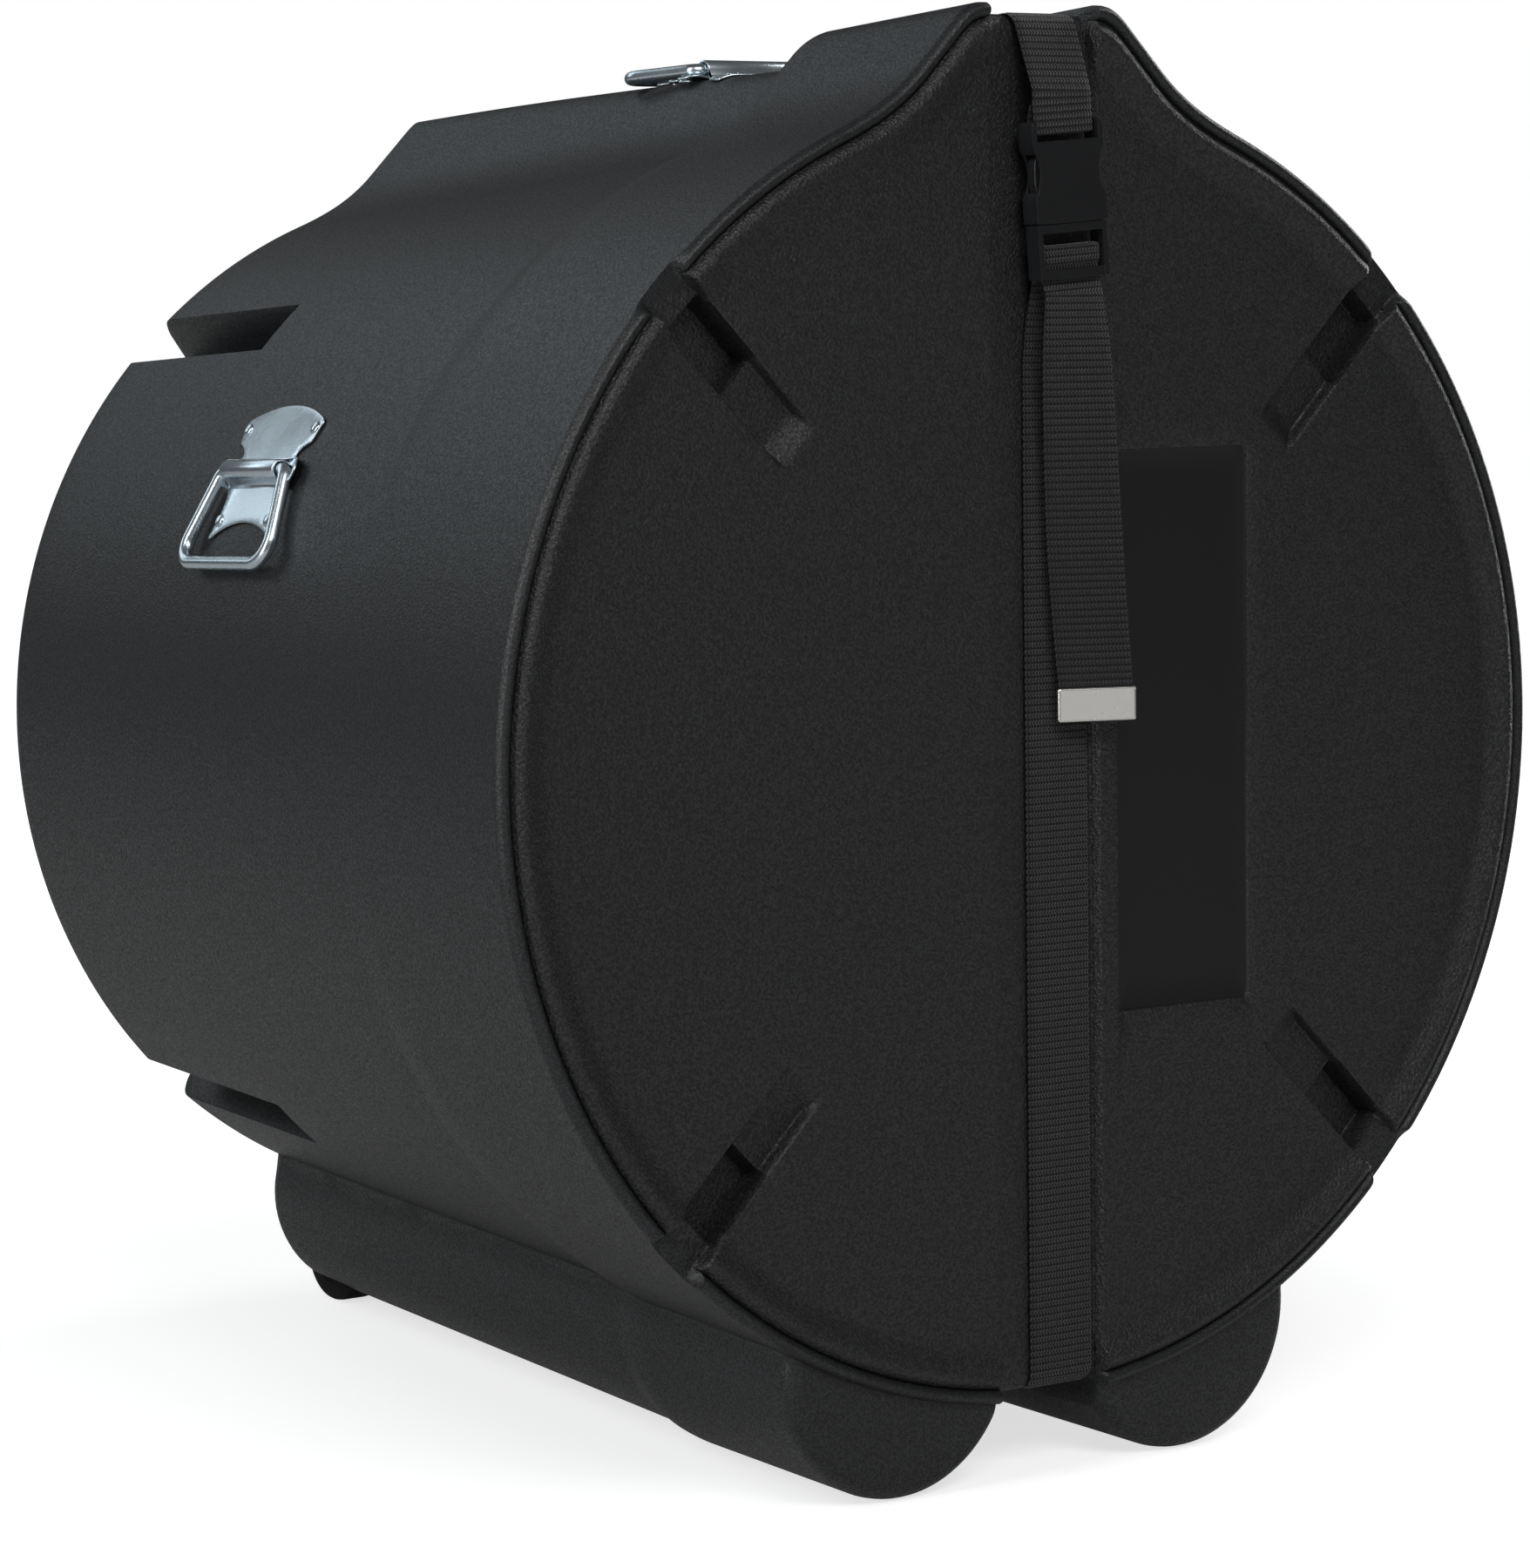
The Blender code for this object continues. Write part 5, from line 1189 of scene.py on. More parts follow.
def instance_tree(name, sizes, material, build):
    """A Geometry Nodes tree that puts one small shape on every point, with named inputs for its sizes."""
    tree = bpy.data.node_groups.new(name, "GeometryNodeTree")
    tree.interface.new_socket("Geometry", in_out="INPUT", socket_type="NodeSocketGeometry")
    for word, value in sizes.items():
        socket = tree.interface.new_socket(word, in_out="INPUT", socket_type="NodeSocketFloat")
        socket.default_value = value
        socket.subtype = "DISTANCE"
    tree.interface.new_socket("Material", in_out="INPUT", socket_type="NodeSocketMaterial")
    tree.interface.new_socket("Geometry", in_out="OUTPUT", socket_type="NodeSocketGeometry")
    source = tree.nodes.new("NodeGroupInput")
    result = tree.nodes.new("NodeGroupOutput")
    link = tree.links.new
    points, turn, shape = build(tree, source, link)
    place = tree.nodes.new("GeometryNodeInstanceOnPoints")
    link(points, place.inputs["Points"])
    link(turn, place.inputs["Rotation"])
    link(shape, place.inputs["Instance"])
    real = tree.nodes.new("GeometryNodeRealizeInstances")
    link(place.outputs["Instances"], real.inputs["Geometry"])
    finish = tree.nodes.new("GeometryNodeSetMaterial")
    link(real.outputs["Geometry"], finish.inputs["Geometry"])
    link(source.outputs["Material"], finish.inputs["Material"])
    link(finish.outputs["Geometry"], result.inputs["Geometry"])
    return tree


def aligned(tree, link, vector):
    """A rotation that turns z along a vector."""
    turn = tree.nodes.new("FunctionNodeAlignRotationToVector")
    turn.axis = "Z"
    link(vector, turn.inputs["Vector"])
    return turn.outputs["Rotation"]


def rivet_nodes(tree, source, link):
    """A domed head on a shank, standing along each point's own direction."""
    out = add_node(tree, "GeometryNodeInputNamedAttribute", data_type="FLOAT_VECTOR")
    out.inputs["Name"].default_value = "out"
    dome = add_node(tree, "GeometryNodeMeshUVSphere", {"Segments": 20, "Rings": 10, "Radius": 1.0})
    size = tree.nodes.new("ShaderNodeCombineXYZ")
    link(source.outputs["Head Radius"], size.inputs["X"])
    link(source.outputs["Head Radius"], size.inputs["Y"])
    link(source.outputs["Head Height"], size.inputs["Z"])
    press = tree.nodes.new("GeometryNodeTransform")
    link(dome.outputs["Mesh"], press.inputs["Geometry"])
    link(size.outputs["Vector"], press.inputs["Scale"])
    shank = add_node(tree, "GeometryNodeMeshCylinder", {"Vertices": 16})
    link(source.outputs["Shank Radius"], shank.inputs["Radius"])
    link(source.outputs["Shank Length"], shank.inputs["Depth"])
    drop = tree.nodes.new("ShaderNodeMath")
    drop.operation = "MULTIPLY"
    drop.inputs[1].default_value = -0.5
    link(source.outputs["Shank Length"], drop.inputs[0])
    low = tree.nodes.new("ShaderNodeCombineXYZ")
    link(drop.outputs[0], low.inputs["Z"])
    sink = tree.nodes.new("GeometryNodeTransform")
    link(shank.outputs["Mesh"], sink.inputs["Geometry"])
    link(low.outputs["Vector"], sink.inputs["Translation"])
    both = tree.nodes.new("GeometryNodeJoinGeometry")
    link(press.outputs["Geometry"], both.inputs["Geometry"])
    link(sink.outputs["Geometry"], both.inputs["Geometry"])
    return source.outputs["Geometry"], aligned(tree, link, out.outputs["Attribute"]), both.outputs["Geometry"]


def stitch_nodes(tree, source, link):
    """Short stitches at an even pitch along each line."""
    curve = tree.nodes.new("GeometryNodeMeshToCurve")
    link(source.outputs["Geometry"], curve.inputs["Mesh"])
    even = tree.nodes.new("GeometryNodeResampleCurve")
    even.mode = "LENGTH"
    link(curve.outputs["Curve"], even.inputs["Curve"])
    link(source.outputs["Pitch"], even.inputs["Length"])
    along = tree.nodes.new("GeometryNodeInputTangent")
    grain = add_node(tree, "GeometryNodeMeshUVSphere", {"Segments": 8, "Rings": 6, "Radius": 0.5})
    size = tree.nodes.new("ShaderNodeCombineXYZ")
    link(source.outputs["Thread"], size.inputs["X"])
    link(source.outputs["Thread"], size.inputs["Y"])
    link(source.outputs["Stitch"], size.inputs["Z"])
    press = tree.nodes.new("GeometryNodeTransform")
    link(grain.outputs["Mesh"], press.inputs["Geometry"])
    link(size.outputs["Vector"], press.inputs["Scale"])
    return even.outputs["Curve"], aligned(tree, link, along.outputs["Tangent"]), press.outputs["Geometry"]


def grown_mesh(mesh, tree, values):
    """Runs a Geometry Nodes tree on a mesh, with its inputs set by identifier."""
    obj = holder(mesh)
    step = obj.modifiers.new("grow", "NODES")
    step.node_group = tree
    for item in tree.interface.items_tree:
        if item.in_out == "INPUT" and item.name in values:
            step[item.identifier] = values[item.name]
    return settled(obj)


def rivet_row(name, frames, head, height, shank, length, body, nodes, material):
    """One piece with a rivet at every frame, made by Geometry Nodes."""
    seats = bpy.data.meshes.new(name)
    seats.from_pydata([tuple(spot.translation) for spot in frames], [], [])
    layer = seats.attributes.new("out", "FLOAT_VECTOR", "POINT")
    for item, spot in zip(layer.data, frames):
        item.vector = spot.col[2].xyz.normalized()
    sizes = {"Head Radius": head, "Head Height": height, "Shank Radius": shank, "Shank Length": length}
    tree = instance_tree(name, sizes, material, rivet_nodes)
    mesh = grown_mesh(seats, tree, {**sizes, "Material": material})
    return place_piece(name, mesh, body, nodes, material, smooth=50)


def stitch_row(name, lines, body, material, pitch=0.0042, stitch=0.0030, thread=0.0009):
    """One piece of stitches along straight lines, made by Geometry Nodes."""
    guide = bpy.data.meshes.new(name)
    points, edges = [], []
    for a, b in lines:
        edges.append((len(points), len(points) + 1))
        points += [tuple(a), tuple(b)]
    guide.from_pydata(points, edges, [])
    sizes = {"Pitch": pitch, "Stitch": stitch, "Thread": thread}
    tree = instance_tree(name, sizes, material, stitch_nodes)
    mesh = grown_mesh(guide, tree, {**sizes, "Material": material})
    return place_piece(name, mesh, body, None, material, smooth=60)


def build_webbing(settings):
    """Webbing over the base, the three bridging stretches, and the strap through the buckle."""
    web = webbing_material("black_webbing", settings.colour)
    thread = moulded_plastic("black_thread", (0.006, 0.006, 0.007), 0.6, 2400.0, 0.00005, 0.3)
    face = FACE_Y + GROOVE_FACE - STRAP_GAP
    back = DEPTH - GROOVE_BACK + STRAP_GAP
    corner = GROOVE_FILLET + STRAP_GAP
    over = [(y, strap_height(y, 1)) for y in (BRIDGE_END, RAMP_END, back)]
    over += [(y, strap_height(y, -1)) for y in (back, RAMP_END, RAMP_START, BRIDGE_END)]
    line = fillet(over, (0, 0.02, corner, corner, 0.01, 0.01, 0), steps=12)
    mesh = webbing_mesh("webbing_over_base", lay(line, STRAP_X_TOP, STRAP_X_BACK))
    place_piece("webbing_over_base", mesh, "base", ["strap_over_base"], web)
    middle = (BRIDGE_START + BRIDGE_END) / 2
    half_way = (STRAP_X_BACK + STRAP_X_LOW) / 2
    stretches = (
        ("webbing_top_stretch", 1, (BRIDGE_START, BRIDGE_END), (STRAP_X_TOP, STRAP_X_TOP),
         "base", "lid", "strap_top_bridge"),
        ("webbing_low_stretch", -1, (BRIDGE_END, middle), (STRAP_X_BACK, half_way),
         "base", "lid", "strap_bottom_bridge"),
        ("webbing_low_end", -1, (middle, BRIDGE_START), (half_way, STRAP_X_LOW),
         "lid", "strap_front", None),
    )
    for name, side, along, across, near, far, node in stretches:
        line = [Vector((y, strap_height(y, side))) for y in along]
        mesh = webbing_mesh(name, lay(line, *across))
        piece = place_piece(name, mesh, None, [node] if node else None, web)
        ends = [CASE @ Vector((across[0], y, strap_height(y, side))) for y in along]
        if side > 0:
            ends.reverse()
        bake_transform(piece)
    build_upper_webbing(web, thread, face, corner)
    build_lower_webbing(web, face, corner)


def build_upper_webbing(web, thread, face, corner):
    """From the crown down the face, round the female half's bar and back up behind itself."""
    turn = buckle_frame()
    reach = STRAP_THICK + SLIP
    back, front = FEMALE_BAR[1] + reach, FEMALE_BAR[0] - reach
    low, high = SLOT_HIGH - reach, FEMALE_LENGTH + 0.009
    behind = front + 2 * STRAP_THICK + SLIP + 0.0004
    loop = [(behind, high), (back, FEMALE_LENGTH + 0.0012), (back, low), (front, low), (front, high)]
    line = fillet(loop, (0, 0.0016, 0.0016, 0.0016, 0))
    samples = lay(line, 0.0, 0.0, PINCH_WIDTH, PINCH_WIDTH, turn)
    top = turn @ Vector((0.0, front, high))
    bend = [(top.y - 0.0004, top.z + 0.006), (face - STRAP_THICK, strap_height(face, 1) + STRAP_THICK),
            (BRIDGE_START, strap_height(BRIDGE_START, 1) + STRAP_THICK)]
    line = fillet(bend, (0, corner + STRAP_THICK, 0))
    samples += lay(line, top.x - 0.0003, STRAP_X_TOP, PINCH_WIDTH, STRAP_WIDTH)
    flipped = [(place, -wide, width) for place, wide, width in samples]
    mesh = webbing_mesh("webbing_upper", flipped)
    place_piece("webbing_upper", mesh, "lid", ["strap_upper"], web)
    y = top.y - 0.0004
    level = 0.3425
    half = PINCH_WIDTH / 2 - 0.005
    line = [(Vector((top.x - half, y - 0.0003, level)), Vector((top.x + half, y - 0.0003, level)))]
    stitch_row("webbing_seam", line, "lid", thread)


def build_lower_webbing(web, face, corner):
    """From under the case up the face, over the ladder bar, and down as the free tail."""
    turn = buckle_frame()
    reach = STRAP_THICK + SLIP
    start = [(BRIDGE_START, strap_height(BRIDGE_START, -1)), (face, strap_height(face, -1)), (face, 0.150)]
    samples = lay(fillet(start, (0, corner, 0)), STRAP_X_LOW, STRAP_X_LOW)
    rise = [Vector((face, 0.200)), Vector((face - 0.0004, 0.222)), Vector((face - 0.0023, 0.2313))]
    samples += lay(rise, STRAP_X_LOW, STRAP_X_LOW + 0.0017, STRAP_WIDTH - 0.001, PINCH_WIDTH)
    back, front = LADDER_BAR_Y[1] + reach, LADDER_BAR_Y[0] - reach
    top = LADDER_BAR_Z[1] + reach
    under = END_BAR_BACK + SLIP + 0.0002
    wrap = [
        (back + 0.0012, LADDER_BAR_Z[0] - 0.003), (back, LADDER_BAR_Z[0]), (back, top), (front, top),
        (front, LADDER_BAR_Z[0] - SLIP), (under, END_BAR_Z + 0.0002), (under, -MALE_LENGTH - 0.0008),
        (TAIL_Y - BUCKLE_PLACE[1] - STRAP_THICK, -MALE_LENGTH - 0.0075),
    ]
    radii = (0, 0, 0.0018, 0.0018, 0, 0, 0, 0)
    samples += lay(fillet(wrap, radii), 0.0, 0.0, PINCH_WIDTH, PINCH_WIDTH, turn)
    tail = tail_samples(samples[-1])
    samples += tail
    mesh = webbing_mesh("webbing_lower", samples)
    place_piece("webbing_lower", mesh, "strap_front", ["strap_lower"], web)
    place, wide, width = tail[-2]
    build_tip(place, tail[-1][0], wide)


def curve_point(a, b, c, d, t):
    """The value at a share t between b and c, on the smooth curve through a, b, c and d."""
    square = 2 * a - 5 * b + 4 * c - d
    cube = 3 * b - a - 3 * c + d
    return 0.5 * (2 * b + (c - a) * t + square * t * t + cube * t ** 3)


def tail_samples(last):
    """The free tail: it hangs in one smooth, slowly turning curve from the buckle to the tip."""
    keys = [(last[0].x, last[0].z, 0.0, last[2])]
    for x, z, share in zip(TAIL_X[1:], TAIL_Z[1:], (0.5, 1.0, 1.0, 0.9)):
        keys.append((x, z, math.radians(TAIL_TWIST * share), STRAP_WIDTH))
    steps = 16
    result = []
    for i in range(len(keys) - 1):
        before, here = keys[max(0, i - 1)], keys[i]
        there, after = keys[i + 1], keys[min(len(keys) - 1, i + 2)]
        for k in range(1, steps + 1):
            t = k / steps
            numbers = zip(before, here, there, after)
            x, z, turn, width = (curve_point(a, b, c, d, t) for a, b, c, d in numbers)
            y = mix(last[0].y, TAIL_Y - STRAP_THICK, min(1.0, (i * steps + k) / 10))
            wide = Vector((math.cos(turn), -math.sin(turn), 0.0))
            result.append((Vector((x, y, z)), wide, min(width, STRAP_WIDTH)))
    place, wide, width = result[-1]
    result.append((place + Vector((0.0, 0.0, -TIP_SLOT + 0.0006)), wide, width))
    return result


def build_tip(start, end, wide):
    """A folded nickel tip with a slot for the webbing and rounded edges."""
    up = (start - end).normalized()
    out = up.cross(wide).normalized()
    side = out.cross(up).normalized()
    turn = frame_matrix(side, out, side.cross(out), end + out * STRAP_THICK / 2)
    half, thick = STRAP_WIDTH / 2 + SLIP, STRAP_THICK / 2 + SLIP
    sign = 1.0 if turn.col[2].xyz.dot(up) > 0 else -1.0
    low, high = sorted((-sign * (TIP_LENGTH - TIP_SLOT), sign * TIP_SLOT))
    corners = ((-half - TIP_WALL, -thick - TIP_WALL, low), (half + TIP_WALL, thick + TIP_WALL, high))
    block = box_mesh("strap_tip", *corners, bevel=0.0015, segments=5)
    low, high = sorted((-sign * SLIP, sign * 0.04))
    slot = box_mesh("tip_slot", (-half, -thick, low), (half, thick, high))
    steps = [("DIFFERENCE", slot)]
    mesh = carved(block, steps, rounding=0.0002, segments=2)
    nickel = plated_metal("tip_nickel", (0.80, 0.785, 0.75), 0.26)
    place_piece("tip_folded", mesh, "strap_front", ["strap_tip"], nickel, smooth=None, matrix=turn)


def build_buckle(settings):
    """Female half, male half and the two release prongs, with rounded moulded edges."""
    turn = buckle_frame()
    plastic = moulded_plastic("buckle_plastic", settings.colour, 0.24, 1500.0, 0.00002, 0.20)
    half, thick, wall = BUCKLE_HALF, BUCKLE_THICK / 2, FEMALE_WALL
    outline = female_outline()
    lay_up = Matrix(((1, 0, 0, 0), (0, 0, -1, 0), (0, 1, 0, 0), (0, 0, 0, 1)))
    body = prism_mesh("female", outline, -thick, thick, lay_up)
    cuts = [
        ((-half + wall, -thick + wall, -0.02), (half - wall, thick - wall, CAVITY_END)),
        ((-SLOT_HALF, -0.02, SLOT_LOW), (SLOT_HALF, 0.02, SLOT_HIGH)),
        ((-SLOT_HALF, -0.02, SLOT_HIGH - 0.0002), (SLOT_HALF, FEMALE_BAR[0], 0.08)),
        ((-SLOT_HALF, FEMALE_BAR[1], SLOT_HIGH - 0.0002), (SLOT_HALF, 0.02, 0.08)),
    ]
    steps = [("DIFFERENCE", box_mesh("cut", low, high)) for low, high in cuts]
    mesh = carved(body, steps, rounding=0.0009, segments=3, limit=50)
    place_piece("buckle_female_half", mesh, "lid", ["buckle_female"], plastic,
                smooth=None, matrix=turn)
    thick = MALE_THICK / 2
    span = MALE_HALF - MALE_RAIL
    block = box_mesh("male", (-MALE_HALF, -thick, -MALE_LENGTH), (MALE_HALF, thick, 0.0))
    cavity_half = half - wall - SLIP
    cavity_thick = BUCKLE_THICK / 2 - wall - SLIP
    window = box_mesh("window", (-span, -0.02, -MALE_LENGTH - 0.01), (span, 0.02, -MALE_SHOULDER))
    steps = [("DIFFERENCE", window)]
    bars = [
        ((-span - 0.001, LADDER_BAR_Y[0], LADDER_BAR_Z[0]), (span + 0.001, LADDER_BAR_Y[1], LADDER_BAR_Z[1])),
        ((-cavity_half, -cavity_thick, -0.002), (cavity_half, cavity_thick, MALE_PLUG)),
        ((-0.003, -0.0025, MALE_PLUG - 0.001), (0.003, 0.0025, PRONG_LENGTH)),
    ]
    steps += [("UNION", box_mesh("bar", low, high)) for low, high in bars]
    low = [(-span - 0.001, END_BAR_Z)] + [
        (span * k / 8, -MALE_LENGTH + 0.0004 - 0.0012 * (1 - (k / 8) ** 2)) for k in range(-8, 9)
    ] + [(span + 0.001, END_BAR_Z)]
    end_bar = prism_mesh("end_bar", low, -END_BAR_BACK, thick - 0.0002, lay_up)
    steps.append(("UNION", end_bar))
    mesh = carved(block, steps, rounding=0.0008, segments=3, limit=50)
    place_piece("buckle_male_half", mesh, "strap_front", ["buckle_male"], plastic,
                smooth=None, matrix=turn)
    swell, root = cavity_half - PRONG_ROOT_X - PRONG_HALF, PRONG_HALF
    shape = [
        (-root, SLIP), (root, SLIP), (root, 0.006), (root + swell, 0.014), (root + swell, 0.021),
        (root + swell * 0.4, 0.027), (-root * 0.6, PRONG_LENGTH), (-root, PRONG_LENGTH - 0.003),
    ]
    shape = fillet(shape, (0, 0, 0.004, 0.004, 0.004, 0.002, 0.001, 0.001), steps=6, closed=True)
    for sign, word in ((-1, "left"), (1, "right")):
        points = [(sign * point[0], point[1]) for point in shape]
        prong = prism_mesh("prong", points, -PRONG_THICK / 2, PRONG_THICK / 2, lay_up)
        mesh = carved(prong, [], rounding=0.0006, segments=2, limit=50)
        spot = turn @ Matrix.Translation((sign * PRONG_ROOT_X, 0, MALE_PLUG))
        place_piece(f"release_prong_{word}", mesh, f"prong_{word}", [f"buckle_prong_{word}"], plastic,
                    smooth=None, matrix=spot)


def female_outline():
    """The female half from the front: tapered arms, two scallops and a slightly bowed lower edge."""
    half = BUCKLE_HALF
    right = []
    for k in range(9):
        x = half * k / 8
        right.append((x, SLIP + 0.0006 * (k / 8) ** 2))
    right.append((half, SCALLOP_Z - 0.0155))
    centre = half + SCALLOP_RADIUS - SCALLOP_DEPTH
    reach = math.acos((centre - half) / SCALLOP_RADIUS)
    for k in range(17):
        a = -reach + 2 * reach * k / 16
        right.append((centre - SCALLOP_RADIUS * math.cos(a), SCALLOP_Z + SCALLOP_RADIUS * math.sin(a)))
    right += [(half, SCALLOP_Z + 0.0150), (half, FEMALE_LENGTH - 0.004), (half - 0.0008, FEMALE_LENGTH - 0.0012),
              (half - 0.0022, FEMALE_LENGTH), (SLOT_HALF - 0.002, FEMALE_LENGTH)]
    left = [(-x, z) for x, z in reversed(right[1:])]
    return right + left


def skin_point(angle, y, inset=0.0):
    """A point on the skin of the base."""
    radius = outline_radius(angle, y, inset)
    return Vector((radius * math.cos(angle), y, radius * math.sin(angle)))


def handle_frames():
    """Frames of the three handles: x along the tunnel, y towards the upper fan, z out of the skin."""
    frames = {}
    for word, side in (("left", 1), ("right", -1)):
        angle = math.radians(SIDE_ANGLE)
        near, far = skin_point(angle, SIDE_Y - 0.03), skin_point(angle, SIDE_Y + 0.03)
        place = (near + far) / 2
        along = (far - near).normalized()
        place.x *= side
        along.x *= side
        out = Vector((math.cos(angle) * side, 0.0, math.sin(angle)))
        out = (out - along * out.dot(along)).normalized()
        u = along * -side
        frames[word] = frame_matrix(u, out.cross(u), out, place)
    near, far = skin_point(math.pi / 2, TOP_Y - 0.04), skin_point(math.pi / 2, TOP_Y + 0.04)
    u = Vector((-1.0, 0.0, 0.0))
    v = -(far - near).normalized()
    frames["top"] = frame_matrix(u, v, u.cross(v), (near + far) / 2)
    return frames


def seat(turn, u, v):
    """The skin under a spot of a handle, and the direction out of it."""
    spot = turn @ Vector((u, v, 0.0))
    angle = math.atan2(spot.z, spot.x)
    here = skin_point(angle, spot.y)
    wide = skin_point(angle + 0.005, spot.y) - skin_point(angle - 0.005, spot.y)
    deep = skin_point(angle, spot.y + 0.005) - skin_point(angle, spot.y - 0.005)
    return here, deep.cross(wide).normalized(), deep.normalized()


def plate_half():
    """Right half of a handle plate: fan above, waist, ear beside the tunnel, neck and fan below."""
    top = []
    for i in range(9):
        u = 0.0405 * i / 8
        top.append((u, -0.058 + math.sqrt(0.100 ** 2 - u * u)))
    side = [
        (0.0424, 0.0322), (0.0431, 0.0302), (0.0422, 0.0260), (0.0408, 0.0205), (0.0392, 0.0180),
        (0.0365, 0.0168), (0.0335, 0.0152), (0.0310, 0.0130), (0.0300, 0.0110), (0.0308, 0.0094),
        (0.0335, 0.0088), (0.0378, 0.0082), (0.0412, 0.0062), (0.0432, 0.0030), (0.0438, -0.0002),
        (0.0430, -0.0035), (0.0408, -0.0063), (0.0370, -0.0078), (0.0325, -0.0093),
        (0.0300, -0.0118), (0.0290, -0.0150), (0.0294, -0.0205), (0.0310, -0.0262),
        (0.0332, -0.0318), (0.0350, -0.0350), (0.0354, -0.0366), (0.0345, -0.0374),
    ]
    low = []
    arc = 0.0656
    for i in range(8, -1, -1):
        u = 0.0330 * i / 8
        low.append((u, -0.028 - arc + math.sqrt(arc ** 2 - u * u)))
    return top + side + low


def smooth_loop(points, spacing):
    """A closed line through points, rounded and evenly spaced."""
    count = len(points)
    dense = []
    for i in range(count):
        a, b, c, d = (Vector(points[(i + k - 1) % count]) for k in range(4))
        for k in range(6):
            t = k / 6
            dense.append(curve_point(a, b, c, d, t))
    lengths = [0.0]
    for i, point in enumerate(dense):
        lengths.append(lengths[-1] + (dense[(i + 1) % len(dense)] - point).length)
    total = round(lengths[-1] / spacing)
    result = []
    i = 0
    for k in range(total):
        at = lengths[-1] * k / total
        while lengths[i + 1] < at:
            i += 1
        share = (at - lengths[i]) / max(1e-9, lengths[i + 1] - lengths[i])
        result.append(dense[i].lerp(dense[(i + 1) % len(dense)], share))
    return result


def inset_loop(points, distance):
    """A closed line moved inwards by a distance. The points run clockwise or against."""
    count = len(points)
    pairs = zip(points, points[1:] + points[:1])
    area = sum(here.x * there.y - there.x * here.y for here, there in pairs)
    sign = 1.0 if area > 0 else -1.0
    result = []
    for i, point in enumerate(points):
        ahead = (points[(i + 1) % count] - points[i - 1]).normalized()
        result.append(point + Vector((-ahead.y, ahead.x)) * distance * sign)
    return result


def plate_mesh(name, turn):
    """A pressed plate on the skin with rolled edges and flared ears."""
    half = plate_half()
    points = half + [(-u, v) for u, v in reversed(half[1:-1])]
    rim = smooth_loop(points, 0.0011)
    edge = PLATE_THICK * 0.5
    rings = [(edge, PLATE_THICK)]
    for k in range(1, 8):
        a = math.pi * k / 8
        rings.append((edge * (1 - math.sin(a)), edge + edge * math.cos(a)))
    rings.append((edge, 0.0))
    work = bmesh.new()

    def put(point, level):
        here, out, _ = seat(turn, point.x, point.y)
        ear = ease(abs(point.x), 0.0305, 0.044) * ease(0.0135 - abs(point.y), 0.0, 0.006)
        return work.verts.new(here + out * (PLATE_GAP + level + 0.0042 * ear))

    loops = [[put(point, level) for point in inset_loop(rim, inset)] for inset, level in rings]
    count = len(rim)
    for near, far in zip(loops, loops[1:]):
        for k in range(count):
            j = (k + 1) % count
            work.faces.new((near[k], near[j], far[j], far[k]))
    edge_line = inset_loop(rim, edge)
    inner = []
    step = 0.0035
    reach = 0.046
    cells = int(reach / step)
    for i in range(-cells, cells + 1):
        for j in range(-cells, cells + 1):
            spot = Vector((i * step, j * step))
            if inside(spot, edge_line) and min((spot - p).length for p in edge_line) > step * 0.5:
                inner.append(spot)
    flat = [Vector(p) for p in edge_line] + inner
    border = [(k, (k + 1) % count) for k in range(count)]
    done = delaunay_2d_cdt(flat, border, [], 1, 1e-7)
    for top, ring in ((PLATE_THICK, loops[0]), (0.0, loops[-1])):
        verts = ring + [put(spot, top) for spot in inner]
        for tri in done[2]:
            if len(set(tri)) == 3 and max(tri) < len(verts):
                try:
                    work.faces.new([verts[k] for k in tri])
                except ValueError:
                    continue
    return mesh_from(name, work)


def inside(spot, line):
    """Whether a spot lies within a closed line."""
    odd = False
    for i, a in enumerate(line):
        b = line[i - 1]
        if (a.y > spot.y) != (b.y > spot.y) and spot.x < (b.x - a.x) * (spot.y - a.y) / (b.y - a.y) + a.x:
            odd = not odd
    return odd


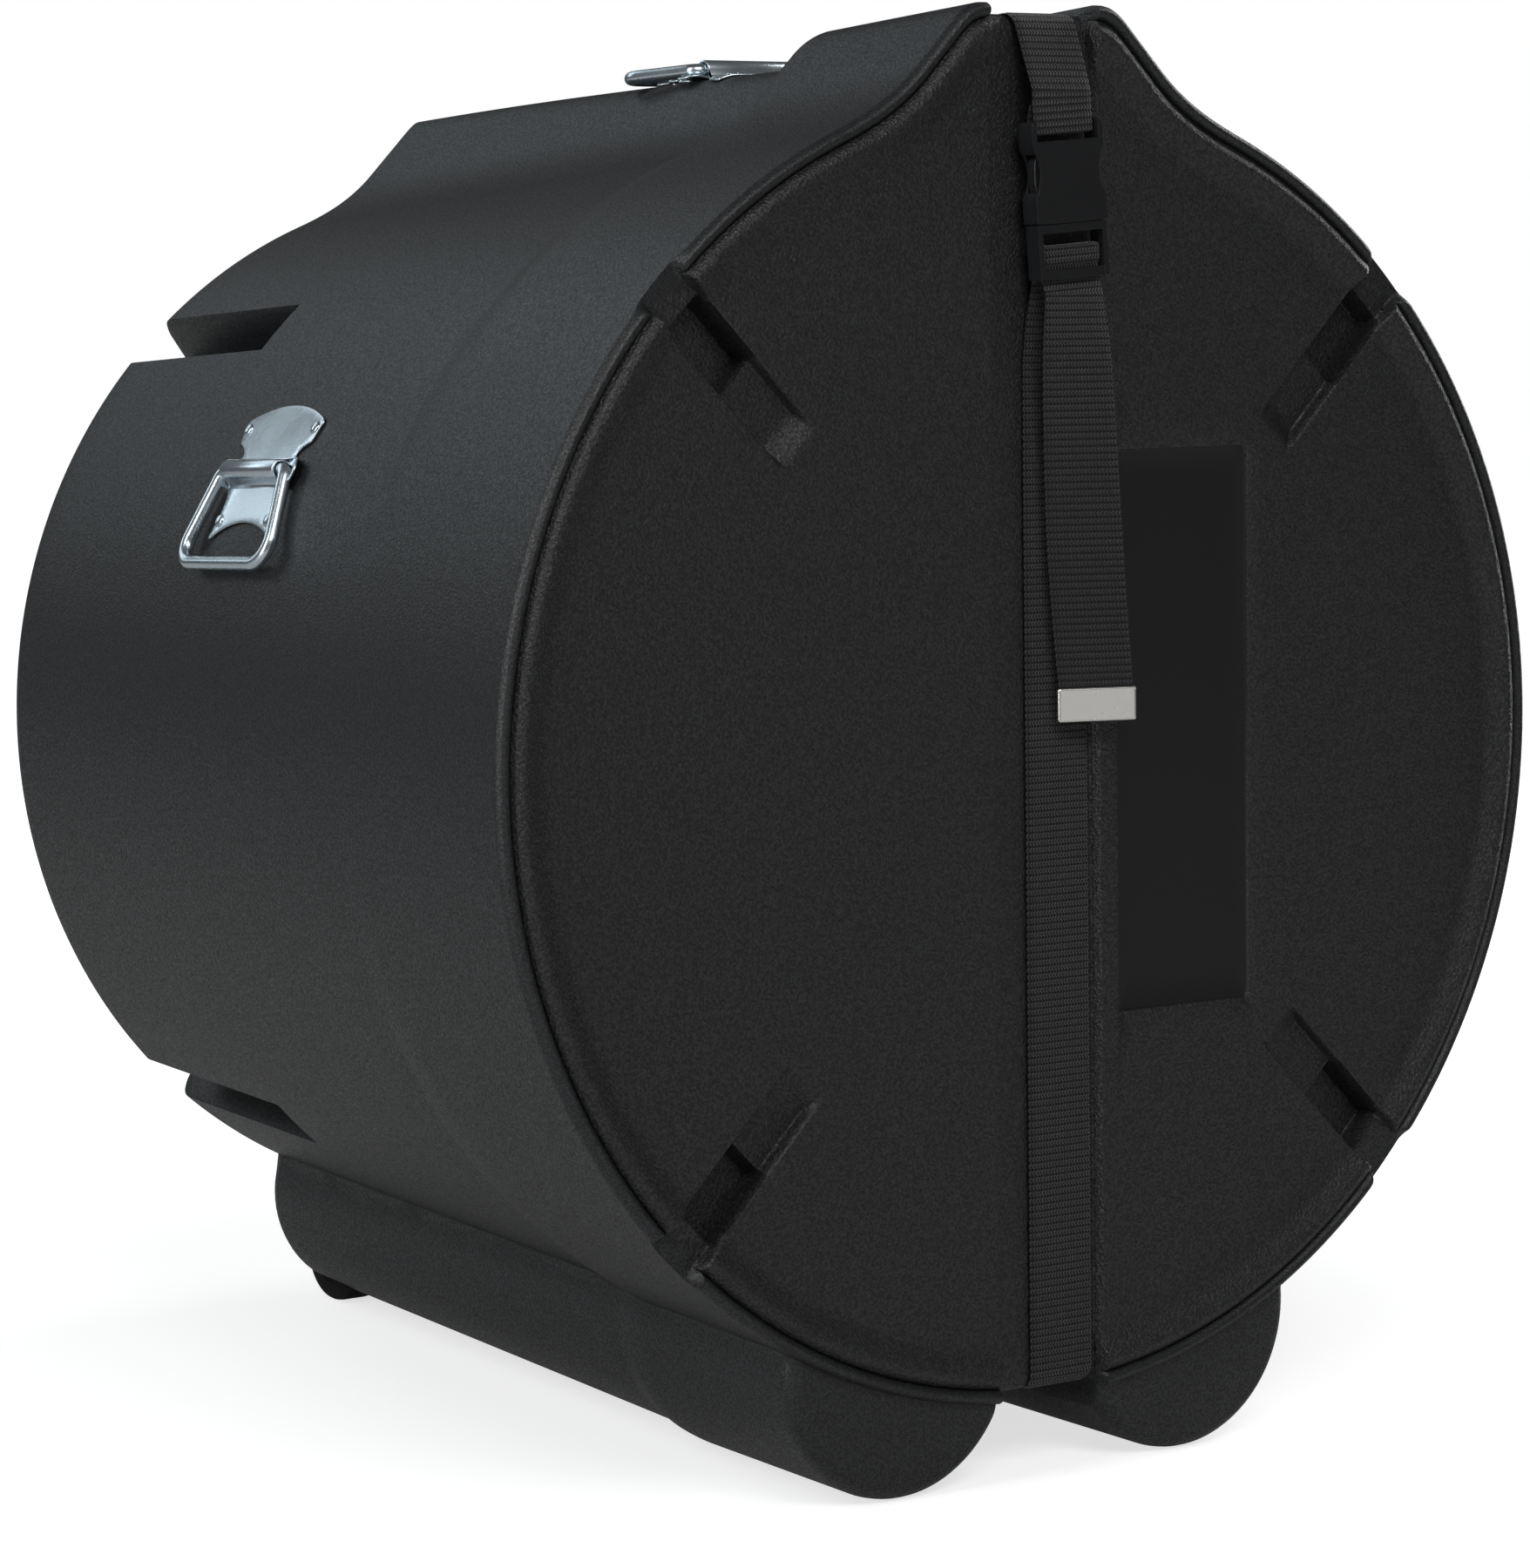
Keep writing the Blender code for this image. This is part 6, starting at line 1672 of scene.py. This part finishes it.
def arch_mesh(name):
    """The tunnel over the loop's rod: a half round with flared feet and rounded ends."""
    axis = PLATE_GAP + PLATE_THICK + ROD_CLEARANCE + ROD_RADIUS
    bore, outer = ROD_RADIUS + ROD_CLEARANCE, ROD_RADIUS + ROD_CLEARANCE + TUNNEL_WALL
    base = PLATE_GAP + PLATE_THICK
    foot = PLATE_GAP + PLATE_THICK * 0.4
    flare = 0.0014
    over = [(outer + flare * 2.4, foot), (outer + flare * 2.2, base + 0.0001), (outer + flare, base + 0.0003),
            (outer + flare * 0.35, base + 0.0010), (outer + 0.0001, base + 0.0022)]
    turns = [math.pi * i / 20 for i in range(21)]
    over += [(outer * math.cos(a), axis + outer * math.sin(a)) for a in turns]
    over += [(-v, w) for v, w in reversed(over[:5])]
    under = [(-bore, foot)]
    under += [(bore * math.cos(a), axis + bore * math.sin(a)) for a in reversed(turns)]
    under.append((bore, foot))
    section = over + under
    middle = Vector((sum(p[0] for p in section) / len(section), sum(p[1] for p in section) / len(section)))
    work = bmesh.new()
    rings = []
    for u, shrink in ((-TUNNEL_HALF, 0.0005), (-TUNNEL_HALF + 0.0002, 0.0002), (-TUNNEL_HALF + 0.0006, 0.0),
                      (TUNNEL_HALF - 0.0006, 0.0), (TUNNEL_HALF - 0.0002, 0.0002), (TUNNEL_HALF, 0.0005)):
        ring = []
        for i, (v, w) in enumerate(section):
            before, after = Vector(section[i - 1]), Vector(section[(i + 1) % len(section)])
            ahead = (after - before).normalized()
            moved = Vector((v, w)) + Vector((-ahead.y, ahead.x)) * shrink
            ring.append(work.verts.new((u, moved.x, moved.y)))
        rings.append(ring)
    count = len(section)
    for near, far in zip(rings, rings[1:]):
        for k in range(count):
            j = (k + 1) % count
            work.faces.new((near[k], near[j], far[j], far[k]))
    work.faces.new(rings[0])
    work.faces.new(rings[-1])
    bmesh.ops.triangulate(work, faces=[f for f in work.faces if len(f.verts) > 4])
    return mesh_from(name, work), axis


def build_handles(settings):
    """Plates with their tunnels, rivets and drop loops on both sides and the top."""
    zinc = plated_metal("zinc_plate", settings.colour, settings.rough)
    for word, turn in handle_frames().items():
        plate = holder(plate_mesh(f"plate_{word}", turn))
        arch, axis = arch_mesh(f"arch_{word}")
        arch.transform(turn)
        mesh = joined([settled(plate), arch], f"plate_{word}")
        place_piece(f"pressed_plate_{word}", mesh, "base", [f"handle_plate_{word}"], zinc, smooth=40)
        pairs = (UPPER_RIVET, LOWER_RIVET)
        if word == "top":
            pairs = ((TOP_RIVET_HALF, UPPER_RIVET[1]), (TOP_RIVET_HALF, LOWER_RIVET[1]))
        spots = []
        for u, v in pairs:
            for sign in (-1, 1):
                here, out, across = seat(turn, sign * u, v)
                place = here + out * (PLATE_GAP + PLATE_THICK)
                spots.append(frame_matrix(across, out.cross(across), out, place))
        nodes = [f"handle_rivet_{word}_{number}" for number in range(1, 5)]
        rivet_row(f"rivets_{word}", spots, RIVET_HEAD, RIVET_CAP + 0.0003, RIVET_SHANK, 0.0085,
                  "base", nodes, zinc)
        hang = TOP_HANG if word == "top" else SIDE_HANG
        pivot = turn @ Matrix.Translation((0, 0, axis)) @ Matrix.Rotation(math.radians(hang), 4, "X")
        corners = [
            (-LOOP_TOP_HALF, 0), (LOOP_TOP_HALF, 0),
            (LOOP_BAR_HALF, -LOOP_REACH), (-LOOP_BAR_HALF, -LOOP_REACH),
        ]
        path = fillet(corners, (0.006, 0.006, LOOP_CORNER, LOOP_CORNER), steps=12, closed=True)
        points = fill_gaps([Vector((p.x, p.y, 0.0)) for p in path], 0.006)
        loop = tube_mesh(f"loop_{word}", points, ROD_RADIUS, sides=24, closed=True)
        place_piece(f"drop_loop_{word}", loop, f"loop_{word}", [f"handle_loop_{word}"], zinc,
                    smooth=0, matrix=pivot)


def fill_gaps(points, spacing):
    """Adds points on the long stretches of a closed line."""
    result = []
    for i, here in enumerate(points):
        there = points[(i + 1) % len(points)]
        count = max(1, math.ceil((there - here).length / spacing))
        result += [here.lerp(there, k / count) for k in range(count)]
    return result


def joined(meshes, name):
    """Puts several meshes in one, side by side."""
    work = bmesh.new()
    for mesh in meshes:
        work.from_mesh(mesh)
        bpy.data.meshes.remove(mesh)
    mesh = bpy.data.meshes.new(name)
    work.to_mesh(mesh)
    work.free()
    return mesh


def build_wheels():
    """Tyres, hubs and axles, and the finish of the bent brackets."""
    rubber = moulded_plastic("wheel_rubber", (0.014, 0.014, 0.015), 0.68, 1400.0, 0.00006, 700.0, 0.00010)
    plastic = moulded_plastic("wheel_hub", (0.028, 0.028, 0.030), 0.45, 1300.0, 0.00004, 700.0, 0.00004)
    steel = plated_metal("bright_steel", (0.56, 0.57, 0.58), 0.28)
    for side, word in ((-1, "left"), (1, "right")):
        centre = Matrix.Translation((side * WHEEL_X, WHEEL_Y, WHEEL_Z))
        along = centre @ Matrix.Rotation(math.radians(90), 4, "Y")
        tyre = [
            (HUB_RADIUS, WHEEL_HALF), (HUB_RADIUS + 0.0008, WHEEL_HALF), (WHEEL_RADIUS - 0.005, WHEEL_HALF),
            (WHEEL_RADIUS - 0.003, WHEEL_HALF * 0.97), (WHEEL_RADIUS - 0.0012, WHEEL_HALF * 0.88),
            (WHEEL_RADIUS - 0.0003, WHEEL_HALF * 0.74), (WHEEL_RADIUS, WHEEL_HALF * 0.55),
        ]
        tyre += [(radius, -height) for radius, height in reversed(tyre)]
        mesh = turned_mesh(f"tyre_{word}", tyre, 72)
        place_piece(f"tyre_turned_{word}", mesh, f"wheel_{word}", [f"tyre_{word}"], rubber,
                    matrix=along)
        bore, rim = AXLE_RADIUS + AXLE_CLEARANCE, HUB_RADIUS - SLIP
        hub = [(bore, HUB_HALF), (0.0072, HUB_HALF), (0.0076, HUB_HALF - 0.0004), (0.0082, WHEEL_HALF * 0.65),
               (0.0090, WHEEL_HALF * 0.6), (0.0130, WHEEL_HALF * 0.6), (0.0140, WHEEL_HALF * 0.65),
               (rim - 0.0010, WHEEL_HALF - 0.0003), (rim - 0.0004, WHEEL_HALF), (rim, WHEEL_HALF - 0.0004)]
        hub += [(radius, -height) for radius, height in reversed(hub)]
        mesh = turned_mesh(f"hub_{word}", hub, 48)
        place_piece(f"hub_turned_{word}", mesh, f"wheel_{word}", [f"hub_{word}"], plastic, matrix=along)
        face = HUB_HALF + CHEEK_GAP + CHEEK_THICK + SLIP
        axle = [
            (0.0, face + 0.002), (AXLE_HEAD * 0.55, face + 0.0018), (AXLE_HEAD * 0.9, face + 0.0012),
            (AXLE_HEAD, face + 0.0004), (AXLE_HEAD, face), (AXLE_RADIUS, face),
        ]
        axle += [(radius, -height) for radius, height in reversed(axle)]
        mesh = turned_mesh(f"axle_{word}", axle, 32)
        place_piece(f"axle_turned_{word}", mesh, "base", [f"axle_{word}"], steel, matrix=along)
        for node in (f"wheel_bracket_{word}", f"bracket_rivet_{word}_a", f"bracket_rivet_{word}_b"):
            finish_node(node, steel)


def finish_node(node, material):
    """Gives a node of the frame its finish."""
    obj = bpy.data.objects[node]
    if not obj.material_slots:
        obj.data.materials.append(material)
    for slot in obj.material_slots:
        slot.material = material


def diagonal_slots(start, inner, half):
    """Boxes over the rear channels, one for each diagonal, as (degrees, mesh)."""
    result = []
    for degrees in (45, 135, 225, 315):
        box = box_mesh("slot", (inner, start, -half), (0.6, DEPTH + 0.1, half))
        a = math.radians(degrees)
        across, up = math.cos(a), math.sin(a)
        box.transform(Matrix(((across, 0, -up, 0), (0, 1, 0, 0), (up, 0, across, 0), (0, 0, 0, 1))))
        result.append((degrees, box))
    return result


def build_foam(settings):
    """Foam sheets along the sides and pads on the rear wall and the lid, with soft edges."""
    foam = soft_foam("grey_foam", settings.colour)
    for side, word in ((1, "left"), (-1, "right")):
        start, end = (math.radians(a) for a in LINING_SPAN)
        if side < 0:
            start, end = math.pi - end, math.pi - start
        work = bmesh.new()
        rows = []
        columns, stations = 84, 44
        inner = WALL + LINING_GAP
        for face, inset in ((0, inner + LINING_THICK), (1, inner)):
            sheet = []
            for i in range(stations + 1):
                y = mix(LINING_FRONT, LINING_BACK, i / stations)
                line = []
                for k in range(columns + 1):
                    t = min(i, stations - i, k, columns - k)
                    tuck = 0.0016 * (1.0, 0.25, 0.0)[min(2, t)] if face == 0 else 0.0
                    line.append(work.verts.new(skin_point(mix(start, end, k / columns), y, inset - tuck)))
                sheet.append(line)
            rows.append(sheet)
        for sheet in rows:
            for i in range(stations):
                for k in range(columns):
                    work.faces.new((sheet[i][k], sheet[i][k + 1], sheet[i + 1][k + 1], sheet[i + 1][k]))
        inside_sheet, outside_sheet = rows
        for k in range(columns):
            for i in (0, stations):
                near, far = inside_sheet[i], outside_sheet[i]
                work.faces.new((near[k], near[k + 1], far[k + 1], far[k]))
        for i in range(stations):
            for k in (0, columns):
                near, far = inside_sheet[i:i + 2], outside_sheet[i:i + 2]
                work.faces.new((near[0][k], near[1][k], far[1][k], far[0][k]))
        slots = diagonal_slots(CHANNEL_START - WALL - LINING_GAP, 0.2, CHANNEL_HALF + WALL + LINING_GAP)
        steps = []
        for degrees, box in slots:
            if (math.cos(math.radians(degrees)) < 0) == (side > 0):
                steps.append(("DIFFERENCE", box))
        for word_here, turn in handle_frames().items():
            if word_here != word:
                continue
            for u, v in (UPPER_RIVET, LOWER_RIVET):
                for sign in (-1, 1):
                    here, out, _ = seat(turn, sign * u, v)
                    room = rod_mesh("room", here - out * 0.03, here, RIVET_HEAD + LINING_GAP, segments=20)
                    steps.append(("DIFFERENCE", room))
        mesh = carved(mesh_from(f"lining_{word}", work), steps)
        piece = place_piece(f"foam_side_{word}", mesh, "base", [f"side_lining_{word}"], foam, smooth=50)
    swing = Matrix(((0, 0, 1, 0), (1, 0, 0, 0), (0, 1, 0, 0), (0, 0, 0, 1)))
    rear = DEPTH - WALL - PAD_GAP
    half = GROOVE_HALF_REAR + WALL + PAD_GAP
    room = box_mesh("room", (-half, DEPTH - GROOVE_BACK - WALL - PAD_GAP, -0.4), (half, DEPTH, 0.4))
    pad = rod_mesh("rear_pad", (0, REAR_PAD_FRONT, 0), (0, rear, 0), REAR_PAD_RADIUS, segments=128)
    mesh = carved(pad, [("DIFFERENCE", room)], rounding=0.003, segments=4)
    piece = place_piece("foam_rear", mesh, "base", ["rear_pad"], foam, smooth=40)
    front = FACE_Y + LID_WALL_FACE + PAD_GAP
    half = GROOVE_HALF + POCKET_WALL + PAD_GAP
    room = box_mesh("room", (-half, -0.1, -0.4), (half, FACE_Y + GROOVE_FACE + POCKET_WALL + PAD_GAP, 0.4))
    pad = rod_mesh("lid_pad", (0, front, 0), (0, front + LID_PAD_THICK, 0), LID_PAD_RADIUS, segments=128)
    mesh = carved(pad, [("DIFFERENCE", room)], rounding=0.003, segments=4)
    piece = place_piece("foam_lid", mesh, "lid", ["lid_pad"], foam, smooth=40)


class StudioSettings(bpy.types.PropertyGroup):
    """Sizes and levels of the studio."""
    key_power: FloatProperty(
        name="Lamp power", description="Power that each lamp takes its share of", default=30.0, unit="POWER")
    room_level: FloatProperty(
        name="Room level", description="Brightness of the room on the case", default=0.09, min=0.0)
    floor_size: FloatProperty(name="Floor", description="Width of the floor", default=9.0, unit="LENGTH")
    lens: FloatProperty(name="Lens", description="Focal length in millimetres on a 36 mm frame", default=119.1)


class ShellSettings(bpy.types.PropertyGroup):
    """Colours and grain of the moulded shells."""
    base_colour: FloatVectorProperty(
        name="Base colour", description="Colour of the base", subtype="COLOR", default=(0.0085, 0.0092, 0.0102))
    lid_colour: FloatVectorProperty(
        name="Lid colour", description="Colour of the lid", subtype="COLOR", default=(0.0085, 0.0088, 0.0092))
    grain: FloatProperty(name="Fine grain", description="Grain cells per metre", default=760.0, min=1.0)
    pebble: FloatProperty(
        name="Pebble", description="Pebbles per metre on the lid's face", default=640.0, min=1.0)


class WebbingSettings(bpy.types.PropertyGroup):
    """Colour of the webbing."""
    colour: FloatVectorProperty(
        name="Webbing colour", description="Colour of the yarns", subtype="COLOR", default=(0.022, 0.022, 0.023))


class BuckleSettings(bpy.types.PropertyGroup):
    """Colour of the buckle."""
    colour: FloatVectorProperty(
        name="Buckle colour", description="Colour of the plastic", subtype="COLOR", default=(0.011, 0.0115, 0.0125))


class HandleSettings(bpy.types.PropertyGroup):
    """Finish of the handles."""
    colour: FloatVectorProperty(
        name="Plating colour", description="Colour of the zinc", subtype="COLOR", default=(0.60, 0.68, 0.73))
    rough: FloatProperty(
        name="Plating roughness", description="Roughness of the zinc", default=0.27, min=0.0, max=1.0)


class FoamSettings(bpy.types.PropertyGroup):
    """Colour of the foam."""
    colour: FloatVectorProperty(
        name="Foam colour", description="Colour of the foam", subtype="COLOR", default=(0.085, 0.085, 0.092))


class CASE_OT_stage(bpy.types.Operator):
    """Floor, backdrop, lights and camera"""
    bl_idname = "case.stage"
    bl_label = "Studio"

    def execute(self, context):
        build_stage(context.scene, context.scene.case_studio)
        return {"FINISHED"}


class CASE_OT_base(bpy.types.Operator):
    """The deep moulded base"""
    bl_idname = "case.base"
    bl_label = "Base"

    def execute(self, context):
        settings = context.scene.case_shell
        material = moulded_plastic("black_shell", settings.base_colour, 0.42, settings.grain, 0.00042, 0.9)
        mesh = build_base_mesh()
        base = place_piece("base_moulding", mesh, None, None, material, smooth=62)
        cut_wheel_wells(base)
        settle_feet(base)
        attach(base, "base")
        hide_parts("base_shell")
        return {"FINISHED"}


class CASE_OT_lid(bpy.types.Operator):
    """The lid with its ridge, pockets and plain label recess"""
    bl_idname = "case.lid"
    bl_label = "Lid"

    def execute(self, context):
        settings = context.scene.case_shell
        material = moulded_plastic("black_pebbled_face", settings.lid_colour, 0.40, settings.pebble,
                                   0.00095, 1.0, marked=True)
        place_piece("lid_moulding", build_lid_mesh(), "lid", ["lid_shell"], material, smooth=62)
        return {"FINISHED"}


class CASE_OT_webbing(bpy.types.Operator):
    """The webbing and its tip"""
    bl_idname = "case.webbing"
    bl_label = "Webbing"

    def execute(self, context):
        build_webbing(context.scene.case_webbing)
        return {"FINISHED"}


class CASE_OT_buckle(bpy.types.Operator):
    """The side release buckle"""
    bl_idname = "case.buckle"
    bl_label = "Buckle"

    def execute(self, context):
        build_buckle(context.scene.case_buckle)
        return {"FINISHED"}


class CASE_OT_handles(bpy.types.Operator):
    """The three drop handles with their plates and rivets"""
    bl_idname = "case.handles"
    bl_label = "Handles"

    def execute(self, context):
        build_handles(context.scene.case_handles)
        return {"FINISHED"}


class CASE_OT_wheels(bpy.types.Operator):
    """The two rear wheels"""
    bl_idname = "case.wheels"
    bl_label = "Wheels"

    def execute(self, context):
        build_wheels()
        return {"FINISHED"}


class CASE_OT_foam(bpy.types.Operator):
    """The foam inside"""
    bl_idname = "case.foam"
    bl_label = "Foam"

    def execute(self, context):
        build_foam(context.scene.case_foam)
        return {"FINISHED"}


def cut_wheel_wells(base):
    """Opens the two wheel wells in the rear corners of the feet."""
    work = bmesh.new()
    for side in (-1, 1):
        low = Vector((side * WHEEL_X - WELL_HALF, WHEEL_Y - WELL_FRONT, -0.5))
        high = Vector((side * WHEEL_X + WELL_HALF, DEPTH + 0.05, WHEEL_Z + WELL_TOP))
        cube = bmesh.ops.create_cube(work, size=1.0)
        for vert in cube["verts"]:
            vert.co = Vector([(low[k] + high[k]) / 2 + vert.co[k] * (high[k] - low[k]) for k in range(3)])
    bmesh.ops.transform(work, matrix=CASE, verts=work.verts)
    mesh = bpy.data.meshes.new("well_cutter")
    work.to_mesh(mesh)
    work.free()
    cutter = bpy.data.objects.new("well_cutter", mesh)
    bpy.context.scene.collection.objects.link(cutter)
    step = base.modifiers.new("wells", "BOOLEAN")
    step.operation = "DIFFERENCE"
    step.solver = "EXACT"
    step.object = cutter
    graph = bpy.context.evaluated_depsgraph_get()
    cut = bpy.data.meshes.new_from_object(base.evaluated_get(graph))
    base.modifiers.clear()
    old = base.data
    base.data = cut
    bpy.data.meshes.remove(old)
    bpy.data.objects.remove(cutter)
    bpy.data.meshes.remove(mesh)


def settle_feet(base):
    """Flattens the feet where they meet the floor."""
    for vert in base.data.vertices:
        if vert.co.z < 0.0:
            vert.co.z = 0.0


# Studio: each lamp's name, place, target, share of the lamps' power, size and tint, in the standing frame
WHITE = (1.0, 1.0, 1.0)
SKY = (0.84, 0.94, 1.0)
LAMPS = (
    ("back_light", (-0.9, 3.2, 2.9), (-0.15, 0.3, 0.5), 0.50, (2.6, 1.6), SKY),
    ("left_light", (-3.3, -0.5, 1.7), (-0.2, 0.0, 0.4), 1.9, (0.6, 3.4), WHITE),
    ("front_light", (-0.9, -2.6, 2.8), (0.0, -0.1, 0.35), 1.7, (2.0, 1.4), WHITE),
    ("right_light", (3.2, 0.1, 1.5), (0.2, 0.0, 0.4), 2.0, (0.6, 3.0), WHITE),
    ("fill_light", (0.1, -3.4, 0.5), (0.0, 0.0, 0.35), 0.12, (2.2, 1.3), WHITE),
    ("plate_light", (-1.8, 3.2, 1.75), (-0.3, 0.2, 0.5), 0.22, (1.1, 0.9), SKY),
)

# Camera: yaw, pitch and roll in radians, what it looks at and from how far, fitted at a face radius of 325 mm
CAMERA_TURN = (0.6372, -0.0928, -0.0130)
CAMERA_TARGET = (-0.17583, 0.0, -0.00442)
CAMERA_DISTANCE = 2.43606
CAMERA_SCALE = 345.0 / 325.0
CAMERA_SHIFT = (-0.475 / 1800, -4.23 / 1800)

# Floor: its greys, and how the camera's white fades in with the distance from the case's middle; the weaker glow
# close to the case paints the floor there grey
FLOOR_GREY = 0.45
FLOOR_GLOW = 0.09
FLOOR_SEEN = 0.6
FADE_NEAR, FADE_FAR = 0.42, 0.85
FADE_LEAST = 0.70


def build_stage(scene, settings):
    """A plain pale floor and room, soft light and the camera at the photograph's angle."""
    scene.view_settings.view_transform = "Standard"
    world = bpy.data.worlds.new("room")
    scene.world = world
    world.use_nodes = True
    tree = world.node_tree
    ground = tree.nodes["Background"]
    ground.inputs["Color"].default_value = (1.0, 1.0, 1.0, 1.0)
    path = add_node(tree, "ShaderNodeLightPath")
    level = add_node(tree, "ShaderNodeMapRange", {"To Min": settings.room_level, "To Max": 1.0})
    tree.links.new(path.outputs["Is Camera Ray"], level.inputs["Value"])
    tree.links.new(level.outputs["Result"], ground.inputs["Strength"])
    work = bmesh.new()
    bmesh.ops.create_grid(work, x_segments=2, y_segments=2, size=settings.floor_size / 2)
    mesh = bpy.data.meshes.new("floor")
    work.to_mesh(mesh)
    work.free()
    floor = bpy.data.objects.new("floor", mesh)
    scene.collection.objects.link(floor)
    mesh.materials.append(floor_material())
    for name, place, target, share, size, tint in LAMPS:
        aim_light(scene, name, place, target, settings.key_power * share, size, tint)
    camera = bpy.data.cameras.new("camera")
    camera.lens = settings.lens
    camera.sensor_width = 36.0
    camera.shift_x, camera.shift_y = CAMERA_SHIFT
    camera.clip_end = 50.0
    holder = bpy.data.objects.new("camera", camera)
    scene.collection.objects.link(holder)
    yaw, pitch, roll = CAMERA_TURN
    ahead = Vector((math.sin(yaw) * math.cos(pitch), math.cos(yaw) * math.cos(pitch), math.sin(pitch)))
    right = Vector((math.cos(yaw), -math.sin(yaw), 0.0))
    up = right.cross(ahead)
    side = right * math.cos(roll) + up * math.sin(roll)
    high = up * math.cos(roll) - right * math.sin(roll)
    place = (Vector(CAMERA_TARGET) - ahead * CAMERA_DISTANCE) * CAMERA_SCALE
    matrix = Matrix((side, high, -ahead)).transposed().to_4x4()
    matrix.translation = place
    holder.matrix_world = CASE @ matrix
    scene.camera = holder


def aim_light(scene, name, place, target, power, size, tint):
    """A rectangular lamp at a place, turned to a target."""
    lamp = bpy.data.lights.new(name, "AREA")
    lamp.shape = "RECTANGLE"
    lamp.size, lamp.size_y = size
    lamp.energy = power
    lamp.color = tint
    holder = bpy.data.objects.new(name, lamp)
    scene.collection.objects.link(holder)
    holder.location = place
    holder.rotation_euler = (Vector(target) - Vector(place)).to_track_quat("-Z", "Y").to_euler()
    return holder


def floor_material():
    """Floor that the camera sees white, apart from close to the case, where a weaker glow paints it grey and the
    case's real shadow shows; dull to everything else.
    """
    material, tree, shader = new_material("pale_floor")
    link = tree.links.new
    shader.inputs["Base Color"].default_value = (FLOOR_GREY, FLOOR_GREY, FLOOR_GREY, 1.0)
    shader.inputs["Roughness"].default_value = 0.9
    shader.inputs["Specular IOR Level"].default_value = 0.1
    path = add_node(tree, "ShaderNodeLightPath")
    bounce = add_node(tree, "ShaderNodeEmission", {"Color": (1.0, 1.0, 1.0, 1.0), "Strength": FLOOR_GLOW})
    unseen = add_node(tree, "ShaderNodeAddShader")
    link(shader.outputs["BSDF"], unseen.inputs[0])
    link(bounce.outputs["Emission"], unseen.inputs[1])
    seen = add_node(tree, "ShaderNodeBsdfDiffuse", {"Color": (FLOOR_SEEN, FLOOR_SEEN, FLOOR_SEEN, 1.0)})
    place = add_node(tree, "ShaderNodeTexCoord")
    far = add_node(tree, "ShaderNodeVectorMath", operation="LENGTH")
    link(place.outputs["Object"], far.inputs[0])
    # Painted shade: the glow is weakest close to the case, so the floor there is greyer under any light; real
    # shadows add to it
    rise = add_node(tree, "ShaderNodeMapRange", {
        "From Min": FADE_NEAR, "From Max": FADE_FAR, "To Min": FADE_LEAST, "To Max": 1.0},
        interpolation_type="SMOOTHSTEP")
    link(far.outputs["Value"], rise.inputs["Value"])
    glow = add_node(tree, "ShaderNodeEmission", {"Color": (1.0, 1.0, 1.0, 1.0)})
    link(rise.outputs["Result"], glow.inputs["Strength"])
    both = add_node(tree, "ShaderNodeAddShader")
    link(seen.outputs["BSDF"], both.inputs[0])
    link(glow.outputs["Emission"], both.inputs[1])
    pick = add_node(tree, "ShaderNodeMixShader")
    link(path.outputs["Is Camera Ray"], pick.inputs["Fac"])
    link(unseen.outputs["Shader"], pick.inputs[1])
    link(both.outputs["Shader"], pick.inputs[2])
    output = next(n for n in tree.nodes if n.type == "OUTPUT_MATERIAL")
    link(pick.outputs["Shader"], output.inputs["Surface"])
    return material


class CASE_PT_panel(bpy.types.Panel):
    """Lists the pieces of the case"""
    bl_label = "Drum Case"
    bl_idname = "CASE_PT_panel"
    bl_space_type = "VIEW_3D"
    bl_region_type = "UI"
    bl_category = "Drum Case"

    def draw(self, context):
        for group in [getattr(context.scene, name) for name in SETTINGS]:
            for key in group.bl_rna.properties.keys():
                if key not in ("rna_type", "name"):
                    self.layout.prop(group, key)
        for operator in OPERATORS:
            self.layout.operator(operator.bl_idname)


SETTINGS = {
    "case_studio": StudioSettings, "case_shell": ShellSettings, "case_webbing": WebbingSettings,
    "case_buckle": BuckleSettings, "case_handles": HandleSettings, "case_foam": FoamSettings,
}
OPERATORS = (
    CASE_OT_stage, CASE_OT_base, CASE_OT_lid, CASE_OT_webbing, CASE_OT_buckle, CASE_OT_handles, CASE_OT_wheels,
    CASE_OT_foam,
)


def register():
    for group in SETTINGS.values():
        bpy.utils.register_class(group)
    for operator in OPERATORS + (CASE_PT_panel,):
        bpy.utils.register_class(operator)
    for name, group in SETTINGS.items():
        setattr(bpy.types.Scene, name, PointerProperty(type=group))


def unregister():
    for name in SETTINGS:
        delattr(bpy.types.Scene, name)
    for operator in reversed(OPERATORS + (CASE_PT_panel,)):
        bpy.utils.unregister_class(operator)
    for group in SETTINGS.values():
        bpy.utils.unregister_class(group)


def main():
    register()
    for operator in OPERATORS:
        group, name = operator.bl_idname.split(".")
        getattr(getattr(bpy.ops, group), name)()


if __name__ == "__main__":
    main()
